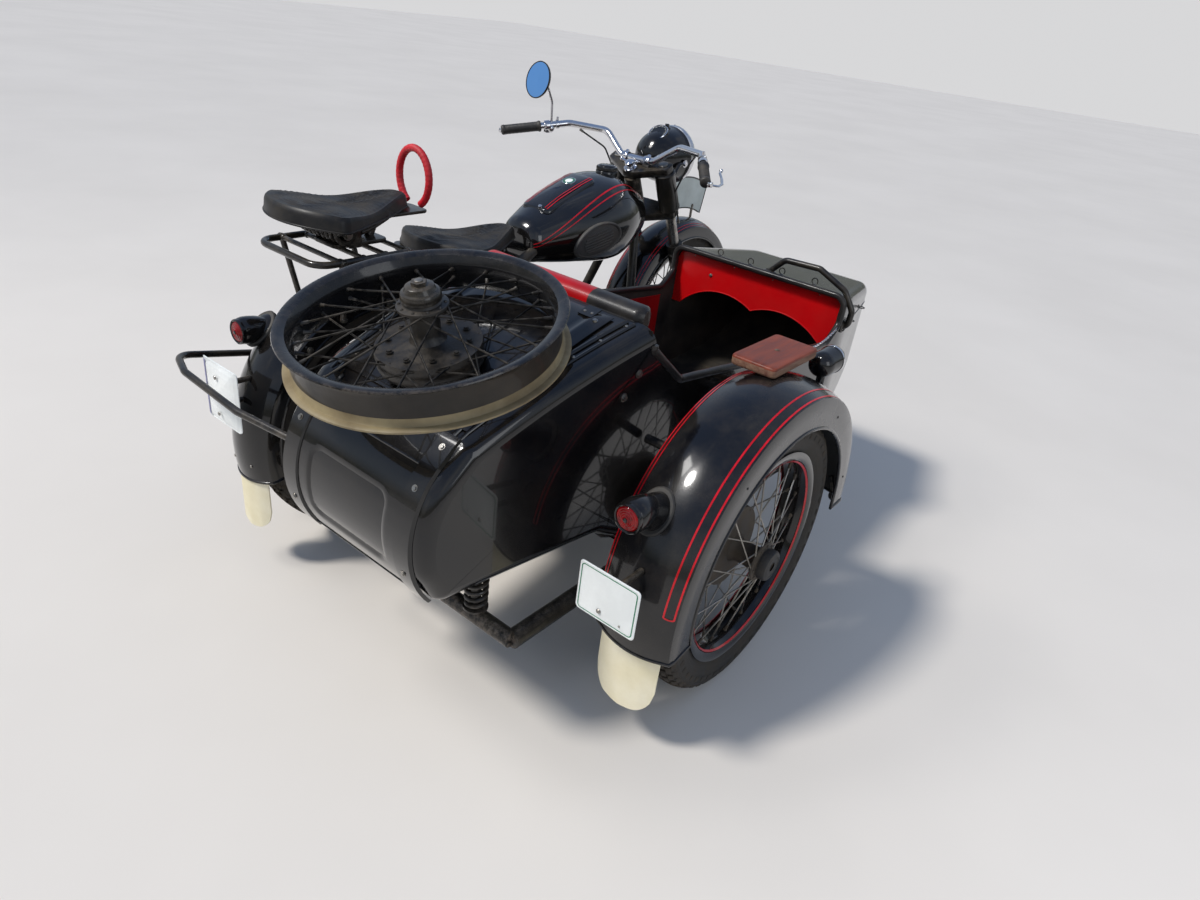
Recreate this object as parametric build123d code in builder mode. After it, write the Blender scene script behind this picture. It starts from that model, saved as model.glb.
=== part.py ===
"""Flat-twin motorcycle with a one-seat sidecar on its right, standing on its three wheels.

Millimetres, +X forward, +Y to the rider's left, +Z up, ground at z = 0.
The origin is on the ground under the middle of the outfit.
"""
from build123d import *
from math import cos, radians, sin
import os

# Where the outfit stands
bike_y = 354.0            # centre plane of the motorcycle
rear_axle_x = -595.0
wheelbase = 1400.0
track = 1050.0            # motorcycle plane to sidecar wheel plane
wheel_lead = 205.0        # sidecar axle ahead of the rear axle
car_offset = 459.0        # sidecar wheel plane to body plane
front_axle_x = rear_axle_x + wheelbase
car_axle_x = rear_axle_x + wheel_lead
car_wheel_y = bike_y - track
car_y = car_wheel_y + car_offset

# Wheels
tyre_r = 332.0
tyre_half = 46.0
tyre_shoulder = 16.0      # the tread's edge below the crown
axle_z = tyre_r
rim_seat_r = 241.0
rim_flange = 14.0         # height of the flanges above the bead seats
rim_drop = 9.0            # depth of the well below the bead seats
rim_lip_r = rim_seat_r + rim_flange
rim_well_r = rim_seat_r - rim_drop
tyre_wall_r = tyre_r - (tyre_r - rim_lip_r) * 40 / 77   # widest place of the tyre wall
rim_half = 38.0
rim_sheet = 3.0
spoke_r = 2.1
spokes_per_side = 20
hub_r = 27.0
hub_flange_r = 46.0
hub_half = 62.0
hub_cap_r = 36.0
hub_cap_length = 20.0
drum_r = 98.0
drum_length = 40.0
axle_r = 10.0
axle_play = 0.4
tyre_play = 0.3

# Steering head and fork
rake = 27.0               # degrees off the vertical
fork_spread = 92.0        # each leg from the centre plane
leg_r = 25.0
stanchion_r = 18.0
shroud_r = 27.0
axis_behind = 58.0        # steering axis behind the legs
lower_yoke_up = 470.0     # along the legs, from the axle
upper_yoke_up = 636.0
yoke_t = 24.0
stem_r = 14.0
head_r = 27.0
head_play = 5.0

# Motorcycle frame
tube_r = 15.0
cradle_half = 112.0
seat_tube_z = 640.0
seat_gap = 0.3            # running gap where one piece rests on another
plunger_r = 26.0
plunger_half_height = 125.0

# Engine and drive
engine_length = 280.0
engine_width = 190.0
engine_low = 200.0
engine_high = 520.0
engine_x = rear_axle_x + 830.0
crank_z = 372.0
barrel_r = 62.0
fin_r = 84.0
fin_t = 4.0
fin_pitch = 13.0
fins = 9
head_reach = 290.0        # crank line to the outside of the cylinder head
cradle_z = engine_low - seat_gap - tube_r
gearbox_length = 190.0
shaft_y = bike_y - 80.0
shaft_r = 13.0

# Fuel tank
tank_rear_x = -55.0
tank_front_x = 452.0
tank_half_width = 148.0
tank_low = 735.0
tank_top = 892.0

# Saddles
saddle_z = 752.0
pillion_z = 878.0
saddle_length = 340.0
saddle_half_width = 160.0

# Sidecar body
car_half = 283.0          # half width at the cowl, the widest place
deck_taper = 11.0         # narrower by this at the seat back
tail_taper = 77.0
nose_taper = 78.0
car_sheet = 3.0
cowl_x = 325.0            # front edge of the cockpit
nose_x = 732.0
deck_x = -580.0           # top of the seat back
deck_z = 832.0
shoulder_x = -992.0
shoulder_z = 697.0
tail_x = -1060.0
tail_low_z = 394.0
sill_z = 612.0
cowl_z = 735.0
nose_z = 695.0
floor_z = 300.0

os.makedirs("parts", exist_ok=True)
pieces = []


def keep(build, name):
    """Label a finished sub-part and remember it for writing."""
    build.part.label = name
    pieces.append(build.part)


def tube(points, bend, radius):
    """Sweep a round bar along a route of straight runs and arcs."""
    with BuildLine() as route:
        FilletPolyline(*points, radius=bend)
    with BuildSketch(Plane(origin=route.line @ 0, z_dir=route.line % 0)) as section:
        Circle(radius)
    sweep(sections=section.sketch, path=route.line)


def rod(start, end, radius):
    """Add one straight round bar between two points."""
    first = Vector(*start)
    along = Vector(*end) - first
    with Locations(Plane(origin=first, z_dir=along)):
        Cylinder(radius, along.length, align=(Align.CENTER, Align.CENTER, Align.MIN))


def clear_round(centre, radius, half):
    """Cut away everything inside a cylinder that lies across the outfit."""
    with Locations(Plane(origin=centre, z_dir=(0, 1, 0))):
        Cylinder(radius, 2 * half, mode=Mode.SUBTRACT)


def side_plane(y):
    """Upright fore-and-aft plane at y, drawn as (x, z)."""
    return Plane.XZ.offset(-y)


def mirror_y(points, middle):
    """Route mirrored about the upright plane y = middle."""
    return [(x, 2 * middle - y, z) for x, y, z in points]


# Wire wheel, drawn on its own axle: +Z points outboard and the drum is inboard
with BuildPart() as wheel_master:
    with BuildSketch(Plane.XZ):
        with BuildLine():
            lip = rim_half - rim_sheet
            Polyline(
                (rim_lip_r, -rim_half),
                (rim_lip_r, -lip),
                (rim_seat_r, -lip),
                (rim_seat_r - 2, -lip + 14),
                (rim_well_r, -lip + 20),
                (rim_well_r, lip - 20),
                (rim_seat_r - 2, lip - 14),
                (rim_seat_r, lip),
                (rim_lip_r, lip),
                (rim_lip_r, rim_half),
                (rim_seat_r - rim_sheet, rim_half),
                (rim_well_r - rim_sheet, lip - 16),
                (rim_well_r - rim_sheet, -lip + 16),
                (rim_seat_r - rim_sheet, -rim_half),
                close=True,
            )
        make_face()
    revolve(axis=Axis.Z)
    # Hub barrel with its outer flange, and the brake drum on the inner side
    with BuildSketch(Plane.XZ):
        with BuildLine():
            bore = axle_r + axle_play
            Polyline(
                (bore, -hub_half),
                (drum_r - 8, -hub_half),
                (drum_r, -hub_half + 8),
                (drum_r, -hub_half + drum_length),
                (hub_r, -hub_half + drum_length + 6),
                (hub_r, hub_half - 16),
                (hub_flange_r, hub_half - 14),
                (hub_flange_r, hub_half - 8),
                (hub_r + 6, hub_half - 4),
                (hub_r + 6, hub_half),
                (bore, hub_half),
                close=True,
            )
        make_face()
    revolve(axis=Axis.Z)
    # Crossed spokes: each row is (hub radius, hub z, rim z, lead angle of its pair)
    spoke_rows = [
        (hub_flange_r - 5, hub_half - 11, 7.0, 62.0),
        (drum_r - 6, -hub_half + drum_length - 6, -7.0, 38.0),
    ]
    for hub_radius, hub_level, rim_level, lead in spoke_rows:
        spots = []
        for i in range(spokes_per_side):
            turn = 360.0 / spokes_per_side * i
            swing = lead if i % 2 else -lead
            at_hub = Vector(hub_radius, 0, hub_level).rotate(Axis.Z, turn + swing)
            at_rim = Vector(rim_well_r - rim_sheet / 2, 0, rim_level).rotate(Axis.Z, turn)
            spots.append(Plane(origin=at_hub, z_dir=at_rim - at_hub))
            reach = (at_rim - at_hub).length
        with BuildSketch(*spots):
            RegularPolygon(spoke_r, 6)
        extrude(amount=reach)

# Tyre on the same axle, seated between the rim lips
with BuildPart() as tyre_master:
    seat = rim_seat_r + tyre_play
    bead = rim_half - rim_sheet - tyre_play
    with BuildSketch(Plane.XZ):
        with BuildLine():
            foot = Polyline((rim_lip_r + 4, bead), (seat, bead), (seat, -bead), (rim_lip_r + 4, -bead))
            wall_low = ThreePointArc(
                foot @ 1, (tyre_wall_r, -tyre_half), (tyre_r - tyre_shoulder, -tyre_half + 8)
            )
            crown = ThreePointArc(wall_low @ 1, (tyre_r, 0), (tyre_r - tyre_shoulder, tyre_half - 8))
            ThreePointArc(crown @ 1, (tyre_wall_r, tyre_half), foot @ 0)
        make_face()
    revolve(axis=Axis.Z)

# Each wheel: name, centre, and the side that its outer face looks to
wheel_places = [
    ("front", (front_axle_x, bike_y, axle_z), 1),
    ("rear", (rear_axle_x, bike_y, axle_z), 1),
    ("sidecar", (car_axle_x, car_wheel_y, axle_z), -1),
]
for name, centre, side in wheel_places:
    place = Location(centre, (-90 * side, 0, 0))
    with BuildPart() as wheel:
        add(wheel_master.part.moved(place))
        if name == "sidecar":
            with BuildSketch(side_plane(car_wheel_y - hub_half + 2)):
                with Locations((car_axle_x, axle_z)):
                    Circle(hub_cap_r)
                    Circle(axle_r + axle_play, mode=Mode.SUBTRACT)
            extrude(amount=hub_cap_length + 2)
    keep(wheel, name + "_wheel")
    with BuildPart() as tyre:
        add(tyre_master.part.moved(place))
    keep(tyre, name + "_tyre")

# Fork geometry: up the legs, and the steering axis behind them
leg_up = Vector(-sin(radians(rake)), 0, cos(radians(rake)))
leg_back = Vector(-cos(radians(rake)), 0, -sin(radians(rake)))
front_axle = Vector(front_axle_x, bike_y, axle_z)
head_low = front_axle + leg_up * (lower_yoke_up + yoke_t) + leg_back * axis_behind
head_high = front_axle + leg_up * (upper_yoke_up - head_play) + leg_back * axis_behind


def on_fork(up, back, side):
    """Point by its distance up the legs, behind them and to the left."""
    return front_axle + leg_up * up + leg_back * back + Vector(0, side, 0)


with BuildPart() as fork_legs:
    for side in (-1, 1):
        y = side * fork_spread
        rod(on_fork(-30, 0, y), on_fork(350, 0, y), leg_r)
        rod(on_fork(349, 0, y), on_fork(upper_yoke_up + yoke_t - 1, 0, y), stanchion_r)
    rod(front_axle + Vector(0, -fork_spread, 0), front_axle + Vector(0, -hub_half - 3, 0), 16)
    rod(front_axle + Vector(0, fork_spread, 0), front_axle + Vector(0, hub_half + 3, 0), 16)
    rod(front_axle + Vector(0, -fork_spread - 40, 0), front_axle + Vector(0, fork_spread + 40, 0), axle_r)
keep(fork_legs, "fork_legs")

with BuildPart() as fork_yokes:
    # Shrouds between the yokes, each round a stanchion, with the two yoke plates
    yoke_plane = Plane(origin=front_axle + leg_up * lower_yoke_up, x_dir=leg_back, z_dir=leg_up)
    for level in (0, upper_yoke_up - lower_yoke_up):
        with BuildSketch(yoke_plane.offset(level)):
            with BuildLine():
                Polyline(
                    (-22, -fork_spread - 30),
                    (22, -fork_spread - 30),
                    (axis_behind + 20, -22),
                    (axis_behind + 20, 22),
                    (22, fork_spread + 30),
                    (-22, fork_spread + 30),
                    close=True,
                )
            make_face()
            with Locations((0, -fork_spread), (0, fork_spread)):
                Circle(stanchion_r + 0.3, mode=Mode.SUBTRACT)
        extrude(amount=yoke_t)
    with BuildSketch(yoke_plane.offset(yoke_t)):
        with Locations((0, -fork_spread), (0, fork_spread)):
            Circle(shroud_r)
            Circle(stanchion_r + 0.3, mode=Mode.SUBTRACT)
    extrude(amount=upper_yoke_up - lower_yoke_up - yoke_t)
    with BuildSketch(yoke_plane.offset(yoke_t)):
        with Locations((axis_behind, 0)):
            Circle(stem_r)
    extrude(amount=upper_yoke_up - lower_yoke_up - yoke_t)
keep(fork_yokes, "fork_yokes")

# Handlebar: rises from the upper yoke, spreads and sweeps back to the grips
bar_r = 11.0
bar_mount = on_fork(upper_yoke_up + yoke_t + 13.3, axis_behind * 0.35, 0)
bar_end_x = 262.0
bar_end_y = 406.0
bar_end_z = 948.0
grip_length = 128.0
grip_r = 16.0
bar_route = [
    (bar_mount.X, bike_y, bar_mount.Z),
    (bar_mount.X, bike_y + 62, bar_mount.Z),
    (bar_mount.X + 18, bike_y + 150, bar_mount.Z + 62),
    (bar_mount.X - 40, bike_y + 270, bar_mount.Z + 66),
    (bar_end_x, bike_y + bar_end_y, bar_end_z),
]
with BuildPart() as handlebar:
    tube(bar_route, 40, bar_r)
    tube(mirror_y(bar_route, bike_y), 40, bar_r)
    for side in (-1, 1):
        foot = bar_mount + Vector(0, side * 45, 0)
        with Locations(Plane(origin=foot, x_dir=(1, 0, 0), z_dir=leg_up)):
            Box(34, 24, 26)
keep(handlebar, "handlebar")


def grip_axis(side):
    """End of the bar and the direction back along it, on one side."""
    end = Vector(bar_end_x, bike_y + side * bar_end_y, bar_end_z)
    knee = Vector(bar_mount.X - 40, bike_y + side * 270, bar_mount.Z + 66)
    return end, (knee - end).normalized()


with BuildPart() as grips:
    for side in (-1, 1):
        end, inward = grip_axis(side)
        with BuildSketch(Plane(origin=end, z_dir=inward)):
            Circle(grip_r)
            Circle(bar_r + 0.3, mode=Mode.SUBTRACT)
        extrude(amount=grip_length)
        with BuildSketch(Plane(origin=end, z_dir=inward)):
            Circle(grip_r - 2)
        extrude(amount=-6)
keep(grips, "grips")

# Clutch and brake cables: from under the bar down past the yokes, one each side
cable_r = 3.0
cable_y = fork_spread + 30 + cable_r + 0.3
with BuildPart() as control_cables:
    clutch_cable = [
        (457.4, bike_y + 236, bar_mount.Z + 65.6 - bar_r - cable_r - 0.3),
        (525, bike_y + 172, 925),
        (548, bike_y + cable_y, 835),
        (602, bike_y + cable_y, 728),
    ]
    tube(clutch_cable, 40, cable_r)
    tube(mirror_y(clutch_cable, bike_y), 40, cable_r)
keep(control_cables, "control_cables")

# Headlamp: a deep round shell on two ears from the shrouds
lamp_r = 92.0
lamp_x = on_fork(560, 0, 0).X + 62
lamp_z = 926.0
lamp_profile = [
    (-88, 0),
    (-84, 30),
    (-70, 52),
    (-44, 72),
    (0, 87),
    (48, lamp_r),
    (70, lamp_r + 4),
    (78, lamp_r - 8),
    (72, 40),
    (74, 0),
]
with BuildPart() as headlamp:
    with BuildSketch(side_plane(bike_y)):
        with BuildLine():
            Polyline(*[(lamp_x + x, lamp_z + r) for x, r in lamp_profile], close=True)
        make_face()
    revolve(axis=Axis((0, bike_y, lamp_z), (1, 0, 0)))
    for side in (-1, 1):
        ear = on_fork(585, 0, side * fork_spread)
        rod(ear, (lamp_x + 20, bike_y + side * 84, lamp_z - 20), 8)
        with Locations(Plane(origin=on_fork(500, 0, side * fork_spread), z_dir=leg_up)):
            Cylinder(
                shroud_r + seat_gap,
                130,
                align=(Align.CENTER, Align.CENTER, Align.MIN),
                mode=Mode.SUBTRACT,
            )
    add(fork_yokes.part, mode=Mode.SUBTRACT)
keep(headlamp, "headlamp")

# Mirror on the left, on a curved stem
mirror_r = 56.0
mirror_centre = Vector(300, bike_y + 300, 1118)
with BuildPart() as mirror:
    facing = Vector(-1, -0.25, 0.05)
    with BuildSketch(Plane(origin=mirror_centre, z_dir=facing)):
        Circle(mirror_r)
    extrude(amount=-12, taper=25)
    stem_foot = Vector(391, bike_y + 308, 978)
    tube([mirror_centre + Vector(10, 0, -40), (384, bike_y + 306, 1050), stem_foot], 40, 5)
    add(handlebar.part, mode=Mode.SUBTRACT)
keep(mirror, "mirror")

# Mudguards are bent sheets: a crown section swept round the wheel
guard_sheet = 2.5


def guard(centre, from_angle, to_angle, radius, half, skirt, crown, sheet):
    """Sheet mudguard round a wheel: angles in degrees, 0 ahead and 90 above."""
    x, y, z = centre
    start = radians(from_angle)
    radial = Vector(cos(start), 0, sin(start))
    plane = Plane(
        origin=Vector(x, y, z) + radial * radius,
        x_dir=Vector(0, 1, 0),
        z_dir=Vector(0, 1, 0).cross(radial),
    )
    with BuildSketch(plane) as section:
        with BuildLine():
            outer = ThreePointArc((-half, -crown), (0, 0), (half, -crown))
            drop = Polyline(
                outer @ 1,
                (half, -crown - skirt),
                (half - sheet, -crown - skirt),
                (half - sheet, -crown),
            )
            inner = ThreePointArc(drop @ 1, (0, -sheet), (-half + sheet, -crown))
            Polyline(inner @ 1, (-half + sheet, -crown - skirt), (-half, -crown - skirt), outer @ 0)
        make_face()
    revolve(
        profiles=section.sketch,
        axis=Axis((x, y, z), (0, -1, 0)),
        revolution_arc=to_angle - from_angle,
    )


front_guard_r = 364.0
rear_guard_r = 376.0
car_guard_r = 400.0
with BuildPart() as front_fender:
    guard((front_axle_x, bike_y, axle_z), 8, 172, front_guard_r, 66.6, 34, 26, guard_sheet)
    for side in (-1, 1):
        y = bike_y + side * 67
        rod((front_axle_x + 240, y, axle_z + 222), (front_axle_x - 2, y + side * 1, axle_z + 42), 5)
    add(fork_legs.part, mode=Mode.SUBTRACT)
keep(front_fender, "front_fender")

car_guard_y = car_wheel_y + 26
car_guard_half = 92.0
car_guard_x = car_axle_x + 15
car_guard_z = axle_z + 5
car_guard_top = car_guard_z + car_guard_r
car_stay_y = car_y - car_half + 83



def top_rail(side):
    """Route of one upper frame tube from the steering head to the rear suspension."""
    base = head_low + leg_up * 36
    return [
        (base.X - 22, bike_y + side * 16, base.Z - 8),
        (-40, bike_y + side * 55, tank_low - 30),
        (rear_axle_x + 160, bike_y + side * cradle_half, seat_tube_z - 60),
        (rear_axle_x + 10, bike_y + side * cradle_half, axle_z + 95),
    ]


# Motorcycle frame: two side loops, the head tube and cross tubes
stand_x = -150.0
stand_z = cradle_z - tube_r - 22
stand_half = 92.0
stand_pin_r = 8.0
with BuildPart() as frame:
    rod(head_low + leg_up * head_play, head_high, head_r)
    head_base = head_low + leg_up * 36
    for side in (-1, 1):
        y = bike_y + side * cradle_half
        loop = [
            (head_base.X - 22, bike_y + side * 18, head_base.Z - 6),
            (engine_x + 165, y, 430),
            (engine_x + 130, y, cradle_z),
            (rear_axle_x + 250, y, cradle_z),
            (rear_axle_x + 10, y, axle_z - 95),
        ]
        tube(loop, 70, tube_r)
        tube(top_rail(side), 60, tube_r)
        rod((rear_axle_x, y, axle_z - plunger_half_height), (rear_axle_x, y, axle_z - 60), plunger_r)
        rod((rear_axle_x, y, axle_z + 60), (rear_axle_x, y, axle_z + plunger_half_height), plunger_r)
        rod((rear_axle_x, y, axle_z - 61), (rear_axle_x, y, axle_z + 61), plunger_r - 8)
        rod((rear_axle_x, y, axle_z), (rear_axle_x, bike_y + side * (hub_half + 3), axle_z), 15)
    cross_tubes = [(engine_x + 110, cradle_z), (engine_x - 110, cradle_z), (rear_axle_x + 370, cradle_z)]
    for x, z in cross_tubes:
        rod((x, bike_y - cradle_half, z), (x, bike_y + cradle_half, z), tube_r - 2)
    rod((-40, bike_y - 55, tank_low - 30), (-40, bike_y + 55, tank_low - 30), tube_r - 2)
    rod(
        (rear_axle_x, bike_y - cradle_half, axle_z),
        (rear_axle_x, bike_y + cradle_half, axle_z),
        axle_r,
    )
    # Bore for the steering stem, and the lugs of the centre stand
    with Locations(Plane(origin=head_low, z_dir=leg_up)):
        Cylinder(stem_r + 0.4, 400, mode=Mode.SUBTRACT)
    for side in (-1, 1):
        with Locations((stand_x, bike_y + side * cradle_half, (stand_z - 16 + cradle_z) / 2)):
            Box(36, 10, cradle_z - stand_z + 16)
    with Locations(Plane(origin=(stand_x, bike_y, stand_z), z_dir=(0, 1, 0))):
        Cylinder(stand_pin_r + 0.4, 400, mode=Mode.SUBTRACT)
keep(frame, "frame")

with BuildPart() as rear_fender:
    guard((rear_axle_x, bike_y, axle_z), 62, 192, rear_guard_r, 78, 30, 32, guard_sheet)
    for side in (-1, 1):
        rod((rear_axle_x, bike_y + side * 81, 662), (rear_axle_x, bike_y + side * cradle_half, 440), 7)
    add(frame.part, mode=Mode.SUBTRACT)
keep(rear_fender, "rear_fender")

# Engine: one plain crankcase block at its real place, with the gearbox behind it
with BuildPart() as engine_block:
    with BuildSketch(side_plane(bike_y)):
        with Locations((engine_x, (engine_low + engine_high - 40) / 2)):
            RectangleRounded(engine_length, engine_high - 40 - engine_low, 40)
    extrude(amount=engine_width / 2, both=True)
    with BuildSketch(Plane.XY.offset(engine_low)):
        with Locations((engine_x, bike_y)):
            Rectangle(engine_length - 60, engine_width)
    extrude(amount=60)
    with BuildSketch(side_plane(bike_y)):
        with Locations((engine_x + 40, engine_high - 60)):
            Circle(60)
    extrude(amount=engine_width / 2 - 15, both=True)
keep(engine_block, "engine_block")

gearbox_x = engine_x - engine_length / 2 - gearbox_length / 2
with BuildPart() as gearbox:
    with BuildSketch(side_plane(bike_y)):
        with Locations((gearbox_x, 340)):
            Rectangle(gearbox_length, 200)
    extrude(amount=75, both=True)
    fillet(gearbox.edges().filter_by(Axis.Y).group_by(Axis.X)[0], 40)
    # Kick-starter on the left, and the output boss on the right
    rod((gearbox_x - 30, bike_y + 70, 330), (gearbox_x - 30, bike_y + 156, 330), 10)
    rod((gearbox_x - 30, bike_y + 142, 330), (gearbox_x - 80, bike_y + 142, 470), 7)
    rod((gearbox_x - 80, bike_y + 131, 468), (gearbox_x - 80, bike_y + 210, 468), 9)
    rod((gearbox_x, shaft_y, axle_z), (gearbox_x - gearbox_length / 2, shaft_y, axle_z), 28)
keep(gearbox, "gearbox")

# Finned side-valve cylinders, each with a finned flat head
barrel_start = engine_width / 2
port_z = crank_z - fin_r - 6
head_t = 34.0
with BuildPart() as cylinders:
    for side, lead in ((-1, -14.0), (1, 14.0)):
        x = engine_x + lead
        face = bike_y + side * barrel_start
        end = bike_y + side * (head_reach - head_t)
        rod((x, face, crank_z), (x, end, crank_z), barrel_r)
        rod((x + 34, bike_y + side * 178, crank_z - 20), (x + 34, bike_y + side * 178, port_z), 24)
        for i in range(fins):
            y = face + side * (18 + i * fin_pitch)
            rod((x, y, crank_z), (x, y + side * fin_t, crank_z), fin_r)
        with BuildSketch(side_plane(end)):
            with Locations((x, crank_z)):
                RectangleRounded(2 * fin_r, 2 * fin_r - 10, 50)
        extrude(amount=-side * head_t)
        for level in range(-3, 4):
            groove_z = crank_z + level * 22
            with Locations((x, end + side * (head_t - 8), groove_z)):
                Box(2 * fin_r + 10, 17, 12, mode=Mode.SUBTRACT)
keep(cylinders, "cylinders")

# Shaft drive on the right, down to the bevel housing beside the rear hub
with BuildPart() as final_drive:
    drive_start = gearbox_x - gearbox_length / 2
    rod((drive_start, shaft_y, axle_z), (rear_axle_x + 60, shaft_y, axle_z), shaft_r)
    for x in (drive_start, rear_axle_x + 184):
        rod((x, shaft_y, axle_z), (x - 34, shaft_y, axle_z), shaft_r + 8)
    with BuildSketch(side_plane(bike_y - 84)):
        with Locations((rear_axle_x, axle_z)):
            Circle(74)
            Circle(15.3, mode=Mode.SUBTRACT)
    extrude(amount=-17)
keep(final_drive, "final_drive")

# Exhaust: a pipe from each cylinder, low along the side, into a silencer
pipe_r = 19.0
silencer_r = 37.0
silencer_z = 254.0
with BuildPart() as exhausts:
    for side in (-1, 1):
        y = bike_y + side * 178
        port_x = engine_x + side * 14 + 34
        tube([(port_x, y, port_z - seat_gap), (port_x, y, silencer_z), (-300, y, silencer_z)], 24, pipe_r)
        rod((-300, y, silencer_z), (-360, y, silencer_z), 26)
        rod((-340, y, silencer_z), (-800, y, silencer_z), silencer_r)
        with BuildSketch(Plane(origin=(-800, y, silencer_z), z_dir=(-1, 0, 0))):
            Circle(silencer_r)
        extrude(amount=60, taper=22)
keep(exhausts, "exhausts")

# Fuel tank: a teardrop of four sections, each (x, half width, bottom, top)
tank_sections = [
    (tank_rear_x, 52.0, tank_low + 14, tank_low + 74),
    (tank_rear_x + 150, 112.0, tank_low, tank_top - 28),
    (tank_rear_x + 345, tank_half_width, tank_low, tank_top),
    (tank_front_x, 92.0, tank_low + 24, tank_top - 62),
]
with BuildPart() as tank_tunnel:
    for side in (-1, 1):
        tube(top_rail(side), 60, tube_r + seat_gap)
with BuildPart() as fuel_tank:
    for x, half, low, high in tank_sections:
        rise = high - low
        with BuildSketch(Plane(origin=(x, bike_y, 0), x_dir=(0, 1, 0), z_dir=(1, 0, 0))):
            with BuildLine():
                base = Line((-half * 0.72, low), (half * 0.72, low))
                left = ThreePointArc(base @ 1, (half, low + rise * 0.5), (half * 0.62, high - rise * 0.1))
                crest = ThreePointArc(left @ 1, (0, high), (-half * 0.62, high - rise * 0.1))
                ThreePointArc(crest @ 1, (-half, low + rise * 0.5), base @ 0)
            make_face()
    loft()
    with Locations(Plane(origin=head_low - leg_up * 40, z_dir=leg_up)):
        Cylinder(head_r + 8, 260, align=(Align.CENTER, Align.CENTER, Align.MIN), mode=Mode.SUBTRACT)
    add(tank_tunnel.part, mode=Mode.SUBTRACT)
keep(fuel_tank, "fuel_tank")

# Tool lid let into the top of the tank, and the filler cap ahead of it
lid_x = tank_rear_x + 210
cap_x = tank_rear_x + 345
lid_crest_z = tank_top - 14.0
lid_slope = 8.0
lid_plane = Plane(origin=(lid_x, bike_y, lid_crest_z), z_dir=Vector(0, 0, 1).rotate(Axis.Y, -lid_slope))
with BuildPart() as tank_lid:
    with BuildSketch(lid_plane.offset(-40)):
        RectangleRounded(190, 110, 30)
    extrude(amount=44)
    with BuildSketch(lid_plane.offset(4)):
        RectangleRounded(190, 110, 30)
    extrude(amount=6, taper=30)
    add(fuel_tank.part, mode=Mode.SUBTRACT)
keep(tank_lid, "tank_lid")

with BuildPart() as filler_cap:
    rod((cap_x + 36, bike_y, tank_top - 40), (cap_x + 36, bike_y, tank_top + 14), 34)
    rod((cap_x + 36, bike_y, tank_top + 10), (cap_x + 36, bike_y, tank_top + 22), 26)
    add(fuel_tank.part, mode=Mode.SUBTRACT)
keep(filler_cap, "filler_cap")

# Rubber knee pads on the flanks of the tank
with BuildPart() as knee_pads:
    for side in (-1, 1):
        y = bike_y + side * (tank_half_width - 26)
        with BuildSketch(side_plane(y)):
            with Locations((tank_rear_x + 300, (tank_low + tank_top) / 2 - 6)):
                Ellipse(88, 48)
        extrude(amount=-side * 38)
    add(fuel_tank.part, mode=Mode.SUBTRACT)
keep(knee_pads, "knee_pads")


def saddle(nose_x, base_z, top_z):
    """Sprung rubber saddle: narrow nose ahead, wide and rounded behind."""
    back_x = nose_x - saddle_length
    with BuildSketch(Plane.XY.offset(base_z)) as outline:
        with BuildLine():
            left = Polyline(
                (nose_x, bike_y + 34),
                (nose_x - 130, bike_y + 74),
                (back_x + 90, bike_y + saddle_half_width),
            )
            rear = ThreePointArc(left @ 1, (back_x, bike_y), (back_x + 90, bike_y - saddle_half_width))
            right = Polyline(rear @ 1, (nose_x - 130, bike_y - 74), (nose_x, bike_y - 34))
            ThreePointArc(right @ 1, (nose_x + 22, bike_y), left @ 0)
        make_face()
    extrude(outline.sketch, amount=top_z - base_z)


saddle_nose_x = -100.0
pillion_nose_x = -490.0
saddle_t = 46.0
with BuildPart() as rider_saddle:
    saddle(saddle_nose_x, saddle_z - saddle_t / 2, saddle_z + saddle_t / 2)
keep(rider_saddle, "rider_saddle")
with BuildPart() as pillion_saddle:
    saddle(pillion_nose_x, pillion_z - saddle_t / 2, pillion_z + saddle_t / 2)
keep(pillion_saddle, "pillion_saddle")

# Rack over the rear mudguard, carrying the pillion bracket
rack_z = 785.0
rack_r = 8.0
rack_front_x = -560.0
rack_rear_x = -812.0
rack_half = 118.0
with BuildPart() as rear_rack:
    rim = [
        (rack_front_x, bike_y - rack_half, rack_z),
        (rack_rear_x, bike_y - rack_half, rack_z),
        (rack_rear_x, bike_y + rack_half, rack_z),
        (rack_front_x, bike_y + rack_half, rack_z),
    ]
    tube(rim, 40, rack_r)
    bars = 4
    for i in range(bars):
        x = rack_front_x + (rack_rear_x - rack_front_x) * i / bars
        rod((x, bike_y - rack_half, rack_z), (x, bike_y + rack_half, rack_z), rack_r - 2)
    for side in (-1, 1):
        for x, low in ((rack_front_x - 4, 650), (rack_front_x - 189, 632)):
            rod((x, bike_y + side * rack_half, rack_z), (x + 20, bike_y + side * 84.5, low), 7)
    add(rear_fender.part, mode=Mode.SUBTRACT)
keep(rear_rack, "rear_rack")

pillion_base_z = pillion_z - saddle_t / 2 - seat_gap
with BuildPart() as saddle_mounts:
    # Rider saddle on two coils over the frame, nose hinged behind the tank
    for side in (-1, 1):
        spring_top = saddle_z - saddle_t / 2 - seat_gap
        rod((-400, bike_y + side * 104, 580), (-400, bike_y + side * 104, spring_top), 24)
    rod((-120, bike_y, 690), (-120, bike_y, saddle_z - saddle_t / 2 - seat_gap), 14)
    rod((-120, bike_y - 64, 690), (-120, bike_y + 64, 690), 10)
    # Pillion on a plate above the rack, with its coil lying across
    base = rack_z + rack_r - 2 + seat_gap
    with Locations((-640, bike_y, base + 5)):
        Box(150, 90, 10)
    with Locations((-560, bike_y, pillion_base_z - 4)):
        Box(250, 80, 8)
    rod((-590, bike_y, base + 6), (-565, bike_y, pillion_base_z - 8), 12)
    rod((-665, bike_y - 60, base + 33), (-665, bike_y + 60, base + 33), 24)
    add(frame.part, mode=Mode.SUBTRACT)
keep(saddle_mounts, "saddle_mounts")

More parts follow.
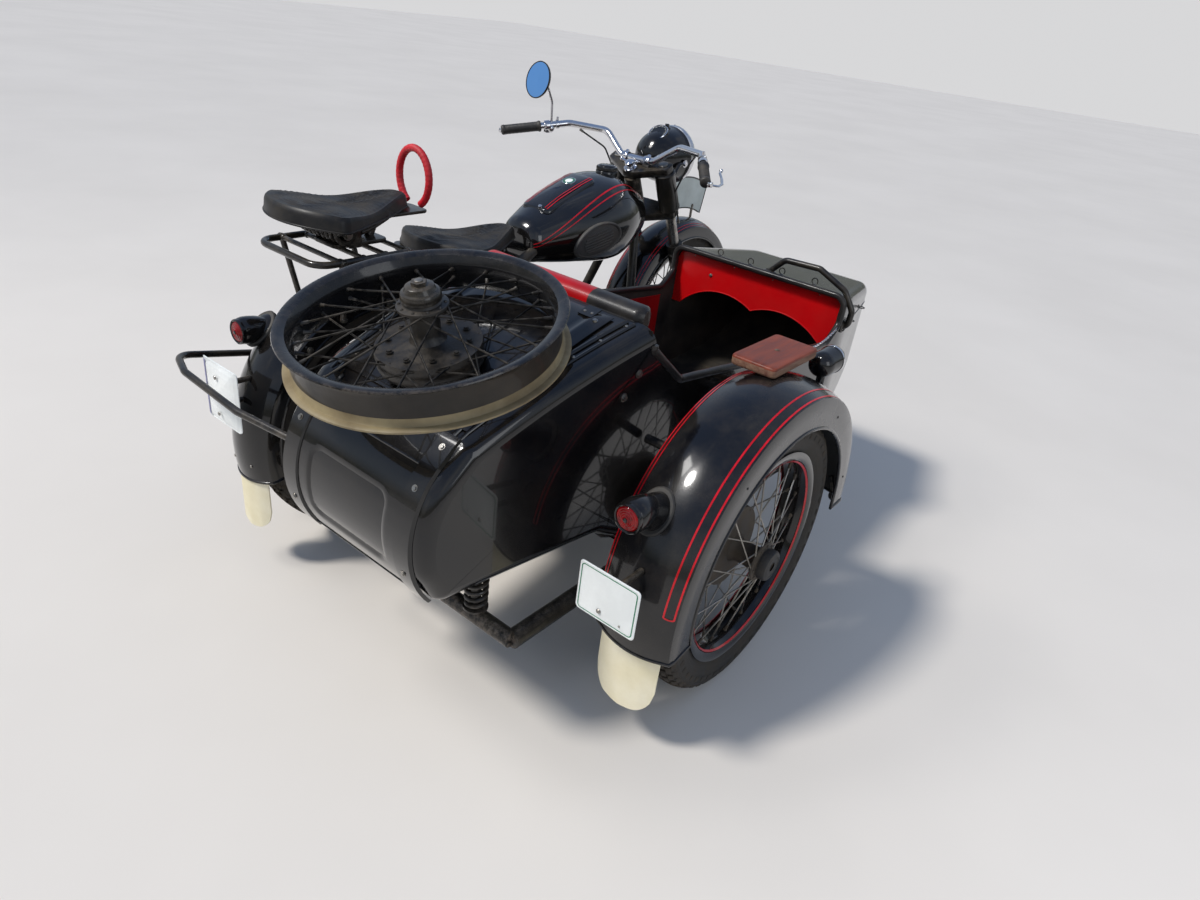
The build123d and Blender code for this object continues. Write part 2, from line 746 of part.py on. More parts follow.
with BuildPart() as grab_hoop:
    hoop_x = pillion_nose_x + 38
    hoop = [
        (hoop_x + 6, bike_y - 28, pillion_base_z),
        (hoop_x, bike_y - 62, 925),
        (hoop_x + 6, bike_y - 40, 1000),
        (hoop_x + 6, bike_y + 40, 1000),
        (hoop_x, bike_y + 62, 925),
        (hoop_x + 6, bike_y + 28, pillion_base_z),
    ]
    tube(hoop, 22, 9)
    add(saddle_mounts.part, mode=Mode.SUBTRACT)
keep(grab_hoop, "grab_hoop")

with BuildPart() as footrests:
    for side in (-1, 1):
        rod((70, bike_y + side * (cradle_half + 4), cradle_z), (70, bike_y + side * 166, cradle_z), 8)
        rod((70, bike_y + side * 158, cradle_z), (70, bike_y + side * 250, cradle_z + 20), 14)
    add(frame.part, mode=Mode.SUBTRACT)
keep(footrests, "footrests")

with BuildPart() as front_plate:
    plate_r = 320.0
    with BuildSketch(side_plane(bike_y - 1)):
        with BuildLine():
            inner = RadiusArc((front_axle_x - 130, 708), (front_axle_x + 130, 700), plate_r)
            edge = Line(inner @ 1, (front_axle_x + 150, 800))
            outer = RadiusArc(edge @ 1, (front_axle_x - 150, 808), -plate_r)
            Line(outer @ 1, inner @ 0)
        make_face()
    extrude(amount=2.0)
    for ahead in (-70, 70):
        rod((front_axle_x + ahead, bike_y, axle_z + 300), (front_axle_x + ahead, bike_y, 735), 5)
    clear_round((front_axle_x, bike_y, axle_z), front_guard_r + 0.2, 60)
keep(front_plate, "front_plate")

# Centre stand folded up behind the gearbox, its feet beside the rear tyre
stand_length = 180.0
with BuildPart() as centre_stand:
    for side in (-1, 1):
        y = bike_y + side * stand_half
        rod((stand_x, y, stand_z), (stand_x - stand_length, y, stand_z + 6), 11)
        rod((stand_x - stand_length, y, stand_z + 6), (stand_x - stand_length - 8, y, stand_z + 6), 15)
    rod((stand_x, bike_y - 119, stand_z), (stand_x, bike_y + 119, stand_z), stand_pin_r)
    rod((stand_x - 70, bike_y - stand_half, stand_z + 2), (stand_x - 70, bike_y + stand_half, stand_z + 2), 8)
keep(centre_stand, "centre_stand")

# Sidecar body: the side view and the plan, crossed, then rounded along the top
car_edge_r = 30.0
tail_half = car_half - tail_taper
deck_half = car_half - deck_taper
nose_half = car_half - nose_taper
nose_corner_r = 80.0
waist_front_x = cowl_x + 40
waist_rear_x = deck_x + 80


def half_at(x):
    """Half width of the body at x, between the boot and the cowl."""
    if x < waist_rear_x:
        share = (x - tail_x + 40) / (waist_rear_x - tail_x + 40)
        return tail_half + (deck_half - tail_half) * share
    return deck_half + (car_half - deck_half) * (x - waist_rear_x) / (waist_front_x - waist_rear_x)


def side_view(grow):
    """Face of the body seen from the side, grown or shrunk all round."""
    with BuildSketch(side_plane(car_y)) as view:
        with BuildLine():
            back = ThreePointArc((tail_x + 14, tail_low_z), (tail_x - 31, 525), (tail_x + 8, 638))
            Line(back @ 1, (shoulder_x, shoulder_z))
            ThreePointArc((shoulder_x, shoulder_z), (-800, 771), (deck_x, deck_z))
            top = Polyline(
                (deck_x, deck_z),
                (cowl_x, cowl_z),
                (nose_x - 50, nose_z),
                (nose_x, nose_z - 60),
            )
            stem = ThreePointArc(top @ 1, (nose_x - 60, 460), (nose_x - 190, 372))
            Polyline(stem @ 1, (250, floor_z), (-520, floor_z), (-660, tail_low_z - 8), back @ 0)
        make_face()
        if grow:
            offset(amount=grow)
    return view.sketch


def hull_stretch(grow, low_x, high_x, rounded):
    """One stretch of the boat shape between two cross planes, its top edges rounded or not."""
    with BuildPart() as block:
        extrude(side_view(grow), amount=car_half + 50, both=True)
        with BuildSketch(Plane.XY) as plan:
            with BuildLine():
                right = [
                    (nose_x + 1, nose_half),
                    (waist_front_x, car_half),
                    (waist_rear_x, deck_half),
                    (tail_x - 40, tail_half),
                ]
                port = [(x, car_y + y) for x, y in right]
                starboard = [(x, car_y - y) for x, y in reversed(right)]
                Polyline(*port, *starboard, close=True)
            make_face()
            if grow:
                offset(amount=grow)
            fillet(plan.vertices().group_by(Axis.X)[-1], nose_corner_r + grow)
        extrude(amount=2 * deck_z, mode=Mode.INTERSECT)
        with Locations(((low_x + high_x) / 2, car_y, deck_z / 2)):
            Box(high_x - low_x, 3 * car_half, 2 * deck_z, mode=Mode.INTERSECT)
        if rounded:
            upper = [
                edge
                for edge in block.edges()
                if edge.center().Z > 600
                and abs(edge.center().Y - car_y) > 120
                and abs(edge.tangent_at(0.5).Y) < 0.5
                and abs(edge.tangent_at(0.5).Z) < 0.95
            ]
            fillet(upper, car_edge_r + grow)
    return block.part


boot_end_x = deck_x + 4


def hull(grow):
    """Whole boat shape: boot, cockpit and cowl, grown or shrunk all round."""
    with BuildPart() as whole:
        add(hull_stretch(grow, tail_x - 100, boot_end_x, True))
        add(hull_stretch(grow, boot_end_x, cowl_x, False))
        add(hull_stretch(grow, cowl_x, nose_x + 100, True))
    return whole.part


hull_outer = hull(0)
hull_inner = hull(-car_sheet)

# Sidecar mudguard, stayed from the body
with BuildPart() as sidecar_fender:
    guard((car_guard_x, car_guard_y, car_guard_z), 0, 190, car_guard_r, car_guard_half, 62, 26, guard_sheet)
    for x, z in ((car_guard_x + 150, car_guard_top - 107), (car_guard_x - 190, car_guard_top - 137)):
        rod((x, car_guard_y + car_guard_half - 2, z), (x, car_stay_y, z), 10)
    add(hull_outer, mode=Mode.SUBTRACT)
keep(sidecar_fender, "sidecar_fender")

# Flaps, plates and tail lamps of the motorcycle and of the sidecar
flap_t = 3.0
with BuildPart() as mud_flaps:
    # Each: guard centre, radius, end angle below the axle, half width, drop at the edge, length
    for centre, radius, below, half, edge_drop, length in (
        ((rear_axle_x, bike_y, axle_z), rear_guard_r, 12, 62.0, 18.9, 140.0),
        ((car_guard_x, car_guard_y, car_guard_z), car_guard_r, 10, 72.0, 15.4, 150.0),
    ):
        x, y, z = centre
        inner = radius - guard_sheet - seat_gap
        back = x - inner * cos(radians(below))
        low = z - inner * sin(radians(below)) - length
        with BuildSketch(Plane.XY.offset(low)) as flap_plan:
            with BuildLine():
                rear = ThreePointArc((back + edge_drop, y - half), (back, y), (back + edge_drop, y + half))
                Line(rear @ 1, (back + edge_drop + flap_t, y + half))
                face = ThreePointArc(
                    (back + edge_drop + flap_t, y + half),
                    (back + flap_t, y),
                    (back + edge_drop + flap_t, y - half),
                )
                Line(face @ 1, rear @ 0)
            make_face()
        extrude(flap_plan.sketch, amount=length + 14)
keep(mud_flaps, "mud_flaps")

plate_t = 2.0
rear_plate_x = -1004.0
car_plate_x = -848.0
with BuildPart() as number_plates:
    # Each: position, half width, height, guard centre and radius that its two studs reach
    for spot, half, rise, centre, radius in (
        ((rear_plate_x, bike_y + 2, 485.0), 70.0, 150.0, (rear_axle_x, bike_y, axle_z), rear_guard_r),
        (
            (car_plate_x, car_guard_y + 9, 430.0), 68.0, 110.0,
            (car_guard_x, car_guard_y, car_guard_z), car_guard_r,
        ),
    ):
        x, y, z = spot
        with BuildSketch(Plane(origin=spot, x_dir=(0, 1, 0), z_dir=(-1, 0, 0))):
            RectangleRounded(2 * half, rise, 8)
        extrude(amount=plate_t)
        for level in (-24, 24):
            rod((x, centre[1], z + level), (x + 130, centre[1], z + level), 7)
        clear_round(centre, radius + 0.2, 60)
keep(number_plates, "number_plates")

lamp_shape = [(0, 0), (0, 30), (14, 33), (40, 31), (70, 22), (92, 10), (96, 0)]
with BuildPart() as tail_lamps:
    # Each: back of the lens, guard centre, and the radii that the shell and its stalk reach
    for spot, centre, radius, foot in (
        ((-914.0, bike_y + 56, 601.0), (rear_axle_x, bike_y, axle_z), rear_guard_r - 2.0, rear_guard_r - 9.2),
        (
            (-800.0, car_guard_y + 22, 578.0), (car_guard_x, car_guard_y, car_guard_z),
            car_guard_r, car_guard_r,
        ),
    ):
        x, y, z = spot
        with BuildSketch(side_plane(y)):
            with BuildLine():
                Polyline(*[(x + ahead, z + r) for ahead, r in lamp_shape], close=True)
            make_face()
        revolve(axis=Axis((0, y, z), (1, 0, 0)))
        clear_round((centre[0], y, centre[2]), radius + 0.4, 60)
        with BuildPart(mode=Mode.PRIVATE) as stalk:
            rod((x + 40, y, z), (centre[0], y, centre[2]), 12)
            clear_round((centre[0], y, centre[2]), foot + 0.4, 60)
        add(stalk.part)
keep(tail_lamps, "tail_lamps")

# Tube bumper from the motorcycle frame round its plate and over to the boot
with BuildPart() as rear_bumper:
    bumper = [
        (rear_axle_x - 20, bike_y + cradle_half, axle_z + 112),
        (-800, bike_y + 122, 500),
        (-1028, bike_y + 118, 548),
        (-1058, bike_y + 30, 548),
        (-1058, bike_y - 180, 535),
        (-1010, car_y + 150, 520),
    ]
    tube(bumper, 22, 8)
    add(frame.part, mode=Mode.SUBTRACT)
    add(hull_outer, mode=Mode.SUBTRACT)
keep(rear_bumper, "rear_bumper")

# Opening of the cockpit, seen from the side: the entry dips between deck and cowl
entry = [
    (deck_x + 4, 900),
    (deck_x + 4, 790),
    (deck_x + 110, 704),
    (cowl_x - 60, sill_z),
    (cowl_x, sill_z + 50),
    (cowl_x, 900),
]
entry_bend = 36.0
lid_front_x = deck_x - 16
lid_rear_x = shoulder_x + 20
lid_half = 178.0
bulkhead_x = deck_x + 2.5
with BuildPart() as sidecar_tub:
    add(hull_outer)
    add(hull_inner, mode=Mode.SUBTRACT)
    with BuildSketch(side_plane(car_y)):
        with BuildLine():
            dip = FilletPolyline(*entry, radius=entry_bend)
            Line(dip @ 1, dip @ 0)
        make_face()
    extrude(amount=car_half + 50, both=True, mode=Mode.SUBTRACT)
    # Boot mouth under the lid, and the bulkhead behind the seat
    with BuildSketch(Plane.XY.offset(shoulder_z - 40)):
        with Locations(((lid_front_x - 20 + lid_rear_x + 24) / 2, car_y)):
            Rectangle(lid_front_x - 20 - lid_rear_x - 24, 2 * lid_half - 44)
    extrude(amount=300, mode=Mode.SUBTRACT)
with BuildPart() as bulkhead:
    add(hull_inner)
    with Locations((bulkhead_x, car_y, 0)):
        Box(car_sheet, 1000, 2400, mode=Mode.INTERSECT)

# Rear panel: the tail of the body between the two seams, with its pressed recess
panel_half = 172.0
panel_low_z = 405.0
panel_high_z = 655.0
with BuildPart() as rear_panel:
    add(sidecar_tub.part)
    with Locations((tail_x, car_y, (panel_low_z + panel_high_z) / 2)):
        Box(120, 2 * panel_half, panel_high_z - panel_low_z, mode=Mode.INTERSECT)
    with BuildSketch(Plane(origin=(tail_x - 60, car_y, 525), x_dir=(0, 1, 0), z_dir=(1, 0, 0))):
        RectangleRounded(220, 150, 28)
    extrude(amount=31.2, mode=Mode.SUBTRACT)
keep(rear_panel, "rear_panel")
with BuildPart() as tub_shell:
    add(sidecar_tub.part)
    add(bulkhead.part)
    with Locations((tail_x, car_y, (panel_low_z + panel_high_z) / 2)):
        Box(
            120,
            2 * panel_half + 2 * seat_gap,
            panel_high_z - panel_low_z + 2 * seat_gap,
            mode=Mode.SUBTRACT,
        )
    # The cowl is a sheet of its own above the waist seam
    with Locations(((cowl_x + nose_x) / 2 + 60, car_y, 800)):
        Box(nose_x - cowl_x + 160, 700, 320, mode=Mode.SUBTRACT)
keep(tub_shell, "sidecar_tub")

with BuildPart() as sidecar_cowl:
    add(sidecar_tub.part)
    with Locations(((cowl_x + nose_x) / 2 + 60, car_y, 800 + seat_gap)):
        Box(nose_x - cowl_x + 160 - 2 * seat_gap, 700, 320, mode=Mode.INTERSECT)
keep(sidecar_cowl, "sidecar_cowl")

# Boot lid: a sheet that follows the deck, hinged along its front edge
with BuildPart() as boot_lid:
    extrude(side_view(car_sheet + seat_gap), amount=lid_half, both=True)
    extrude(side_view(seat_gap), amount=lid_half + 1, both=True, mode=Mode.SUBTRACT)
    with Locations(((lid_front_x + lid_rear_x) / 2, car_y, 800)):
        Box(lid_front_x - lid_rear_x, 2 * lid_half, 300, mode=Mode.INTERSECT)
    for side in (-1, 1):
        with BuildPart(mode=Mode.PRIVATE) as rib:
            extrude(side_view(car_sheet + seat_gap + 2.5), amount=lid_half, both=True)
            extrude(side_view(seat_gap + 1), amount=lid_half + 1, both=True, mode=Mode.SUBTRACT)
            with Locations((-875, car_y + side * (lid_half - 14), 740)):
                Box(140, 5, 300, mode=Mode.INTERSECT)
        add(rib.part)
keep(boot_lid, "boot_lid")

# Spare wheel, tilted with the deck, on a block and post through its hub
spare_x = -908.0
spare_z = 817.0
spare_tilt = 12.0
spare_up = Vector(-sin(radians(spare_tilt)), 0, cos(radians(spare_tilt)))
spare_centre = Vector(spare_x, car_y, spare_z)
spare_place = Location(spare_centre, (0, -spare_tilt, 0))
with BuildPart() as spare_wheel:
    add(wheel_master.part.moved(spare_place))
keep(spare_wheel, "spare_wheel")
with BuildPart() as spare_carrier:
    under = spare_centre - spare_up * (hub_half + seat_gap)
    rod(under - spare_up * 60, under, 58)
    rod(under - spare_up, spare_centre + spare_up * (hub_half + 34), axle_r - 0.2)
    cap = spare_centre + spare_up * (hub_half + seat_gap)
    rod(cap, cap + spare_up * 18, hub_cap_r)
    rod(cap, cap + spare_up * 28, 17)
    with BuildPart(mode=Mode.PRIVATE) as lid_side:
        extrude(side_view(car_sheet + seat_gap), amount=lid_half + 40, both=True)
    add(lid_side.part, mode=Mode.SUBTRACT)
    add(boot_lid.part, mode=Mode.SUBTRACT)
keep(spare_carrier, "spare_carrier")

# Padded trim over the edge of the cockpit, slit to grip the sheet
trim_r = 9.0
with BuildPart() as cockpit_trim:
    for side in (-1, 1):
        inset = car_sheet / 2
        edge = [
            (x, car_y + side * (half_at(x) - inset), z)
            for x, z in (
                (deck_x + 9, 790), (deck_x + 110, 704), (cowl_x - 60, sill_z), (cowl_x - 3, sill_z + 46)
            )
        ]
        tube(edge, entry_bend, trim_r)
    arch = [
        (cowl_x - 2, car_y - car_half + inset, sill_z + 46),
        (cowl_x - 2, car_y - car_half + inset, cowl_z - inset),
        (cowl_x - 2, car_y + car_half - inset, cowl_z - inset),
        (cowl_x - 2, car_y + car_half - inset, sill_z + 46),
    ]
    tube(arch, car_edge_r - inset, trim_r)
    add(tub_shell.part, mode=Mode.SUBTRACT)
    add(sidecar_cowl.part, mode=Mode.SUBTRACT)
keep(cockpit_trim, "cockpit_trim")

# Dash: a red panel under the cowl, its lower edge two arches that meet in a point
dash_x = cowl_x + 14
with BuildPart() as dash_panel:
    with BuildSketch(Plane(origin=(dash_x, car_y, 0), x_dir=(0, 1, 0), z_dir=(1, 0, 0))):
        with BuildLine():
            half = car_half - car_sheet - 0.6
            high = cowl_z - car_sheet - 4
            left = Line((-half + 34, high), (half - 34, high))
            down = ThreePointArc(left @ 1, (half - 10, high - 10), (half, high - 34))
            foot = Polyline(down @ 1, (half, 560), (half - 30, 560))
            one = ThreePointArc(foot @ 1, (half * 0.45, 628), (0, 606))
            two = ThreePointArc(one @ 1, (-half * 0.45, 628), (-half + 30, 560))
            end = Polyline(two @ 1, (-half, 560), (-half, high - 34))
            ThreePointArc(end @ 1, (-half + 10, high - 10), left @ 0)
        make_face()
    extrude(amount=3)
keep(dash_panel, "dash_panel")

lining_t = 2.0
lining_out = hull(-car_sheet - seat_gap)
lining_in = hull(-car_sheet - seat_gap - lining_t)
with BuildPart() as side_linings:
    with BuildSketch(side_plane(car_y)):
        with BuildLine():
            Polyline(
                (-540, 330), (-540, 650), (-440, 650), (cowl_x - 60, 590), (cowl_x - 60, 330), close=True
            )
        make_face()
    extrude(amount=car_half + 50, both=True)
    add(lining_out, mode=Mode.INTERSECT)
    add(lining_in, mode=Mode.SUBTRACT)
keep(side_linings, "side_linings")

# Seat: a cushion on the floor and a back that rolls over the top of the bulkhead
with BuildPart() as seat_cushion:
    with BuildSketch(side_plane(car_y)):
        with BuildLine():
            Polyline((-516, 303.4), (-130, 303.4), (-130, 412), (-574, 424), (-574, 342), close=True)
        make_face()
    extrude(amount=226, both=True)
keep(seat_cushion, "seat_cushion")

with BuildPart() as seat_back:
    with BuildSketch(side_plane(car_y)):
        with BuildLine():
            Polyline((-575.7, 424.4), (-575.7, 850), (-540, 856), (-520, 830), (-500, 422.6), close=True)
        make_face()
    extrude(amount=225, both=True)
keep(seat_back, "seat_back")

with BuildPart() as grab_rail:
    rail_x = cowl_x + 26
    rail = [
        (rail_x, car_y - 26, cowl_z - 20),
        (rail_x, car_y - 70, cowl_z + 44),
        (rail_x, car_y - 178, cowl_z + 48),
        (rail_x, car_y - 264, cowl_z + 10),
        (rail_x, car_y - car_half - 16, cowl_z - 40),
        (rail_x, car_y - car_half - 14, cowl_z - 78),
        (rail_x, car_y - car_half + 12, cowl_z - 96),
    ]
    tube(rail, 16, 9)
    add(hull_outer, mode=Mode.SUBTRACT)
keep(grab_rail, "grab_rail")

# Sidecar chassis: two long tubes, cross tubes, the stub axle and the struts to the motorcycle
chassis_r = 20.0
chassis_z = 255.0
chassis_left_y = car_y + car_half + 19
chassis_right_y = car_y - car_half + 30
stub_y = car_wheel_y + 131
with BuildPart() as sidecar_chassis:
    rails = [
        (-900, chassis_left_y, chassis_z),
        (420, chassis_left_y, chassis_z),
        (520, car_y, chassis_z + 20),
        (420, chassis_right_y, chassis_z),
        (-900, chassis_right_y, chassis_z),
    ]
    tube(rails, 60, chassis_r)
    for x, right in ((-900, chassis_right_y), (car_axle_x, stub_y), (200, chassis_right_y)):
        rod((x, chassis_left_y, chassis_z), (x, right, chassis_z), chassis_r - 2)
    rod((car_axle_x, stub_y, chassis_z - 26), (car_axle_x, stub_y, axle_z + 28), 24)
    rod((car_axle_x, stub_y, axle_z), (car_axle_x, car_wheel_y + hub_half + 3, axle_z), 22)
    rod((car_axle_x, stub_y, axle_z), (car_axle_x, car_wheel_y - hub_half - 14, axle_z), axle_r)
    # Lower couplings and upper struts, each with a clamp round a frame tube
    clamp_y = bike_y - cradle_half
    for x in (engine_x + 35, rear_axle_x + 330):
        rod((x, chassis_left_y, chassis_z), (x, clamp_y - 18, cradle_z), 13)
        rod((x - 20, clamp_y, cradle_z), (x + 20, clamp_y, cradle_z), 21)
    rail_low = Vector(*top_rail(-1)[1])
    rail_high = Vector(*top_rail(-1)[2])
    for share, foot_x in ((0.72, -420), (0.36, -60)):
        spot = rail_low + (rail_high - rail_low) * share
        run = (rail_high - rail_low).normalized()
        rod((foot_x, chassis_left_y, chassis_z), spot + Vector(0, -20, 0), 11)
        rod(spot - run * 18, spot + run * 18, 21)
    add(frame.part, mode=Mode.SUBTRACT)
keep(sidecar_chassis, "sidecar_chassis")

with BuildPart() as body_springs:
    for side in (-1, 1):
        rod((-900, car_y + side * 150, chassis_z + 8), (-900, car_y + side * 150, 410), 26)
        rod((200, car_y + side * 200, chassis_z + 8), (200, car_y + side * 200, floor_z + 20), 26)
    add(sidecar_chassis.part, mode=Mode.SUBTRACT)
    add(hull_outer, mode=Mode.SUBTRACT)
keep(body_springs, "body_springs")

# Wooden pad on top of the sidecar mudguard, level on two packing pieces
pad_x = car_guard_x + 93
pad_y = car_guard_y + 50
pad_z = car_guard_top + 2
with BuildPart() as wood_pad:
    with Locations((pad_x, pad_y, pad_z + 11)):
        Box(200, 104, 22)
    for x in (pad_x - 60, pad_x + 70):
        with Locations((x, pad_y, pad_z - 40)):
            Box(28, 66, 81)
    clear_round((car_guard_x, pad_y, car_guard_z), car_guard_r - 0.5, 80)
keep(wood_pad, "wood_pad")

with BuildPart() as front_lamp:
    lamp_y = car_guard_y - 6
    lamp_level = car_guard_top - 21
    rod((car_guard_x + 199, lamp_y, lamp_level), (car_guard_x + 283, lamp_y, lamp_level), 32)
    rod((car_guard_x + 240, lamp_y, lamp_level), (car_guard_x + 240, lamp_y, lamp_level - 116), 10)
    clear_round((car_guard_x, car_guard_y, car_guard_z), car_guard_r + 0.2, 40)
keep(front_lamp, "front_lamp")

for part in pieces:
    export_step(part, "parts/" + part.label + ".step")
    box = part.bounding_box()
    print(part.label, round(part.volume), box.min, box.max)
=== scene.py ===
"""Dressed scene of a flat-twin motorcycle with a one-seat sidecar on its right.

Metres, +X forward, +Y to the rider's left, +Z up, ground at z = 0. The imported
solids come in as the frame, and the pieces made here ride on its bodies.
"""

import logging
import math
import random
from dataclasses import dataclass, field
from enum import Enum
from typing import Callable, Iterable, Sequence

import bmesh
import bpy
from mathutils import Matrix, Vector


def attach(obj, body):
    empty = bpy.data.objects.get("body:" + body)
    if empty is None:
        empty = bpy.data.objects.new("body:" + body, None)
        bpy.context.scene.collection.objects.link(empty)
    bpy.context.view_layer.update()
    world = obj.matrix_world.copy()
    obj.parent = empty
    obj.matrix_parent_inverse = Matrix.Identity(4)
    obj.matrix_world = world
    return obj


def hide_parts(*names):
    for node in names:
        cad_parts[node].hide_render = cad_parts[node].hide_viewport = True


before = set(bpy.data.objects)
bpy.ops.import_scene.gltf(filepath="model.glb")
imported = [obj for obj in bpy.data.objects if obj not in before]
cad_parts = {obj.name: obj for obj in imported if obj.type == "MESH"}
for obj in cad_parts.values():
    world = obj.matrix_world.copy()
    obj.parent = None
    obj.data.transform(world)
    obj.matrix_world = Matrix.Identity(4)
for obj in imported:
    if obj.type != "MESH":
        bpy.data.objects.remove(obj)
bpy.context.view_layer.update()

log = logging.getLogger("outfit")
logging.basicConfig(level=logging.INFO, format="%(message)s")

# Where the outfit stands, in metres
BIKE_Y = 0.354
REAR_AXLE_X = -0.595
FRONT_AXLE_X = 0.805
AXLE_Z = 0.332
CAR_WHEEL_Y = -0.696
CAR_AXLE_X = -0.390
CAR_Y = -0.237
RAKE = math.radians(27.0)
FORK_SPREAD = 0.092
AXIS_BEHIND = 0.058


def on_bike(x: float, y: float, z: float) -> Vector:
    """Return a point with y measured from the motorcycle's centre plane."""
    return Vector((x, BIKE_Y + y, z))


def on_car(x: float, y: float, z: float) -> Vector:
    """Return a point with y measured from the sidecar's centre plane."""
    return Vector((x, CAR_Y + y, z))


X_AXIS = Vector((1.0, 0.0, 0.0))
Y_AXIS = Vector((0.0, 1.0, 0.0))
Z_AXIS = Vector((0.0, 0.0, 1.0))
LEG_UP = Vector((-math.sin(RAKE), 0.0, math.cos(RAKE)))
LEG_BACK = Vector((-math.cos(RAKE), 0.0, -math.sin(RAKE)))
FRONT_AXLE = on_bike(FRONT_AXLE_X, 0.0, AXLE_Z)
REAR_AXLE = on_bike(REAR_AXLE_X, 0.0, AXLE_Z)
CAR_AXLE = Vector((CAR_AXLE_X, CAR_WHEEL_Y, AXLE_Z))
CAR_GUARD = Vector((-0.375, -0.670, 0.337))
REAR_GUARD_RADIUS = 0.376
CAR_GUARD_RADIUS = 0.400

Point = tuple[float, float]
Ring = list[Vector]
Outline = Sequence[Point]


class Body(Enum):
    """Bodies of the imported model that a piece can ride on."""

    ROOT = "root"
    STEERING = "steering"
    FRONT_WHEEL = "front_wheel_body"
    REAR_WHEEL = "rear_wheel_body"
    CAR_WHEEL = "sidecar_wheel_body"
    BOOT_LID = "boot_lid_body"
    STAND = "stand_body"


class Slot(Enum):
    """Material slots of the record."""

    BLACK = "black_paint"
    TYRE = "tyre_rubber"
    DUSTY = "dusty_paint"
    RUBBER = "black_rubber"
    CHROME = "bright_chrome"
    ALLOY = "bare_alloy"
    RED = "red_vinyl"
    DARK = "dark_vinyl"
    PLATE = "white_plate"
    CREAM = "cream_rubber"
    WOOD = "brown_wood"


def on_fork(up: float, back: float, side: float) -> Vector:
    """Find a point by its place on the fork.

    Args:
        up: Distance up the legs from the axle.
        back: Distance behind the legs.
        side: Distance to the left of the centre plane.

    Returns:
        The point in the shared frame.
    """
    return FRONT_AXLE + LEG_UP * up + LEG_BACK * back + Vector((0.0, side, 0.0))


def lerp(low: float, high: float, share: float) -> float:
    """Return the value a share of the way from low to high."""
    return low + (high - low) * share


def along(table: Sequence[tuple[float, float]], at: float) -> float:
    """Read a smooth curve through a table of (position, value) rows.

    Args:
        table: Rows in rising order of position.
        at: Position to read.

    Returns:
        The value there, held level beyond the ends.
    """
    if at <= table[0][0]:
        return table[0][1]
    if at >= table[-1][0]:
        return table[-1][1]
    slopes = []
    for i, (place, value) in enumerate(table):
        before = table[max(i - 1, 0)]
        after = table[min(i + 1, len(table) - 1)]
        left = (value - before[1]) / (place - before[0]) if i else None
        right = (after[1] - value) / (after[0] - place) if i < len(table) - 1 else None
        if left is None or right is None:
            slopes.append(left if right is None else right)
        elif left * right <= 0:
            slopes.append(0.0)
        else:
            slopes.append(2 * left * right / (left + right))
    for i in range(len(table) - 1):
        low, high = table[i], table[i + 1]
        if at <= high[0]:
            span = high[0] - low[0]
            t = (at - low[0]) / span
            a = (1 + 2 * t) * (1 - t) ** 2
            b = t * (1 - t) ** 2
            c = t * t * (3 - 2 * t)
            d = t * t * (t - 1)
            return a * low[1] + b * span * slopes[i] + c * high[1] + d * span * slopes[i + 1]
    return table[-1][1]


def frame_of(direction: Vector, hint: Vector = Z_AXIS) -> tuple[Vector, Vector, Vector]:
    """Build three axes around a direction.

    Args:
        direction: The third axis.
        hint: Direction that the second axis leans to.

    Returns:
        Unit axes (across, up, direction).
    """
    forward = direction.normalized()
    if abs(forward.dot(hint)) > 0.98:
        hint = X_AXIS if abs(forward.dot(X_AXIS)) < 0.9 else Y_AXIS
    across = hint.cross(forward).normalized()
    return across, forward.cross(across), forward


def rounded_route(corners: Sequence[Vector], bend: float, steps: int = 6) -> Ring:
    """Round the corners of a route with arcs.

    Args:
        corners: Corner points of the route.
        bend: Radius of each arc.
        steps: Points on each arc.

    Returns:
        Points along the route.
    """
    route = [Vector(corners[0])]
    for i in range(1, len(corners) - 1):
        corner = Vector(corners[i])
        back = Vector(corners[i - 1]) - corner
        ahead = Vector(corners[i + 1]) - corner
        half = back.angle(ahead) / 2
        if half > math.radians(88.5):
            route.append(corner)
            continue
        reach = min(bend / math.tan(half), back.length * 0.48, ahead.length * 0.48)
        radius = reach * math.tan(half)
        back.normalize()
        ahead.normalize()
        middle = corner + (back + ahead).normalized() * (radius / math.sin(half))
        start = corner + back * reach - middle
        end = corner + ahead * reach - middle
        sweep = start.angle(end)
        for k in range(steps + 1):
            share = k / steps
            low = math.sin((1 - share) * sweep) / math.sin(sweep)
            high = math.sin(share * sweep) / math.sin(sweep)
            route.append(middle + start * low + end * high)
    route.append(Vector(corners[-1]))
    return route


def circle(centre: Vector, across: Vector, up: Vector, radius: float, count: int) -> Ring:
    """Return a ring of points on a circle.

    Args:
        centre: Middle point.
        across: First direction of its plane.
        up: Second direction of its plane.
        radius: Radius.
        count: Points round it.

    Returns:
        The points of the circle.
    """
    turn = 2 * math.pi / count
    return [
        centre + across * (radius * math.cos(i * turn)) + up * (radius * math.sin(i * turn))
        for i in range(count)
    ]


def hexagon(radius: float, lean: float = 0.0) -> list[tuple[float, float]]:
    """Return the corners of a nut, turned by a lean in degrees."""
    turns = [math.radians(60 * i + lean) for i in range(6)]
    return [(radius * math.cos(turn), radius * math.sin(turn)) for turn in turns]


def border_of(rows: Sequence[list]) -> list:
    """Return the points round the edge of a grid of rows."""
    return rows[0] + [row[-1] for row in rows[1:]] + rows[-1][-2::-1] + [row[0] for row in rows[-2:0:-1]]


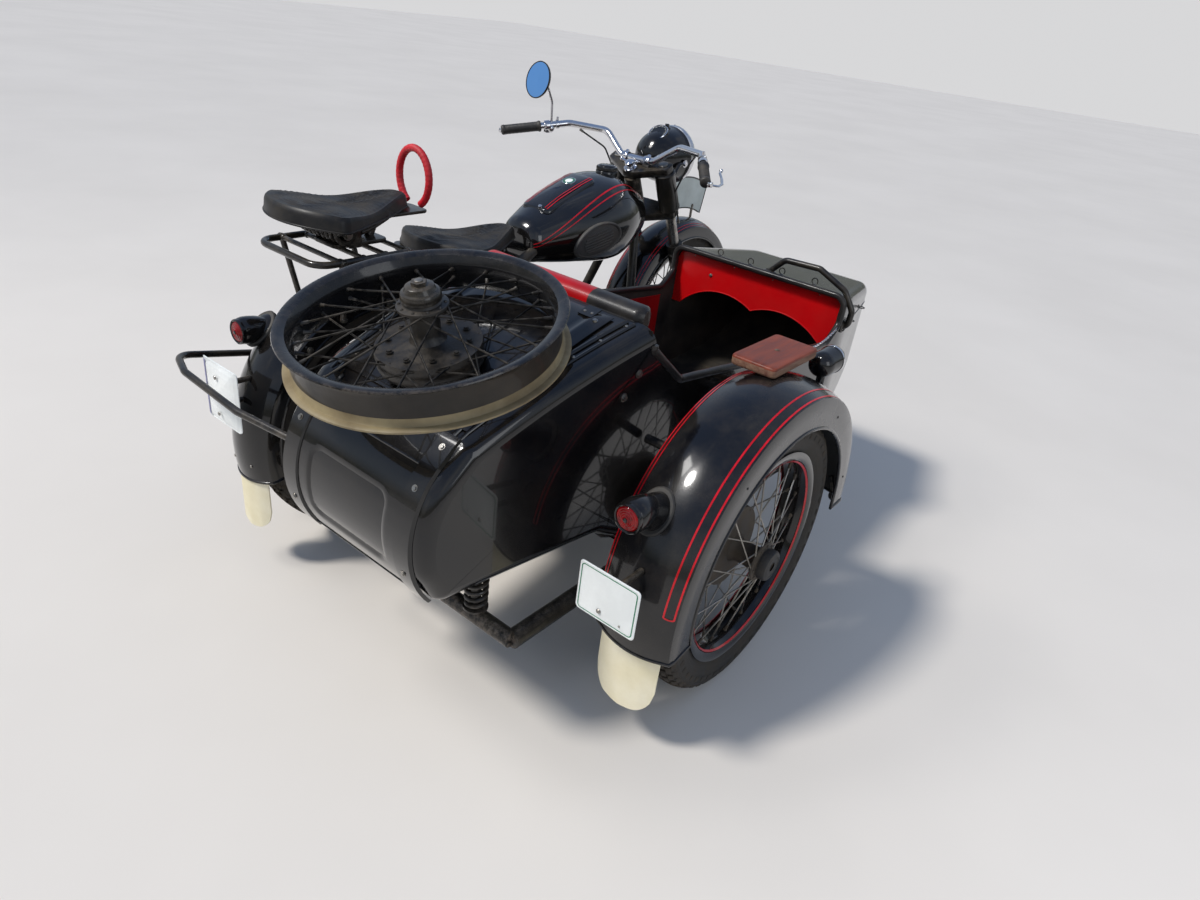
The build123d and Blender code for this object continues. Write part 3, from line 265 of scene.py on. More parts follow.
class Shape:
    """Mesh in the making: points, faces and the finish number of each face."""

    def __init__(self) -> None:
        """Start an empty mesh."""
        self.points: list[Vector] = []
        self.faces: list[tuple[int, ...]] = []
        self.coats: list[int] = []

    def face(self, corners: Iterable[int], coat: int = 0) -> None:
        """Add one face by its point numbers."""
        self.faces.append(tuple(corners))
        self.coats.append(coat)

    def add(self, ring: Iterable[Vector]) -> list[int]:
        """Add points and return their numbers.

        Args:
            ring: Points to add.

        Returns:
            Numbers of the new points.
        """
        first = len(self.points)
        self.points.extend(Vector(point) for point in ring)
        return list(range(first, len(self.points)))

    def strip(
        self,
        rings: Sequence[Ring],
        coat: int = 0,
        closed: bool = True,
        looped: bool = False,
        caps: tuple[bool, bool] = (False, False),
    ) -> None:
        """Join rings of equal length by quads.

        Args:
            rings: The rings in order.
            coat: Finish number of the faces.
            closed: Whether each ring closes on itself.
            looped: Whether the last ring joins the first.
            caps: Whether the first and the last ring are filled.
        """
        rows = [self.add(ring) for ring in rings]
        count = len(rows[0])
        last = count if closed else count - 1
        pairs = list(zip(rows, rows[1:]))
        if looped:
            pairs.append((rows[-1], rows[0]))
        for low, high in pairs:
            for i in range(last):
                j = (i + 1) % count
                self.face((low[i], low[j], high[j], high[i]), coat)
        if caps[0]:
            self.face(reversed(rows[0]), coat)
        if caps[1]:
            self.face(rows[-1], coat)

    def lathe(
        self,
        profile: Outline,
        centre: Vector,
        axis: Vector,
        count: int = 48,
        coat: int = 0,
        looped: bool = False,
        caps: tuple[bool, bool] = (False, False),
    ) -> None:
        """Turn a profile round an axis.

        Args:
            profile: Rows of (radius, distance along the axis).
            centre: Point on the axis at distance zero.
            axis: Direction of the axis.
            count: Points round each ring.
            coat: Finish number.
            looped: Whether the profile closes on itself.
            caps: Whether the first and the last ring are filled.
        """
        across, up, forward = frame_of(axis)
        rings = [
            circle(centre + forward * reach, across, up, max(radius, 1e-5), count)
            for radius, reach in profile
        ]
        self.strip(rings, coat, True, looped, caps)

    def tube(
        self,
        route: Sequence[Vector],
        radius: float | Callable[[float], float],
        count: int = 14,
        coat: int = 0,
        looped: bool = False,
        squash: float = 1.0,
        hint: Vector = Z_AXIS,
    ) -> None:
        """Sweep a round bar along a route.

        Args:
            route: Points along the middle of the bar.
            radius: Radius, or a function of the share of the route.
            count: Points round the bar.
            coat: Finish number.
            looped: Whether the route closes on itself.
            squash: Height of the section over its width.
            hint: Direction that the section's height leans to.
        """
        points = [Vector(point) for point in route]
        total = len(points)
        rings = []
        across = None
        for i, point in enumerate(points):
            if looped:
                heading = points[(i + 1) % total] - points[i - 1]
            else:
                heading = points[min(i + 1, total - 1)] - points[max(i - 1, 0)]
            heading.normalize()
            if across is None:
                across, up, _ = frame_of(heading, hint)
            else:
                across = (across - heading * across.dot(heading)).normalized()
                up = heading.cross(across)
            share = i / max(total - 1, 1)
            size = radius(share) if callable(radius) else radius
            turn = 2 * math.pi / count
            rings.append(
                [
                    point
                    + across * (size * math.cos(k * turn))
                    + up * (size * squash * math.sin(k * turn))
                    for k in range(count)
                ]
            )
        self.strip(rings, coat, True, looped, (not looped, not looped))

    def rod(
        self, start: Vector, end: Vector, radius: float, count: int = 16, coat: int = 0,
        ease: float = 0.15
    ) -> None:
        """Add a straight round bar with slightly eased ends.

        Args:
            start: First end.
            end: Last end.
            radius: Radius.
            count: Points round it.
            coat: Finish number.
            ease: Share of the radius that the ends are eased by.
        """
        length = (end - start).length
        nip = min(radius * ease, length * 0.2)
        profile = [(radius - nip, 0.0), (radius, nip), (radius, length - nip), (radius - nip, length)]
        self.lathe(profile, start, end - start, count, coat, caps=(True, True))

    def ball(
        self, centre: Vector, radius: float, count: int = 14, coat: int = 0, squash: float = 1.0
    ) -> None:
        """Add a ball, flattened along Z by the squash factor.

        Args:
            centre: Middle point.
            radius: Radius.
            count: Points round it.
            coat: Finish number.
            squash: Height over width.
        """
        rings = count // 2
        profile = [
            (radius * math.sin(math.pi * i / rings), -radius * squash * math.cos(math.pi * i / rings))
            for i in range(rings + 1)
        ]
        self.lathe(profile, centre, Z_AXIS, count, coat)

    def prism(
        self,
        outline: Outline,
        origin: Vector,
        across: Vector,
        up: Vector,
        depth: float,
        coat: int = 0,
    ) -> None:
        """Raise an outline into a plate.

        Args:
            outline: Corner rows (across, up).
            origin: Point where both are zero, on the near face.
            across: Direction of the first number.
            up: Direction of the second number.
            depth: Thickness, along across x up.
            coat: Finish number.
        """
        normal = across.cross(up).normalized()
        near = [origin + across * a + up * b for a, b in outline]
        far = [point + normal * depth for point in near]
        self.strip([near, far], coat, True, False, (True, True))

    def block(
        self, centre: Vector, size: Sequence[float],
        axes: Sequence[Vector] = (X_AXIS, Y_AXIS, Z_AXIS), coat: int = 0
    ) -> None:
        """Add a block by its centre, its three sizes and their directions.

        Args:
            centre: Middle point.
            size: Its three sizes.
            axes: Directions of the three sizes.
            coat: Finish number.
        """
        a, b, c = (axis * (extent / 2) for axis, extent in zip(axes, size))
        corners = self.add(
            centre + a * i + b * j + c * k for k in (-1, 1) for j in (-1, 1) for i in (-1, 1)
        )
        for quad in ((0, 2, 3, 1), (4, 5, 7, 6), (0, 1, 5, 4), (2, 6, 7, 3), (0, 4, 6, 2), (1, 3, 7, 5)):
            self.face((corners[i] for i in quad), coat)

    def make(
        self,
        name: str,
        coats: Sequence["Finish"],
        body: Body,
        slot: Slot,
        stands_for: Sequence[str] = (),
        crease: float = 34.0,
        bevel: float = 0.0,
        smooth: int = 0,
        weld: bool = False,
    ) -> bpy.types.Object:
        """Turn the shape into an object of the scene.

        Args:
            name: Name of the piece.
            coats: Finishes, in the order of the finish numbers.
            body: Body that the piece rides on.
            slot: Record slot of the piece; not used.
            stands_for: CAD nodes that it replaces.
            crease: Edges sharper than this many degrees stay sharp.
            bevel: Width of a small bevel on sharp edges.
            smooth: Levels of subdivision.
            weld: Whether points that meet are joined.

        Returns:
            The new object.
        """
        mesh = bpy.data.meshes.new(name)
        mesh.from_pydata([tuple(point) for point in self.points], [], self.faces)
        for coat in coats:
            mesh.materials.append(coat.material())
        mesh.polygons.foreach_set("material_index", self.coats)
        work = bmesh.new()
        work.from_mesh(mesh)
        if weld:
            bmesh.ops.remove_doubles(work, verts=work.verts, dist=2e-5)
        bmesh.ops.recalc_face_normals(work, faces=work.faces)
        work.to_mesh(mesh)
        work.free()
        mesh.polygons.foreach_set("use_smooth", [True] * len(mesh.polygons))
        mesh.set_sharp_from_angle(angle=math.radians(crease))
        piece = bpy.data.objects.new(name, mesh)
        bpy.context.scene.collection.objects.link(piece)
        if bevel:
            nip = piece.modifiers.new("eased_edges", "BEVEL")
            nip.width = bevel
            nip.segments = 2
            nip.limit_method = "ANGLE"
            nip.angle_limit = math.radians(40)
        if smooth:
            rounds = piece.modifiers.new("rounded", "SUBSURF")
            rounds.levels = smooth
            rounds.render_levels = smooth
        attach(piece, body.value)
        if stands_for:
            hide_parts(*stands_for)
        log.info("made %s with %d faces", name, len(mesh.polygons))
        return piece


# Finishes

Colour = tuple[float, float, float]


def linear(colour: Colour) -> tuple[float, float, float, float]:
    """Turn a colour as the eye sees it into the numbers that a shader takes.

    Args:
        colour: Colour as the eye sees it.

    Returns:
        Red, green, blue and alpha for a shader socket.
    """
    return tuple(
        value / 12.92 if value <= 0.04045 else ((value + 0.055) / 1.055) ** 2.4 for value in colour
    ) + (1.0,)


class Wiring:
    """Short hand for placing and joining the nodes of one tree."""

    def __init__(self, tree: bpy.types.NodeTree) -> None:
        """Keep the tree to work on."""
        self.tree = tree

    def node(self, kind: str, settings: dict | None = None, **values: object) -> bpy.types.Node:
        """Place a node.

        Args:
            kind: Node type without its ShaderNode prefix.
            settings: Attributes of the node.
            values: Socket values or sockets to join, by name with underscores.

        Returns:
            The node.
        """
        made = self.tree.nodes.new("ShaderNode" + kind)
        for key, value in (settings or {}).items():
            setattr(made, key, value)
        for key, value in values.items():
            numbered = key[0] == "n" and key[1:].isdigit()
            socket = made.inputs[int(key[1:]) if numbered else key.replace("_", " ")]
            if isinstance(value, bpy.types.NodeSocket):
                self.tree.links.new(value, socket)
            else:
                socket.default_value = value
        return made

    def effect(self, shared: "Effect", **values: float) -> bpy.types.Node:
        """Place a shared effect with its own values and return its node."""
        return self.node("Group", {"node_tree": shared.tree()}, **values)

    def maths(
        self, operation: str, first: object, second: object = 0.0, clamp: bool = False
    ) -> bpy.types.NodeSocket:
        """Place a Math node and return its output."""
        made = self.node("Math", {"operation": operation, "use_clamp": clamp}, n0=first, n1=second)
        return made.outputs[0]

    def mix(self, share: object, low: object, high: object) -> bpy.types.NodeSocket:
        """Mix two colours by a share and return the colour.

        Args:
            share: Share of the second colour.
            low: First colour.
            high: Second colour.

        Returns:
            Socket of the mixed colour.
        """
        made = self.node("Mix", {"data_type": "RGBA"})
        for index, value in ((0, share), (6, low), (7, high)):
            if isinstance(value, bpy.types.NodeSocket):
                self.tree.links.new(value, made.inputs[index])
            else:
                made.inputs[index].default_value = value
        return made.outputs[2]

    def spread(
        self, value: object, low: float, high: float, to_low: float, to_high: float
    ) -> bpy.types.NodeSocket:
        """Map a value from one span to another, clamped.

        Args:
            value: Value to map.
            low: Start of its span.
            high: End of its span.
            to_low: Value that the start becomes.
            to_high: Value that the end becomes.

        Returns:
            Socket of the mapped value.
        """
        made = self.node("MapRange", {"clamp": True})
        for index, part in enumerate((value, low, high, to_low, to_high)):
            if isinstance(part, bpy.types.NodeSocket):
                self.tree.links.new(part, made.inputs[index])
            else:
                made.inputs[index].default_value = part
        return made.outputs[0]


Sockets = dict[str, bpy.types.NodeSocket]


@dataclass(frozen=True)
class Effect:
    """Surface effect that materials share as one shader node group."""

    name: str
    inputs: tuple[tuple[str, float], ...]
    outputs: tuple[str, ...]

    def wire(self, wiring: Wiring, entry: bpy.types.Node) -> Sockets:
        """Wire the group and return the socket for each output."""
        raise NotImplementedError(self.name)

    def tree(self) -> bpy.types.NodeTree:
        """Return the node group, made the first time it is asked for.

        Returns:
            The shader node tree.
        """
        tree = bpy.data.node_groups.get(self.name)
        if tree:
            return tree
        tree = bpy.data.node_groups.new(self.name, "ShaderNodeTree")
        for label, default in self.inputs:
            socket = tree.interface.new_socket(label, in_out="INPUT", socket_type="NodeSocketFloat")
            socket.default_value = default
        for label in self.outputs:
            tree.interface.new_socket(label, in_out="OUTPUT", socket_type="NodeSocketFloat")
        entry = tree.nodes.new("NodeGroupInput")
        leave = tree.nodes.new("NodeGroupOutput")
        for label, socket in self.wire(Wiring(tree), entry).items():
            tree.links.new(socket, leave.inputs[label])
        return tree


@dataclass(frozen=True)
class SettledDust(Effect):
    """Mask of dust that lies on what faces up, in patches."""

    name: str = "settled_dust"
    inputs: tuple[tuple[str, float], ...] = (("Scale", 9.0), ("Amount", 0.5))
    outputs: tuple[str, ...] = ("Mask",)

    def wire(self, wiring: Wiring, entry: bpy.types.Node) -> Sockets:
        """Wire the dust mask.

        Args:
            wiring: Wiring of the group's tree.
            entry: Node that holds the group's inputs.

        Returns:
            The socket for each output, by its name.
        """
        place = wiring.node("TexCoord").outputs["Object"]
        patch = wiring.node(
            "TexNoise", Vector=place, Scale=entry.outputs["Scale"], Detail=6.0, Roughness=0.68
        )
        speck = wiring.node("TexNoise", Vector=place, Scale=420.0, Detail=3.0, Roughness=0.7)
        normal = wiring.node("NewGeometry").outputs["Normal"]
        rise = wiring.node("SeparateXYZ", Vector=normal).outputs["Z"]
        facing = wiring.spread(rise, -0.6, 0.9, 0.25, 1.0)
        cloud = wiring.spread(patch.outputs["Fac"], 0.38, 0.68, 0.0, 1.0)
        grit = wiring.spread(speck.outputs["Fac"], 0.35, 0.7, 0.35, 1.0)
        mask = wiring.maths("MULTIPLY", wiring.maths("MULTIPLY", cloud, grit), facing)
        return {"Mask": wiring.maths("MULTIPLY", mask, entry.outputs["Amount"], True)}


@dataclass(frozen=True)
class EdgeWear(Effect):
    """Mask of rubbed edges, broken up by noise."""

    name: str = "edge_wear"
    inputs: tuple[tuple[str, float], ...] = (("Scale", 60.0), ("Amount", 0.5))
    outputs: tuple[str, ...] = ("Mask",)

    def wire(self, wiring: Wiring, entry: bpy.types.Node) -> Sockets:
        """Wire the wear mask.

        Args:
            wiring: Wiring of the group's tree.
            entry: Node that holds the group's inputs.

        Returns:
            The socket for each output, by its name.
        """
        place = wiring.node("TexCoord").outputs["Object"]
        point = wiring.node("NewGeometry").outputs["Pointiness"]
        edge = wiring.spread(point, 0.52, 0.6, 0.0, 1.0)
        noise = wiring.node(
            "TexNoise", Vector=place, Scale=entry.outputs["Scale"], Detail=5.0, Roughness=0.75
        )
        broken = wiring.spread(noise.outputs["Fac"], 0.45, 0.62, 0.0, 1.0)
        mask = wiring.maths("MULTIPLY", edge, broken)
        return {"Mask": wiring.maths("MULTIPLY", mask, entry.outputs["Amount"], True)}


@dataclass(frozen=True)
class FineGrain(Effect):
    """Fine uneven height, and a cloudy tone."""

    name: str = "fine_grain"
    inputs: tuple[tuple[str, float], ...] = (("Scale", 300.0), ("Tone scale", 6.0))
    outputs: tuple[str, ...] = ("Height", "Tone")

    def wire(self, wiring: Wiring, entry: bpy.types.Node) -> Sockets:
        """Wire the grain.

        Args:
            wiring: Wiring of the group's tree.
            entry: Node that holds the group's inputs.

        Returns:
            The socket for each output, by its name.
        """
        place = wiring.node("TexCoord").outputs["Object"]
        fine = wiring.node("TexNoise", Vector=place, Scale=entry.outputs["Scale"], Detail=3.0, Roughness=0.6)
        broad = wiring.node(
            "TexNoise", Vector=place, Scale=entry.outputs["Tone scale"], Detail=4.0, Roughness=0.6
        )
        return {
            "Height": fine.outputs["Fac"],
            "Tone": wiring.spread(broad.outputs["Fac"], 0.35, 0.65, 0.0, 1.0)
        }


@dataclass(frozen=True)
class HideGrain(Effect):
    """Pebbled height of leather or vinyl."""

    name: str = "hide_grain"
    inputs: tuple[tuple[str, float], ...] = (("Scale", 420.0),)
    outputs: tuple[str, ...] = ("Height",)

    def wire(self, wiring: Wiring, entry: bpy.types.Node) -> Sockets:
        """Wire the pebbles.

        Args:
            wiring: Wiring of the group's tree.
            entry: Node that holds the group's inputs.

        Returns:
            The socket for each output, by its name.
        """
        place = wiring.node("TexCoord").outputs["Object"]
        cells = wiring.node(
            "TexVoronoi", {"feature": "SMOOTH_F1"}, Vector=place, Scale=entry.outputs["Scale"],
            Smoothness=0.4
        )
        wrinkle = wiring.node("TexNoise", Vector=place, Scale=28.0, Detail=5.0, Roughness=0.7)
        pebble = wiring.spread(cells.outputs["Distance"], 0.0, 0.75, 1.0, 0.0)
        return {"Height": wiring.maths("ADD", pebble, wiring.maths("MULTIPLY", wrinkle.outputs["Fac"], 1.6))}


@dataclass(frozen=True)
class PlankGrain(Effect):
    """Streaks of a board cut along X."""

    name: str = "plank_grain"
    inputs: tuple[tuple[str, float], ...] = (("Scale", 5.0),)
    outputs: tuple[str, ...] = ("Tone", "Height")

    def wire(self, wiring: Wiring, entry: bpy.types.Node) -> Sockets:
        """Wire the streaks.

        Args:
            wiring: Wiring of the group's tree.
            entry: Node that holds the group's inputs.

        Returns:
            The socket for each output, by its name.
        """
        place = wiring.node("TexCoord").outputs["Object"]
        pulled = wiring.node("Mapping", Vector=place)
        pulled.inputs["Scale"].default_value = (1.4, 14.0, 14.0)
        streak = wiring.node(
            "TexNoise", Vector=pulled.outputs[0], Scale=entry.outputs["Scale"], Detail=7.0,
            Roughness=0.7, Distortion=0.4
        )
        pore = wiring.node("TexNoise", Vector=pulled.outputs[0], Scale=60.0, Detail=3.0, Roughness=0.8)
        tone = wiring.spread(streak.outputs["Fac"], 0.34, 0.68, 0.0, 1.0)
        pores = wiring.maths("MULTIPLY", pore.outputs["Fac"], 0.7)
        return {"Tone": tone, "Height": wiring.maths("ADD", streak.outputs["Fac"], pores)}


@dataclass(frozen=True)
class CastSkin(Effect):
    """Rough skin and stains of cast metal."""

    name: str = "cast_skin"
    inputs: tuple[tuple[str, float], ...] = (("Scale", 380.0),)
    outputs: tuple[str, ...] = ("Height", "Stain")

    def wire(self, wiring: Wiring, entry: bpy.types.Node) -> Sockets:
        """Wire the skin.

        Args:
            wiring: Wiring of the group's tree.
            entry: Node that holds the group's inputs.

        Returns:
            The socket for each output, by its name.
        """
        place = wiring.node("TexCoord").outputs["Object"]
        pits = wiring.node("TexVoronoi", Vector=place, Scale=entry.outputs["Scale"])
        stain = wiring.node("TexNoise", Vector=place, Scale=18.0, Detail=7.0, Roughness=0.72)
        return {
            "Height": wiring.maths("ADD", pits.outputs["Distance"], stain.outputs["Fac"]),
            "Stain": wiring.spread(stain.outputs["Fac"], 0.44, 0.72, 0.0, 1.0),
        }


class Surface(Enum):
    """Kinds of surface relief."""

    GRAIN = FineGrain()
    HIDE = HideGrain()
    PLANK = PlankGrain()
    CAST = CastSkin()


@dataclass(frozen=True)
class Finish:
    """One finish: a colour with its tone, gloss, relief, dust and wear."""

    name: str
    colour: Colour
    tone: Colour | None = None
    tone_scale: float = 6.0
    roughness: float = 0.4
    unevenness: float = 0.08
    metallic: float = 0.0
    coat: float = 0.0
    coat_roughness: float = 0.05
    surface: Surface = Surface.GRAIN
    relief_scale: float = 300.0
    relief: float = 0.05
    relief_depth: float = 0.0006
    dust: float = 0.0
    dust_scale: float = 9.0
    dust_colour: Colour = (0.62, 0.56, 0.46)
    wear: float = 0.0
    wear_colour: Colour = (0.55, 0.5, 0.45)

    def material(self) -> bpy.types.Material:
        """Return the material, made the first time it is asked for.

        Returns:
            The material, with its nodes in place.
        """
        title = self.name + "_finish"
        made = bpy.data.materials.get(title)
        if made:
            return made
        made = bpy.data.materials.new(title)
        made.use_nodes = True
        made.diffuse_color = linear(self.colour)
        wiring = Wiring(made.node_tree)
        base = made.node_tree.nodes["Principled BSDF"]
        relief = wiring.effect(self.surface.value, Scale=self.relief_scale)
        if self.surface is Surface.GRAIN:
            relief.inputs["Tone scale"].default_value = self.tone_scale
            tone = relief.outputs["Tone"]
        elif self.surface is Surface.PLANK:
            tone = relief.outputs["Tone"]
        elif self.surface is Surface.CAST:
            tone = relief.outputs["Stain"]
        else:
            tone = wiring.effect(FineGrain(), Tone_scale=self.tone_scale).outputs["Tone"]
        second = self.tone or tuple(min(1.0, value * 1.12 + 0.006) for value in self.colour)
        colour = wiring.mix(tone, linear(self.colour), linear(second))
        smoothest = max(self.roughness - self.unevenness, 0.02)
        roughest = min(self.roughness + self.unevenness, 1.0)
        rough = wiring.spread(tone, 0.0, 1.0, smoothest, roughest)
        if self.wear:
            wear = wiring.effect(EdgeWear(), Amount=self.wear)
            colour = wiring.mix(wear.outputs["Mask"], colour, linear(self.wear_colour))
            rough = wiring.maths("ADD", rough, wiring.maths("MULTIPLY", wear.outputs["Mask"], 0.3), True)
        if self.dust:
            dust = wiring.effect(SettledDust(), Amount=self.dust, Scale=self.dust_scale)
            colour = wiring.mix(dust.outputs["Mask"], colour, linear(self.dust_colour))
            rough = wiring.maths("ADD", rough, wiring.maths("MULTIPLY", dust.outputs["Mask"], 0.6), True)
            if self.metallic:
                metal = wiring.maths("SUBTRACT", 1.0, dust.outputs["Mask"], True)
                made.node_tree.links.new(metal, base.inputs["Metallic"])
            if self.coat:
                shine = wiring.maths("SUBTRACT", self.coat, dust.outputs["Mask"], True)
                made.node_tree.links.new(shine, base.inputs["Coat Weight"])
        elif self.metallic:
            base.inputs["Metallic"].default_value = self.metallic
        if self.coat and not self.dust:
            base.inputs["Coat Weight"].default_value = self.coat
        base.inputs["Coat Roughness"].default_value = self.coat_roughness
        if self.coat and not self.metallic:
            base.inputs["Specular IOR Level"].default_value = 0.2
        bump = wiring.node(
            "Bump", Strength=self.relief, Distance=self.relief_depth, Height=relief.outputs["Height"]
        )
        made.node_tree.links.new(colour, base.inputs["Base Color"])
        made.node_tree.links.new(rough, base.inputs["Roughness"])
        made.node_tree.links.new(bump.outputs["Normal"], base.inputs["Normal"])
        return made


GLOSS_BLACK = Finish(
    "gloss_black_paint", (0.038, 0.038, 0.048), (0.052, 0.05, 0.058), 5.0, 0.2, 0.05, coat=0.7,
    coat_roughness=0.04, relief_scale=140.0, relief=0.12, relief_depth=0.0004, dust=0.06,
    dust_scale=7.0
)
DULL_BLACK = Finish(
    "worn_black_paint", (0.07, 0.068, 0.07), (0.11, 0.1, 0.09), 9.0, 0.42, 0.12, coat=0.3,
    coat_roughness=0.2, relief_scale=220.0, relief=0.25, dust=0.3, wear=0.5
)
FRAME_BLACK = Finish(
    "frame_paint", (0.06, 0.06, 0.062), (0.09, 0.085, 0.08), 8.0, 0.34, 0.1, coat=0.5,
    coat_roughness=0.12, relief_scale=200.0, relief=0.2, dust=0.22, wear=0.25
)
STRIPE_RED = Finish(
    "pinstripe_red", (0.66, 0.03, 0.08), (0.78, 0.06, 0.12), 30.0, 0.32, 0.06, coat=0.6,
    relief_scale=260.0, relief=0.1
)
CHROME = Finish(
    "bright_chrome", (0.86, 0.86, 0.87), (0.78, 0.78, 0.8), 12.0, 0.1, 0.05, metallic=1.0,
    relief_scale=240.0, relief=0.05, dust=0.08, dust_scale=14.0
)
DULL_CHROME = Finish(
    "aged_zinc", (0.62, 0.61, 0.59), (0.5, 0.48, 0.45), 26.0, 0.32, 0.12, metallic=1.0,
    relief_scale=300.0, relief=0.2, dust=0.25, dust_scale=20.0, dust_colour=(0.42, 0.36, 0.29)
)
RUSTED = Finish(
    "rusted_steel", (0.42, 0.3, 0.22), (0.55, 0.5, 0.45), 60.0, 0.6, 0.15, metallic=0.6,
    relief_scale=260.0, relief=0.5, dust=0.3
)
ALLOY = Finish(
    "bare_alloy", (0.56, 0.56, 0.55), (0.4, 0.38, 0.35), 20.0, 0.45, 0.12, metallic=1.0,
    surface=Surface.CAST, relief=0.35, dust=0.3, dust_colour=(0.36, 0.32, 0.27)
)
CAST_IRON = Finish(
    "cast_iron", (0.17, 0.165, 0.16), (0.25, 0.22, 0.19), 20.0, 0.6, 0.12, metallic=0.4,
    surface=Surface.CAST, relief=0.4, dust=0.35
)
TYRE_SIDE = Finish(
    "tyre_wall", (0.13, 0.125, 0.12), (0.19, 0.175, 0.155), 14.0, 0.78, 0.08, relief_scale=340.0,
    relief=0.35, dust=0.45, dust_scale=16.0, dust_colour=(0.34, 0.29, 0.23)
)
TYRE_TREAD = Finish(
    "tyre_tread", (0.12, 0.115, 0.11), (0.22, 0.195, 0.165), 20.0, 0.85, 0.08, relief_scale=420.0,
    relief=0.5, dust=0.6, dust_scale=22.0, dust_colour=(0.38, 0.33, 0.26)
)
RUBBER = Finish(
    "black_rubber", (0.085, 0.085, 0.09), (0.13, 0.13, 0.135), 12.0, 0.55, 0.1, relief_scale=380.0,
    relief=0.3, dust=0.25, dust_scale=14.0
)
GREY_RUBBER = Finish(
    "aged_rubber", (0.17, 0.175, 0.18), (0.23, 0.235, 0.24), 14.0, 0.6, 0.1, relief_scale=380.0,
    relief=0.35, dust=0.3
)
RED_VINYL = Finish(
    "red_vinyl", (0.62, 0.03, 0.07), (0.48, 0.02, 0.05), 7.0, 0.36, 0.06, coat=0.25,
    coat_roughness=0.2, surface=Surface.HIDE, relief_scale=520.0, relief=0.35, dust=0.06
)
DARK_VINYL = Finish(
    "dark_vinyl", (0.09, 0.08, 0.08), (0.13, 0.115, 0.11), 8.0, 0.42, 0.08, coat=0.2,
    coat_roughness=0.25, surface=Surface.HIDE, relief_scale=460.0, relief=0.5, dust=0.18
)
RED_WRAP = Finish(
    "red_wrap", (0.8, 0.05, 0.14), (0.66, 0.03, 0.10), 20.0, 0.5, 0.1, surface=Surface.HIDE,
    relief_scale=360.0, relief=0.5, dust=0.1
)
WHITE_PAINT = Finish(
    "plate_white", (0.94, 0.95, 0.94), (0.88, 0.89, 0.88), 10.0, 0.3, 0.08, coat=0.5,
    relief_scale=220.0, relief=0.1, dust=0.06, dust_colour=(0.6, 0.58, 0.52)
)
PLATE_GREEN = Finish(
    "plate_green", (0.05, 0.5, 0.33), (0.06, 0.42, 0.28), 20.0, 0.35, 0.06, coat=0.3, relief=0.1
)
PLATE_BLUE = Finish(
    "plate_blue", (0.05, 0.13, 0.5), (0.05, 0.1, 0.42), 20.0, 0.35, 0.06, coat=0.3, relief=0.1
)
GREY_PAINT = Finish(
    "plate_grey", (0.80, 0.83, 0.81), (0.72, 0.75, 0.73), 10.0, 0.4, 0.1, coat=0.3,
    relief_scale=220.0, relief=0.15, dust=0.3
)
CREAM = Finish(
    "cream_rubber", (0.93, 0.90, 0.80), (0.88, 0.84, 0.71), 8.0, 0.62, 0.08, relief_scale=320.0,
    relief=0.3, dust=0.15, dust_scale=12.0, dust_colour=(0.5, 0.43, 0.32)
)
WOOD = Finish(
    "red_brown_timber", (0.36, 0.15, 0.10), (0.54, 0.26, 0.18), 5.0, 0.48, 0.1, coat=0.2,
    coat_roughness=0.3, surface=Surface.PLANK, relief_scale=5.0, relief=0.35, relief_depth=0.0008,
    dust=0.03
)
RAW_WOOD = Finish(
    "raw_wood", (0.55, 0.43, 0.34), (0.36, 0.2, 0.15), 5.0, 0.7, 0.1, surface=Surface.PLANK,
    relief_scale=5.0, relief=0.5, relief_depth=0.0008
)
KHAKI = Finish(
    "khaki_paint", (0.58, 0.52, 0.38), (0.42, 0.36, 0.25), 9.0, 0.55, 0.12, relief_scale=200.0,
    relief=0.25, dust=0.55, dust_colour=(0.5, 0.44, 0.33), wear=0.4
)
LENS_RED = Finish(
    "red_lens", (0.56, 0.01, 0.02), (0.34, 0.0, 0.01), 40.0, 0.12, 0.04, coat=0.4,
    surface=Surface.HIDE, relief_scale=260.0, relief=0.5
)
LAMP_GLASS = Finish(
    "lamp_glass", (0.66, 0.69, 0.71), (0.5, 0.53, 0.55), 60.0, 0.12, 0.05, coat=0.8,
    surface=Surface.PLANK, relief_scale=16.0, relief=0.5
)
MIRROR_GLASS = Finish(
    "mirror_glass", (0.52, 0.74, 0.97), (0.5, 0.72, 0.96), 6.0, 0.03, 0.01, metallic=1.0, relief=0.0
)
DIAL_DARK = Finish(
    "dial_dark", (0.06, 0.06, 0.065), (0.09, 0.09, 0.09), 30.0, 0.3, 0.05, coat=1.0, relief=0.05
)
DUSTY_DRUM = Finish(
    "dusty_drum", (0.2, 0.18, 0.16), (0.3, 0.26, 0.21), 16.0, 0.62, 0.12, relief_scale=240.0,
    relief=0.35, dust=0.6, dust_colour=(0.42, 0.37, 0.3)
)
FENDER_BLACK = Finish(
    "mudguard_black", (0.045, 0.045, 0.058), (0.07, 0.068, 0.078), 6.0, 0.24, 0.08, coat=0.7,
    coat_roughness=0.08, relief_scale=420.0, relief=0.22, relief_depth=0.0005, dust=0.08,
    dust_scale=10.0
)
INSIDE_DARK = Finish(
    "dark_inside", (0.045, 0.04, 0.04), (0.065, 0.058, 0.055), 9.0, 0.75, 0.1, relief_scale=200.0,
    relief=0.3, dust=0.25
)
ROLL_LEATHER = Finish(
    "rim_leather", (0.075, 0.075, 0.085), (0.11, 0.108, 0.115), 14.0, 0.38, 0.1, coat=0.3,
    coat_roughness=0.2, surface=Surface.HIDE, relief_scale=600.0, relief=0.35, dust=0.12
)
DASH_RED = Finish(
    "dash_red", (0.74, 0.015, 0.045), (0.68, 0.012, 0.035), 5.0, 0.4, 0.06, coat=0.3,
    coat_roughness=0.15, relief_scale=420.0, relief=0.3, dust=0.05
)
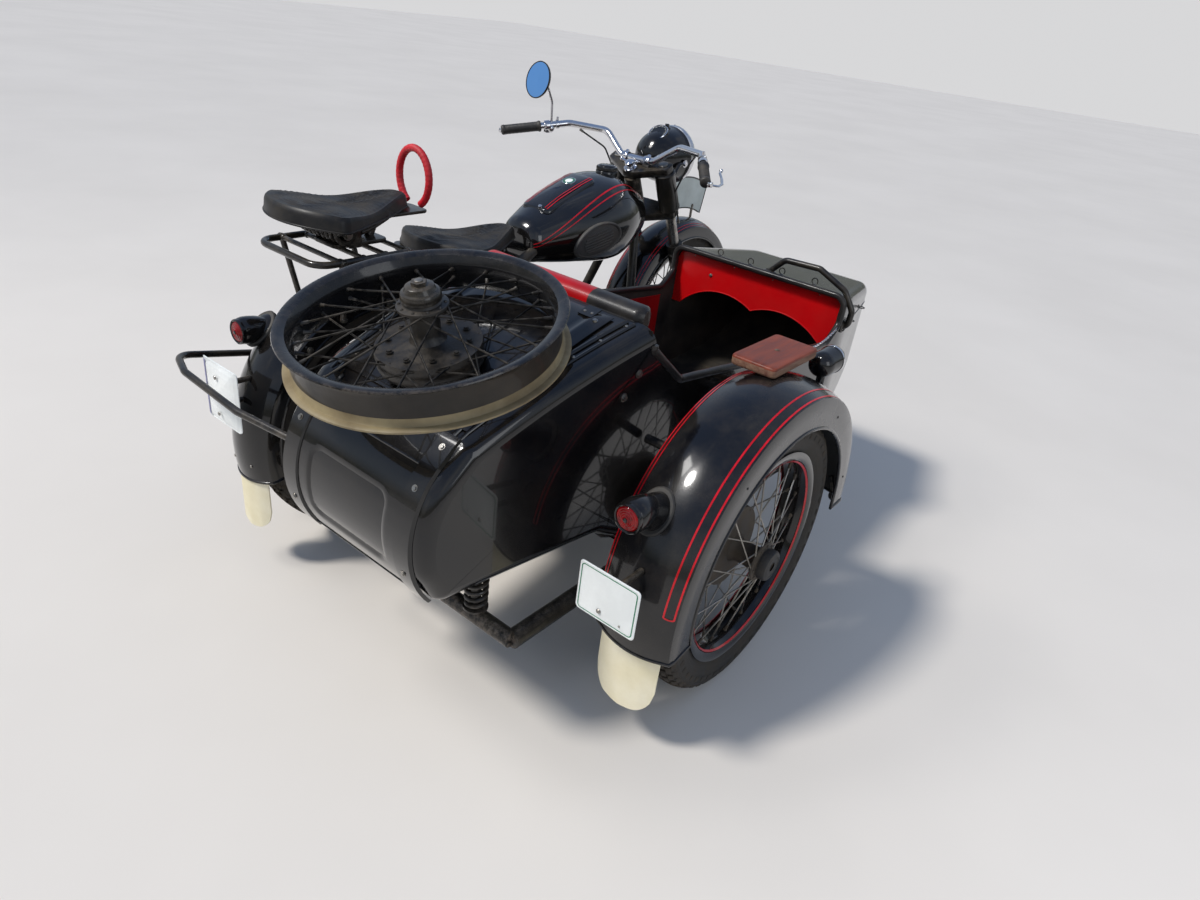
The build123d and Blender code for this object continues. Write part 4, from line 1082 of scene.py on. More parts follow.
ROLL_RED = Finish(
    "roll_red", (0.72, 0.02, 0.05), (0.6, 0.016, 0.04), 10.0, 0.34, 0.06, coat=0.4,
    coat_roughness=0.15, surface=Surface.HIDE, relief_scale=520.0, relief=0.3
)
RIM_BLACK = Finish(
    "spare_rim_black", (0.045, 0.048, 0.06), (0.08, 0.08, 0.085), 18.0, 0.22, 0.1, coat=0.5,
    coat_roughness=0.1, relief_scale=520.0, relief=0.4, relief_depth=0.0006, dust=0.10,
    dust_scale=26.0, dust_colour=(0.45, 0.4, 0.33), wear=0.3
)
RIM_BROWN = Finish(
    "spare_rim_brown", (0.17, 0.15, 0.13), (0.09, 0.085, 0.08), 7.0, 0.42, 0.14, coat=0.3,
    relief_scale=260.0, relief=0.35, dust=0.4, dust_scale=9.0, dust_colour=(0.33, 0.28, 0.2)
)
SPOKE_DARK = Finish(
    "spare_spokes", (0.11, 0.105, 0.10), (0.26, 0.25, 0.24), 70.0, 0.45, 0.14, metallic=0.7,
    relief_scale=500.0, relief=0.5, dust=0.15
)
DRUM_DIRTY = Finish(
    "spare_drum", (0.11, 0.1, 0.09), (0.22, 0.19, 0.15), 20.0, 0.5, 0.15, surface=Surface.CAST,
    relief=0.4, dust=0.3, dust_colour=(0.33, 0.29, 0.23)
)
TANK_PAINT = Finish(
    "tank_paint", (0.04, 0.04, 0.05), (0.055, 0.053, 0.06), 4.0, 0.16, 0.04, coat=1.0,
    coat_roughness=0.03, relief_scale=160.0, relief=0.08, relief_depth=0.0004, dust=0.04,
    dust_scale=7.0
)
BADGE_GREEN = Finish(
    "badge_green", (0.1, 0.42, 0.25), (0.14, 0.36, 0.24), 30.0, 0.25, 0.05, coat=1.0, relief=0.05
)
SADDLE_RUBBER = Finish(
    "saddle_rubber", (0.085, 0.083, 0.088), (0.12, 0.118, 0.122), 10.0, 0.46, 0.08, coat=0.15,
    coat_roughness=0.3, relief_scale=300.0, relief=0.25, dust=0.16, dust_scale=14.0
)
OLD_CHROME = Finish(
    "old_chrome", (0.62, 0.6, 0.57), (0.45, 0.41, 0.35), 10.0, 0.22, 0.1, metallic=1.0,
    relief_scale=240.0, relief=0.1, dust=0.25, dust_scale=9.0, dust_colour=(0.36, 0.32, 0.26)
)


# Studio


@dataclass
class Studio:
    """Camera at the angle of the photograph, pale floor, soft lamps and sky."""

    location: Vector = field(default_factory=lambda: Vector((-1.804, -1.284, 1.359)))
    right: Vector = field(default_factory=lambda: Vector((0.6275, -0.7698, 0.1172)))
    up: Vector = field(default_factory=lambda: Vector((0.3113, 0.3859, 0.8684)))
    forward: Vector = field(default_factory=lambda: Vector((0.7137, 0.5084, -0.4818)))
    lens: float = 24.23
    floor_reach: float = 30.0
    floor_light: Colour = (0.86, 0.835, 0.80)
    floor_dark: Colour = (0.84, 0.815, 0.78)
    background: Colour = (0.865, 0.865, 0.87)
    sky_strength: float = 0.95
    sun_strength: float = 2.6
    sun_spread: float = math.radians(9)
    sun_from: Vector = field(default_factory=lambda: Vector((-2.6, 1.6, 3.9)))

    def camera(self) -> None:
        """Place the camera."""
        data = bpy.data.cameras.new("view")
        data.lens = self.lens
        data.sensor_width = 36.0
        data.clip_start = 0.02
        data.clip_end = 200.0
        eye = bpy.data.objects.new("view", data)
        turn = Matrix((self.right, self.up, -self.forward)).transposed()
        eye.matrix_world = Matrix.Translation(self.location) @ turn.to_4x4()
        bpy.context.scene.collection.objects.link(eye)
        bpy.context.scene.camera = eye

    def floor(self) -> None:
        """Lay the plain pale floor."""
        material = bpy.data.materials.new("pale_floor")
        material.use_nodes = True
        wiring = Wiring(material.node_tree)
        base = material.node_tree.nodes["Principled BSDF"]
        cloud = wiring.effect(FineGrain(), Scale=40.0, Tone_scale=0.7)
        colour = wiring.mix(cloud.outputs["Tone"], linear(self.floor_light), linear(self.floor_dark))
        material.node_tree.links.new(colour, base.inputs["Base Color"])
        base.inputs["Roughness"].default_value = 0.85
        base.inputs["Specular IOR Level"].default_value = 0.1
        mesh = bpy.data.meshes.new("floor")
        reach = self.floor_reach
        corners = [(-reach, -reach, 0), (reach, -reach, 0), (reach, reach, 0), (-reach, reach, 0)]
        mesh.from_pydata(corners, [], [(0, 1, 2, 3)])
        mesh.materials.append(material)
        ground = bpy.data.objects.new("floor", mesh)
        bpy.context.scene.collection.objects.link(ground)

    def lamp(
        self, name: str, place: Sequence[float], aim: Sequence[float], size: float, power: float,
        colour: Colour
    ) -> None:
        """Hang a soft square lamp that looks at a point.

        Args:
            name: Name of the lamp.
            place: Where it hangs.
            aim: Point that it looks at.
            size: Side of the square.
            power: Power in watts.
            colour: Colour of its light.
        """
        data = bpy.data.lights.new(name, "AREA")
        data.size = size
        data.energy = power
        data.color = colour
        lamp = bpy.data.objects.new(name, data)
        lamp.location = place
        lamp.rotation_euler = (Vector(aim) - Vector(place)).to_track_quat("-Z", "Y").to_euler()
        bpy.context.scene.collection.objects.link(lamp)

    def sun(self) -> None:
        """Add the one broad light that falls evenly on the whole floor."""
        data = bpy.data.lights.new("broad_sun", "SUN")
        data.energy = self.sun_strength
        data.angle = self.sun_spread
        data.color = (1.0, 0.975, 0.94)
        lamp = bpy.data.objects.new("broad_sun", data)
        lamp.rotation_euler = self.sun_from.to_track_quat("Z", "Y").to_euler()
        bpy.context.scene.collection.objects.link(lamp)

    def sky(self) -> None:
        """Light the scene from a soft sky that darkens upward."""
        world = bpy.data.worlds.new("sky")
        world.use_nodes = True
        bpy.context.scene.world = world
        wiring = Wiring(world.node_tree)
        direction = wiring.node("TexCoord").outputs["Generated"]
        rise = wiring.node("SeparateXYZ", Vector=direction).outputs["Z"]
        clouds = wiring.node(
            "TexNoise", Vector=direction, Scale=2.6, Detail=4.0, Roughness=0.6
        ).outputs["Fac"]
        horizon, haze = (0.44, 0.45, 0.42), (0.74, 0.79, 0.85)
        zenith, cloud = (0.46, 0.55, 0.70), (0.93, 0.93, 0.93)
        low = wiring.mix(wiring.spread(rise, 0.06, 0.20, 0.0, 1.0), linear(horizon), linear(haze))
        air = wiring.mix(wiring.spread(rise, 0.12, 0.75, 0.0, 1.0), low, linear(zenith))
        colour = wiring.mix(wiring.spread(clouds, 0.54, 0.72, 0.0, 0.7), air, linear(cloud))
        sees = wiring.node("LightPath").outputs["Is Camera Ray"]
        colour = wiring.mix(sees, colour, linear(self.background))
        back = world.node_tree.nodes["Background"]
        world.node_tree.links.new(colour, back.inputs["Color"])
        back.inputs["Strength"].default_value = self.sky_strength

    def set_up(self) -> None:
        """Place everything that isn't part of the object."""
        self.camera()
        self.floor()
        self.sky()
        self.sun()
        self.lamp("high_panel", (-2.2, 1.6, 3.6), (0.0, 0.0, 0.4), 0.9, 34.0, (1.0, 0.98, 0.95))
        self.lamp("side_panel", (-1.2, -3.4, 2.0), (0.0, -0.2, 0.5), 1.6, 16.0, (0.96, 0.98, 1.0))
        view = bpy.context.scene.view_settings
        view.view_transform = "Standard"
        view.look = "None"


# Wheels


@dataclass
class WireWheel:
    """Wheel with a pressed rim, crossed spokes, a hub and its brake drum."""

    name: str
    centre: Vector
    axis: Vector
    body: Body
    spoke_count: int = 20
    lip: float = 0.255
    seat: float = 0.241
    well: float = 0.229
    half: float = 0.038
    hub_half: float = 0.062
    drum: float = 0.098
    painted: bool = True
    tread_blocks: int = 54
    wire: float = 0.0019

    def at(self, radius: float, turn: float, reach: float) -> Vector:
        """Return a point by its radius, its turn in radians and its reach outboard."""
        across, up, out = frame_of(self.axis)
        return self.centre + across * (radius * math.cos(turn)) + up * (radius * math.sin(turn)) + out * reach

    def rim(self, shape: Shape) -> None:
        """Add the rim: curled flanges, bead seats and well.

        Args:
            shape: Shape to add to.
        """
        h = self.half
        outer = [
            (self.lip - 0.001, -h + 0.0035), (self.lip + 0.0012, -h + 0.001), (self.lip, -h - 0.0012),
            (self.lip - 0.004, -h - 0.002), (self.seat + 0.001, -h - 0.0005), (self.seat - 0.006, -h + 0.003),
            (self.well - 0.001, -h + 0.016), (self.well - 0.0035, -h + 0.024),
            (self.well - 0.0035, h - 0.024),
            (self.well - 0.001, h - 0.016), (self.seat - 0.006, h - 0.003), (self.seat + 0.001, h + 0.0005),
            (self.lip - 0.004, h + 0.002), (self.lip, h + 0.0012), (self.lip + 0.0012, h - 0.001),
            (self.lip - 0.001, h - 0.0035),
        ]
        inner = [
            (self.lip - 0.003, h - 0.005), (self.seat + 0.003, h - 0.004), (self.seat - 0.001, h - 0.008),
            (self.seat - 0.002, h - 0.016), (self.well + 0.001, h - 0.024), (self.well, 0.0),
            (self.well + 0.001, -h + 0.024), (self.seat - 0.002, -h + 0.016), (self.seat - 0.001, -h + 0.008),
            (self.seat + 0.003, -h + 0.004), (self.lip - 0.003, -h + 0.005),
        ]
        shape.lathe(outer + inner, self.centre, self.axis, 96, 0, looped=True)

    def rim_line(self, shape: Shape) -> None:
        """Add the thin painted line on the two shoulders of the rim.

        Args:
            shape: Shape to add to.
        """
        h = self.half
        for side in (-1, 1):
            rings = [
                (self.seat - 0.0078, side * (h - 0.0029)),
                (self.seat - 0.0082, side * (h - 0.0025)),
                (self.seat - 0.0122, side * (h - 0.0056)),
                (self.seat - 0.0118, side * (h - 0.0062)),
            ]
            shape.lathe(rings, self.centre, self.axis, 96, 1, looped=True)

    def spokes(self, shape: Shape) -> None:
        """Add the crossed spokes with their bent heads and nipples.

        Args:
            shape: Shape to add to.
        """
        rows = (
            (0.041, self.hub_half - 0.011, 0.009, math.radians(62)),
            (self.drum - 0.006, -self.hub_half + 0.034, -0.009, math.radians(38)),
        )
        for radius, level, rim_level, lead in rows:
            for i in range(self.spoke_count):
                turn = 2 * math.pi / self.spoke_count * i
                swing = lead if i % 2 else -lead
                tilt = 0.0012 if i % 2 else -0.0012
                start = self.at(radius, turn + swing, level + tilt)
                end = self.at(self.well - 0.002, turn, rim_level)
                heading = (end - start).normalized()
                shape.lathe([(self.wire, 0.0), (self.wire, (end - start).length)], start, heading, 8, 2)
                nip = end - heading * 0.016
                nipple = [(self.wire, 0), (0.0031, 0.001), (0.0034, 0.012), (0.0052, 0.015), (0.0052, 0.018)]
                shape.lathe(nipple, nip, heading, 8, 3)
                head = self.at(radius - 0.001, turn + swing, level + tilt * 3)
                shape.ball(head, 0.0034, 8, 3)

    def hub(self, shape: Shape) -> None:
        """Add the hub barrel, the spoke flange, and the drum with its cover.

        Args:
            shape: Shape to add to.
        """
        h = self.hub_half
        drum = [
            (0.0102, -h), (0.03, -h), (0.034, -h - 0.003), (0.05, -h - 0.003), (0.054, -h + 0.001),
            (self.drum - 0.012, -h + 0.001), (self.drum - 0.008, -h - 0.0005),
            (self.drum - 0.002, -h + 0.002),
            (self.drum, -h + 0.008), (self.drum - 0.0015, -h + 0.011), (self.drum - 0.0015, -h + 0.021),
            (self.drum + 0.0005, -h + 0.024), (self.drum + 0.0005, -h + 0.03),
            (self.drum - 0.001, -h + 0.0395),
            (self.drum - 0.011, -h + 0.0395), (0.06, -h + 0.041), (0.034, -h + 0.046), (0.027, -h + 0.056),
            (0.0255, 0.0), (0.027, h - 0.024), (0.033, h - 0.0165),
        ]
        flange = [
            (0.033, h - 0.0165), (0.0455, h - 0.0142), (0.047, h - 0.012), (0.0462, h - 0.0085),
            (0.035, h - 0.006), (0.033, h - 0.003), (0.0315, h), (0.0102, h),
        ]
        shape.lathe(drum + flange[1:], self.centre, self.axis, 64, 3)

    def wheel(self, stands_for: Sequence[str], extra: Callable[[Shape], None] | None = None) -> None:
        """Build the wheel without its tyre.

        Args:
            stands_for: CAD nodes that it replaces.
            extra: Function that adds more to the same piece.
        """
        shape = Shape()
        self.rim(shape)
        if self.painted:
            self.rim_line(shape)
        self.spokes(shape)
        self.hub(shape)
        if extra:
            extra(shape)
        coats = [GLOSS_BLACK, STRIPE_RED, DULL_CHROME, DUSTY_DRUM, RUBBER, RUSTED]
        shape.make(self.name + "_wire_wheel", coats, self.body, Slot.BLACK, stands_for)

    def tyre(self, stands_for: Sequence[str]) -> None:
        """Build the tyre: carcass, wall ribs and rows of tread blocks.

        Args:
            stands_for: CAD nodes that it replaces.
        """
        shape = Shape()
        half = [
            (self.seat + 0.0004, 0.033), (self.lip - 0.004, 0.0335), (self.lip + 0.003, 0.0352),
            (0.266, 0.0402),
            (0.2675, 0.0412), (0.270, 0.0412), (0.2715, 0.0424), (0.284, 0.0452), (0.296, 0.0456),
            (0.3035, 0.0448),
            (0.3045, 0.0452), (0.307, 0.0445), (0.3085, 0.0432), (0.314, 0.0405), (0.3195, 0.034),
            (0.3235, 0.022),
            (0.3255, 0.008),
        ]
        profile = half + [(radius, -reach) for radius, reach in reversed(half)]
        shape.lathe(profile, self.centre, self.axis, 144, 0, looped=True)
        turn = 2 * math.pi / self.tread_blocks
        rows = (
            (0.0008, 0.0095, 0.3315, 0.3312, 0.0, 0.70),
            (0.0125, 0.0225, 0.3308, 0.3283, 0.5, 0.70),
            (0.0258, 0.0352, 0.3272, 0.3215, 0.0, 0.66),
            (0.0372, 0.0425, 0.3203, 0.3125, 0.5, 0.62),
            (0.0404, 0.0464, 0.3142, 0.2985, 0.0, 0.46),
        )
        for side in (-1, 1):
            for low, high, top_low, top_high, shift, fill in rows:
                for i in range(self.tread_blocks):
                    middle = (i + shift) * turn
                    if low < 0.01:
                        middle += side * turn * 0.25
                    ends = ((side * low, top_low), (side * high, top_high))
                    self._block(shape, middle, turn * fill / 2, ends)
        shape.make(
            self.name + "_treaded_tyre", [TYRE_SIDE, TYRE_TREAD], self.body, Slot.TYRE, stands_for,
            crease=40
        )

    def _block(self, shape: Shape, middle: float, reach: float, ends: Outline) -> None:
        """Add one tread block with eased edges.

        Args:
            shape: Shape to add to.
            middle: Turn of the block's middle, in radians.
            reach: Half of the turn that it covers.
            ends: Its two ends across the tyre, as (place, radius of the top).
        """
        corners = []
        centre = (ends[0][0] + ends[1][0]) / 2
        for sink, grow in ((0.010, 1.12), (0.0012, 1.0), (0.0, 0.86)):
            for level, top in ends:
                edge = (level - centre) * grow + centre
                for swing in (-1, 1):
                    corners.append(self.at(top - sink, middle + swing * reach * grow, edge))
        p = shape.add(corners)
        for base in (0, 4):
            a, b, c, d = p[base], p[base + 1], p[base + 3], p[base + 2]
            e, f, g, h = p[base + 4], p[base + 5], p[base + 7], p[base + 6]
            for quad in ((a, b, f, e), (b, c, g, f), (c, d, h, g), (d, a, e, h)):
                shape.face(quad, 1)
        shape.face((p[8], p[9], p[11], p[10]), 1)


@dataclass
class RoadWheels:
    """The three wheels on the road, with the hub cap of the sidecar's."""

    cap: Outline = (
        (0.0315, 0.058), (0.0362, 0.06), (0.0365, 0.074), (0.034, 0.0785), (0.026, 0.081), (0.0245, 0.0795),
        (0.0104, 0.0795),
    )
    nut: float = 0.0155
    nut_start: float = 0.0635
    nut_depth: float = 0.0125

    def hub_cap(self, shape: Shape) -> None:
        """Add the hub cap of the sidecar wheel and its nut."""
        shape.lathe(self.cap, CAR_AXLE, -Y_AXIS, 48, 4)
        shape.prism(hexagon(self.nut), CAR_AXLE - Y_AXIS * self.nut_start, X_AXIS, Z_AXIS, self.nut_depth, 5)

    def build(self) -> None:
        """Build the three wheels and their tyres."""
        for name, node, centre, axis, body, extra in (
            ("front", "front", FRONT_AXLE, Y_AXIS, Body.FRONT_WHEEL, None),
            ("rear", "rear", REAR_AXLE, Y_AXIS, Body.REAR_WHEEL, None),
            ("car", "sidecar", CAR_AXLE, -Y_AXIS, Body.CAR_WHEEL, self.hub_cap),
        ):
            wheel = WireWheel(name, centre, axis, body)
            wheel.wheel([node + "_wheel"], extra)
            wheel.tyre([node + "_tyre"])


# Mudguards


@dataclass
class Fender:
    """Sheet mudguard swept round a wheel, with a rolled edge and painted lines."""

    centre: Vector
    radius: float
    half: float
    crown: float
    skirt: float
    start: float
    end: float
    sheet: float = 0.0025
    bead: float = 0.0042

    def at(self, turn: float, across: float, radius: float) -> Vector:
        """Return a point by its turn in degrees, its place across and its radius."""
        angle = math.radians(turn)
        return self.centre + Vector((radius * math.cos(angle), across, radius * math.sin(angle)))

    def drop(self, across: float) -> float:
        """Return how far the crown has fallen at a place across.

        Args:
            across: Place across.

        Returns:
            The fall below the crown.
        """
        flat = abs(across) / self.half
        sag = (self.half ** 2 + self.crown ** 2) / (2 * self.crown)
        return sag - math.sqrt(max(sag * sag - (flat * self.half) ** 2, 0.0))

    def section(self) -> list[tuple[float, float]]:
        """Return the outer line of the section as rows of (across, depth).

        Returns:
            Points of the section, in order.
        """
        steps = 9
        crest = []
        for i in range(-steps, steps + 1):
            across = self.half * i / steps
            crest.append((across, self.drop(across)))
        ease = 0.008
        left = [(-self.half, self.crown + fall) for fall in (self.skirt, self.skirt * 0.5, ease)]
        right = [(-across, depth) for across, depth in reversed(left)]
        inner = crest[1:-1]
        inner[0] = (-self.half * 0.965, self.crown - 0.004)
        inner[-1] = (self.half * 0.965, self.crown - 0.004)
        return left + inner + right

    def shell(self, shape: Shape) -> None:
        """Add the sheet with its inner face and rolled rim.

        Args:
            shape: Shape to add to.
        """
        outer = self.section()
        thick = self.sheet
        inner = []
        for across, depth in reversed(outer):
            pull = thick if abs(across) >= self.half * 0.96 else 0.0
            sign = 1 if across > 0 else -1
            inner.append((across - sign * pull, depth + (0.0 if abs(across) >= self.half * 0.999 else thick)))
        steps = max(int((self.end - self.start) / 2.5), 8)
        rings = []
        for i in range(steps + 1):
            turn = lerp(self.start, self.end, i / steps)
            rings.append([self.at(turn, across, self.radius - depth) for across, depth in outer + inner])
        shape.strip(rings, 0, True, False, (True, True))
        low = self.radius - self.crown - self.skirt
        edge = self.half - self.bead * 0.2
        route = []
        for first, last, hem, rows in (
            (self.start, self.end, -edge, outer),
            (self.end, self.start, edge, list(reversed(outer))),
        ):
            route += [self.at(lerp(first, last, i / steps), hem, low) for i in range(steps + 1)]
            for across, depth in rows[1:-1]:
                keep = max(-edge, min(edge, across))
                route.append(self.at(last, keep, self.radius - depth - thick * 0.5))
        shape.tube(route, self.bead, 8, 0, looped=True)

    def skin(self, turn: float, across: float, proud: float) -> Vector:
        """Return a point just above the outer face.

        Args:
            turn: Turn in degrees.
            across: Place across.
            proud: Distance above the skin.

        Returns:
            The point just above the sheet.
        """
        if abs(across) >= self.half:
            sign = 1 if across > 0 else -1
            depth = self.crown + abs(across) - self.half
            return self.at(turn, sign * (self.half + proud), self.radius - depth)
        flank = [(place, depth) for place, depth in self.section() if 0 <= place < self.half]
        flank.append((self.half, self.crown + 0.008))
        return self.at(turn, across, self.radius - polyline_at(flank, abs(across)) + proud)

    def line(self, shape: Shape, route: Sequence[tuple[float, float]], width: float, coat: int) -> None:
        """Paint a line along rows of (turn, across), a hair above the sheet.

        Args:
            shape: Shape to add to.
            route: Rows of (turn, across).
            width: Width.
            coat: Finish number.
        """
        left, right = [], []
        for i, (turn, across) in enumerate(route):
            before = route[max(i - 1, 0)]
            after = route[min(i + 1, len(route) - 1)]
            heading = Vector(((after[0] - before[0]) * math.radians(1) * self.radius, after[1] - before[1]))
            heading.normalize()
            side = Vector((-heading.y, heading.x)) * (width / 2)
            turn_step = side.x / (math.radians(1) * self.radius)
            left.append(self.skin(turn + turn_step, across + side.y, 0.0008))
            right.append(self.skin(turn - turn_step, across - side.y, 0.0008))
        rows = [shape.add(left), shape.add(right)]
        for i in range(len(route) - 1):
            shape.face((rows[0][i], rows[0][i + 1], rows[1][i + 1], rows[1][i]), coat)


def loop_line(start: float, end: float, low: float, high: float, corner: float, radius: float) -> Outline:
    """Trace a long line out and back on a mudguard, closed at both ends by arcs.

    Args:
        start: First turn in degrees.
        end: Last turn in degrees.
        low: Place across of one side.
        high: Place across of the other side.
        corner: Reach of the closing arcs in metres.
        radius: Radius of the mudguard.

    Returns:
        Rows of (turn, across).
    """
    route = []
    bend = math.degrees(corner / radius)
    steps = int(abs(end - start) / 2.5)
    for i in range(steps + 1):
        route.append((lerp(start, end - bend, i / steps), low))
    for i in range(1, 13):
        angle = math.pi * i / 12
        route.append((end - bend + bend * math.sin(angle), lerp(low, high, (1 - math.cos(angle)) / 2)))
    for i in range(1, steps + 1):
        route.append((lerp(end - bend, start, i / steps), high))
    return route


def rounded_box(width: float, height: float, corner: float, steps: int = 5) -> list[tuple[float, float]]:
    """Return the outline of a rectangle with rounded corners, centred on zero.

    Args:
        width: Full width.
        height: Full height.
        corner: Radius of the corners.
        steps: Pieces in each corner.

    Returns:
        The outline, counterclockwise.
    """
    outline = []
    for k, (x, y) in enumerate(((1, 1), (-1, 1), (-1, -1), (1, -1))):
        for i in range(steps + 1):
            angle = math.pi / 2 * (k + i / steps)
            outline.append((
                x * (width / 2 - corner) + corner * math.cos(angle),
                y * (height / 2 - corner) + corner * math.sin(angle),
            ))
    return outline


def dome_screw(shape: Shape, place: Vector, out: Vector, radius: float, coat: int) -> None:
    """Add a domed screw head."""
    dome = ((1.0, 0.0), (1.0, 0.25), (0.8, 0.5), (0.4, 0.62), (0.0, 0.65))
    shape.lathe([(radius * a, radius * b) for a, b in dome], place, out, 16, coat)


def bolt_head(shape: Shape, place: Vector, out: Vector, radius: float, coat: int) -> None:
    """Add a hexagon bolt head on its washer.

    Args:
        shape: Shape to add to.
        place: Point that it stands on.
        out: Direction that it faces.
        radius: Radius.
        coat: Finish number.
    """
    across, up, forward = frame_of(out)
    washer = [(radius * a, radius * b) for a, b in ((1.5, 0.0), (1.5, 0.18), (0.5, 0.2))]
    shape.lathe(washer, place, out, 18, coat)
    shape.prism(hexagon(radius), place + forward * (radius * 0.18), across, up, radius * 0.62, coat)


@dataclass
class TailLamp:
    """Teardrop tail lamp with its rubber foot, ringed red lens and black rim."""

    back: Vector
    foot: Vector
    foot_normal: Vector
    radius: float = 0.030
    length: float = 0.096

    def ellipse(self, centre: Vector, wide: float, long: float, axes: tuple[Vector, Vector]) -> Ring:
        """Return a ring whose sizes are shares of the lamp's radius.

        Args:
            centre: Middle point.
            wide: Half width as a share of the radius.
            long: Half length as a share of the radius.
            axes: Directions of the width and the length.

        Returns:
            The points of the ring.
        """
        r = self.radius
        turns = [2 * math.pi * i / 40 for i in range(40)]
        return [
            centre + axes[0] * (r * wide * math.cos(a)) + axes[1] * (r * long * math.sin(a))
            for a in turns
        ]

    def build(self, shape: Shape) -> None:
        """Add the lamp to a shape with the coats black, rubber and lens.

        Args:
            shape: Shape to add to.
        """
        r = self.radius
        body = [
            (r * 0.93, 0.001), (r * 1.02, 0.006), (r * 1.08, 0.016), (r * 1.05, 0.03), (r * 0.96, 0.046),
            (r * 0.8, 0.062), (r * 0.58, 0.077), (r * 0.34, 0.088), (r * 0.12, 0.0945), (0.0, self.length),
        ]
        shape.lathe(body, self.back, X_AXIS, 40, 0)
        ring = [
            (r * 0.80, -0.0005), (r * 0.82, -0.003), (r * 0.9, -0.0045), (r * 0.98, -0.003), (r * 1.0, 0.001),
            (r * 0.99, 0.006), (r * 0.9, 0.006),
        ]
        shape.lathe(ring, self.back, X_AXIS, 48, 0, looped=True)
        lens = [(r * 0.82, -0.001)]
        for i in range(12):
            share = 1 - (i + 1) / 12
            dome = 0.0065 * (1 - share * share) + 0.001
            lens.append((r * 0.82 * (share + 0.03 if share else 0.0), -dome - (0.0009 if i % 2 else 0.0)))
        shape.lathe(lens, self.back, X_AXIS, 40, 2)
        shape.lathe([(0.0045, -0.0075), (0.004, -0.0095), (0.0, -0.0102)], self.back, X_AXIS, 12, 0)
        across, up, out = frame_of(self.foot_normal)
        if up.dot(X_AXIS) < 0:
            across, up = -across, -up
        rims = [
            self.ellipse(self.foot + out * lift, size, size * 1.35, (across, up))
            for size, lift in ((1.22, -0.004), (1.22, 0.002), (1.14, 0.005), (1.0, 0.0055))
        ]
        shape.strip(rims, 1, True, False, (True, True))
        low = self.ellipse(self.foot + out * 0.005, 1.0, 1.3, (across, up))
        high = self.ellipse(self.back + X_AXIS * 0.042, 0.78, 0.9, (across, up))
        between = [a.lerp(b, 0.45) + out * 0.002 for a, b in zip(low, high)]
        shape.strip([low, between, high], 0)


@dataclass
class MudFlap:
    """Rubber flap with a rounded foot, bent round the end of a mudguard.

    The end of the mudguard lies a turn in degrees below the axle, and the
    edges of the flap bend forward by the drop.
    """

    centre: Vector
    radius: float
    below: float
    half: float
    drop: float
    length: float
    thick: float = 0.0028
    tuck: float = 0.014
    columns: int = 26
    rows: int = 22

    def spot(self, side: float, share: float, lift: float) -> Vector:
        """Return a point of the flap.

        Args:
            side: Place across, from -1 to 1.
            share: Share of the way up from the foot.
            lift: Distance in front of the rear face.

        Returns:
            The point in the shared frame.
        """
        inner = self.radius - self.thick
        back = self.centre.x - inner * math.cos(math.radians(self.below))
        low = self.centre.z - inner * math.sin(math.radians(self.below)) - self.length
        sag = (self.half * self.half + self.drop * self.drop) / (2 * self.drop)
        foot = low + 0.001 + self.half * 0.88 * (1 - math.sqrt(max(1 - abs(side) ** 2.75, 0.0)))
        across = side * self.half
        bend = sag - math.sqrt(max(sag * sag - across * across, 0.0))
        wave = 0.0015 * math.sin(side * 5.0) * (1 - share)
        level = lerp(foot, low + self.length + self.tuck, share)
        return Vector((back + bend + lift + abs(wave), self.centre.y + across, level))

    def add_to(self, shape: Shape) -> None:
        """Add both faces and the rim between them.

        Args:
            shape: Shape to add to.
        """
        near, far = (
            [
                shape.add([
                    self.spot(-1 + 2 * i / self.columns, k / self.rows, lift)
                    for i in range(self.columns + 1)
                ])
                for k in range(self.rows + 1)
            ]
            for lift in (0.0, self.thick)
        )
        for k in range(self.rows):
            for i in range(self.columns):
                shape.face((near[k][i], near[k][i + 1], near[k + 1][i + 1], near[k + 1][i]), 0)
                shape.face((far[k][i + 1], far[k][i], far[k + 1][i], far[k + 1][i + 1]), 0)
        inner, outer = border_of(near), border_of(far)
        for a, b, c, d in zip(inner, inner[1:] + inner[:1], outer[1:] + outer[:1], outer):
            shape.face((a, b, c, d), 0)


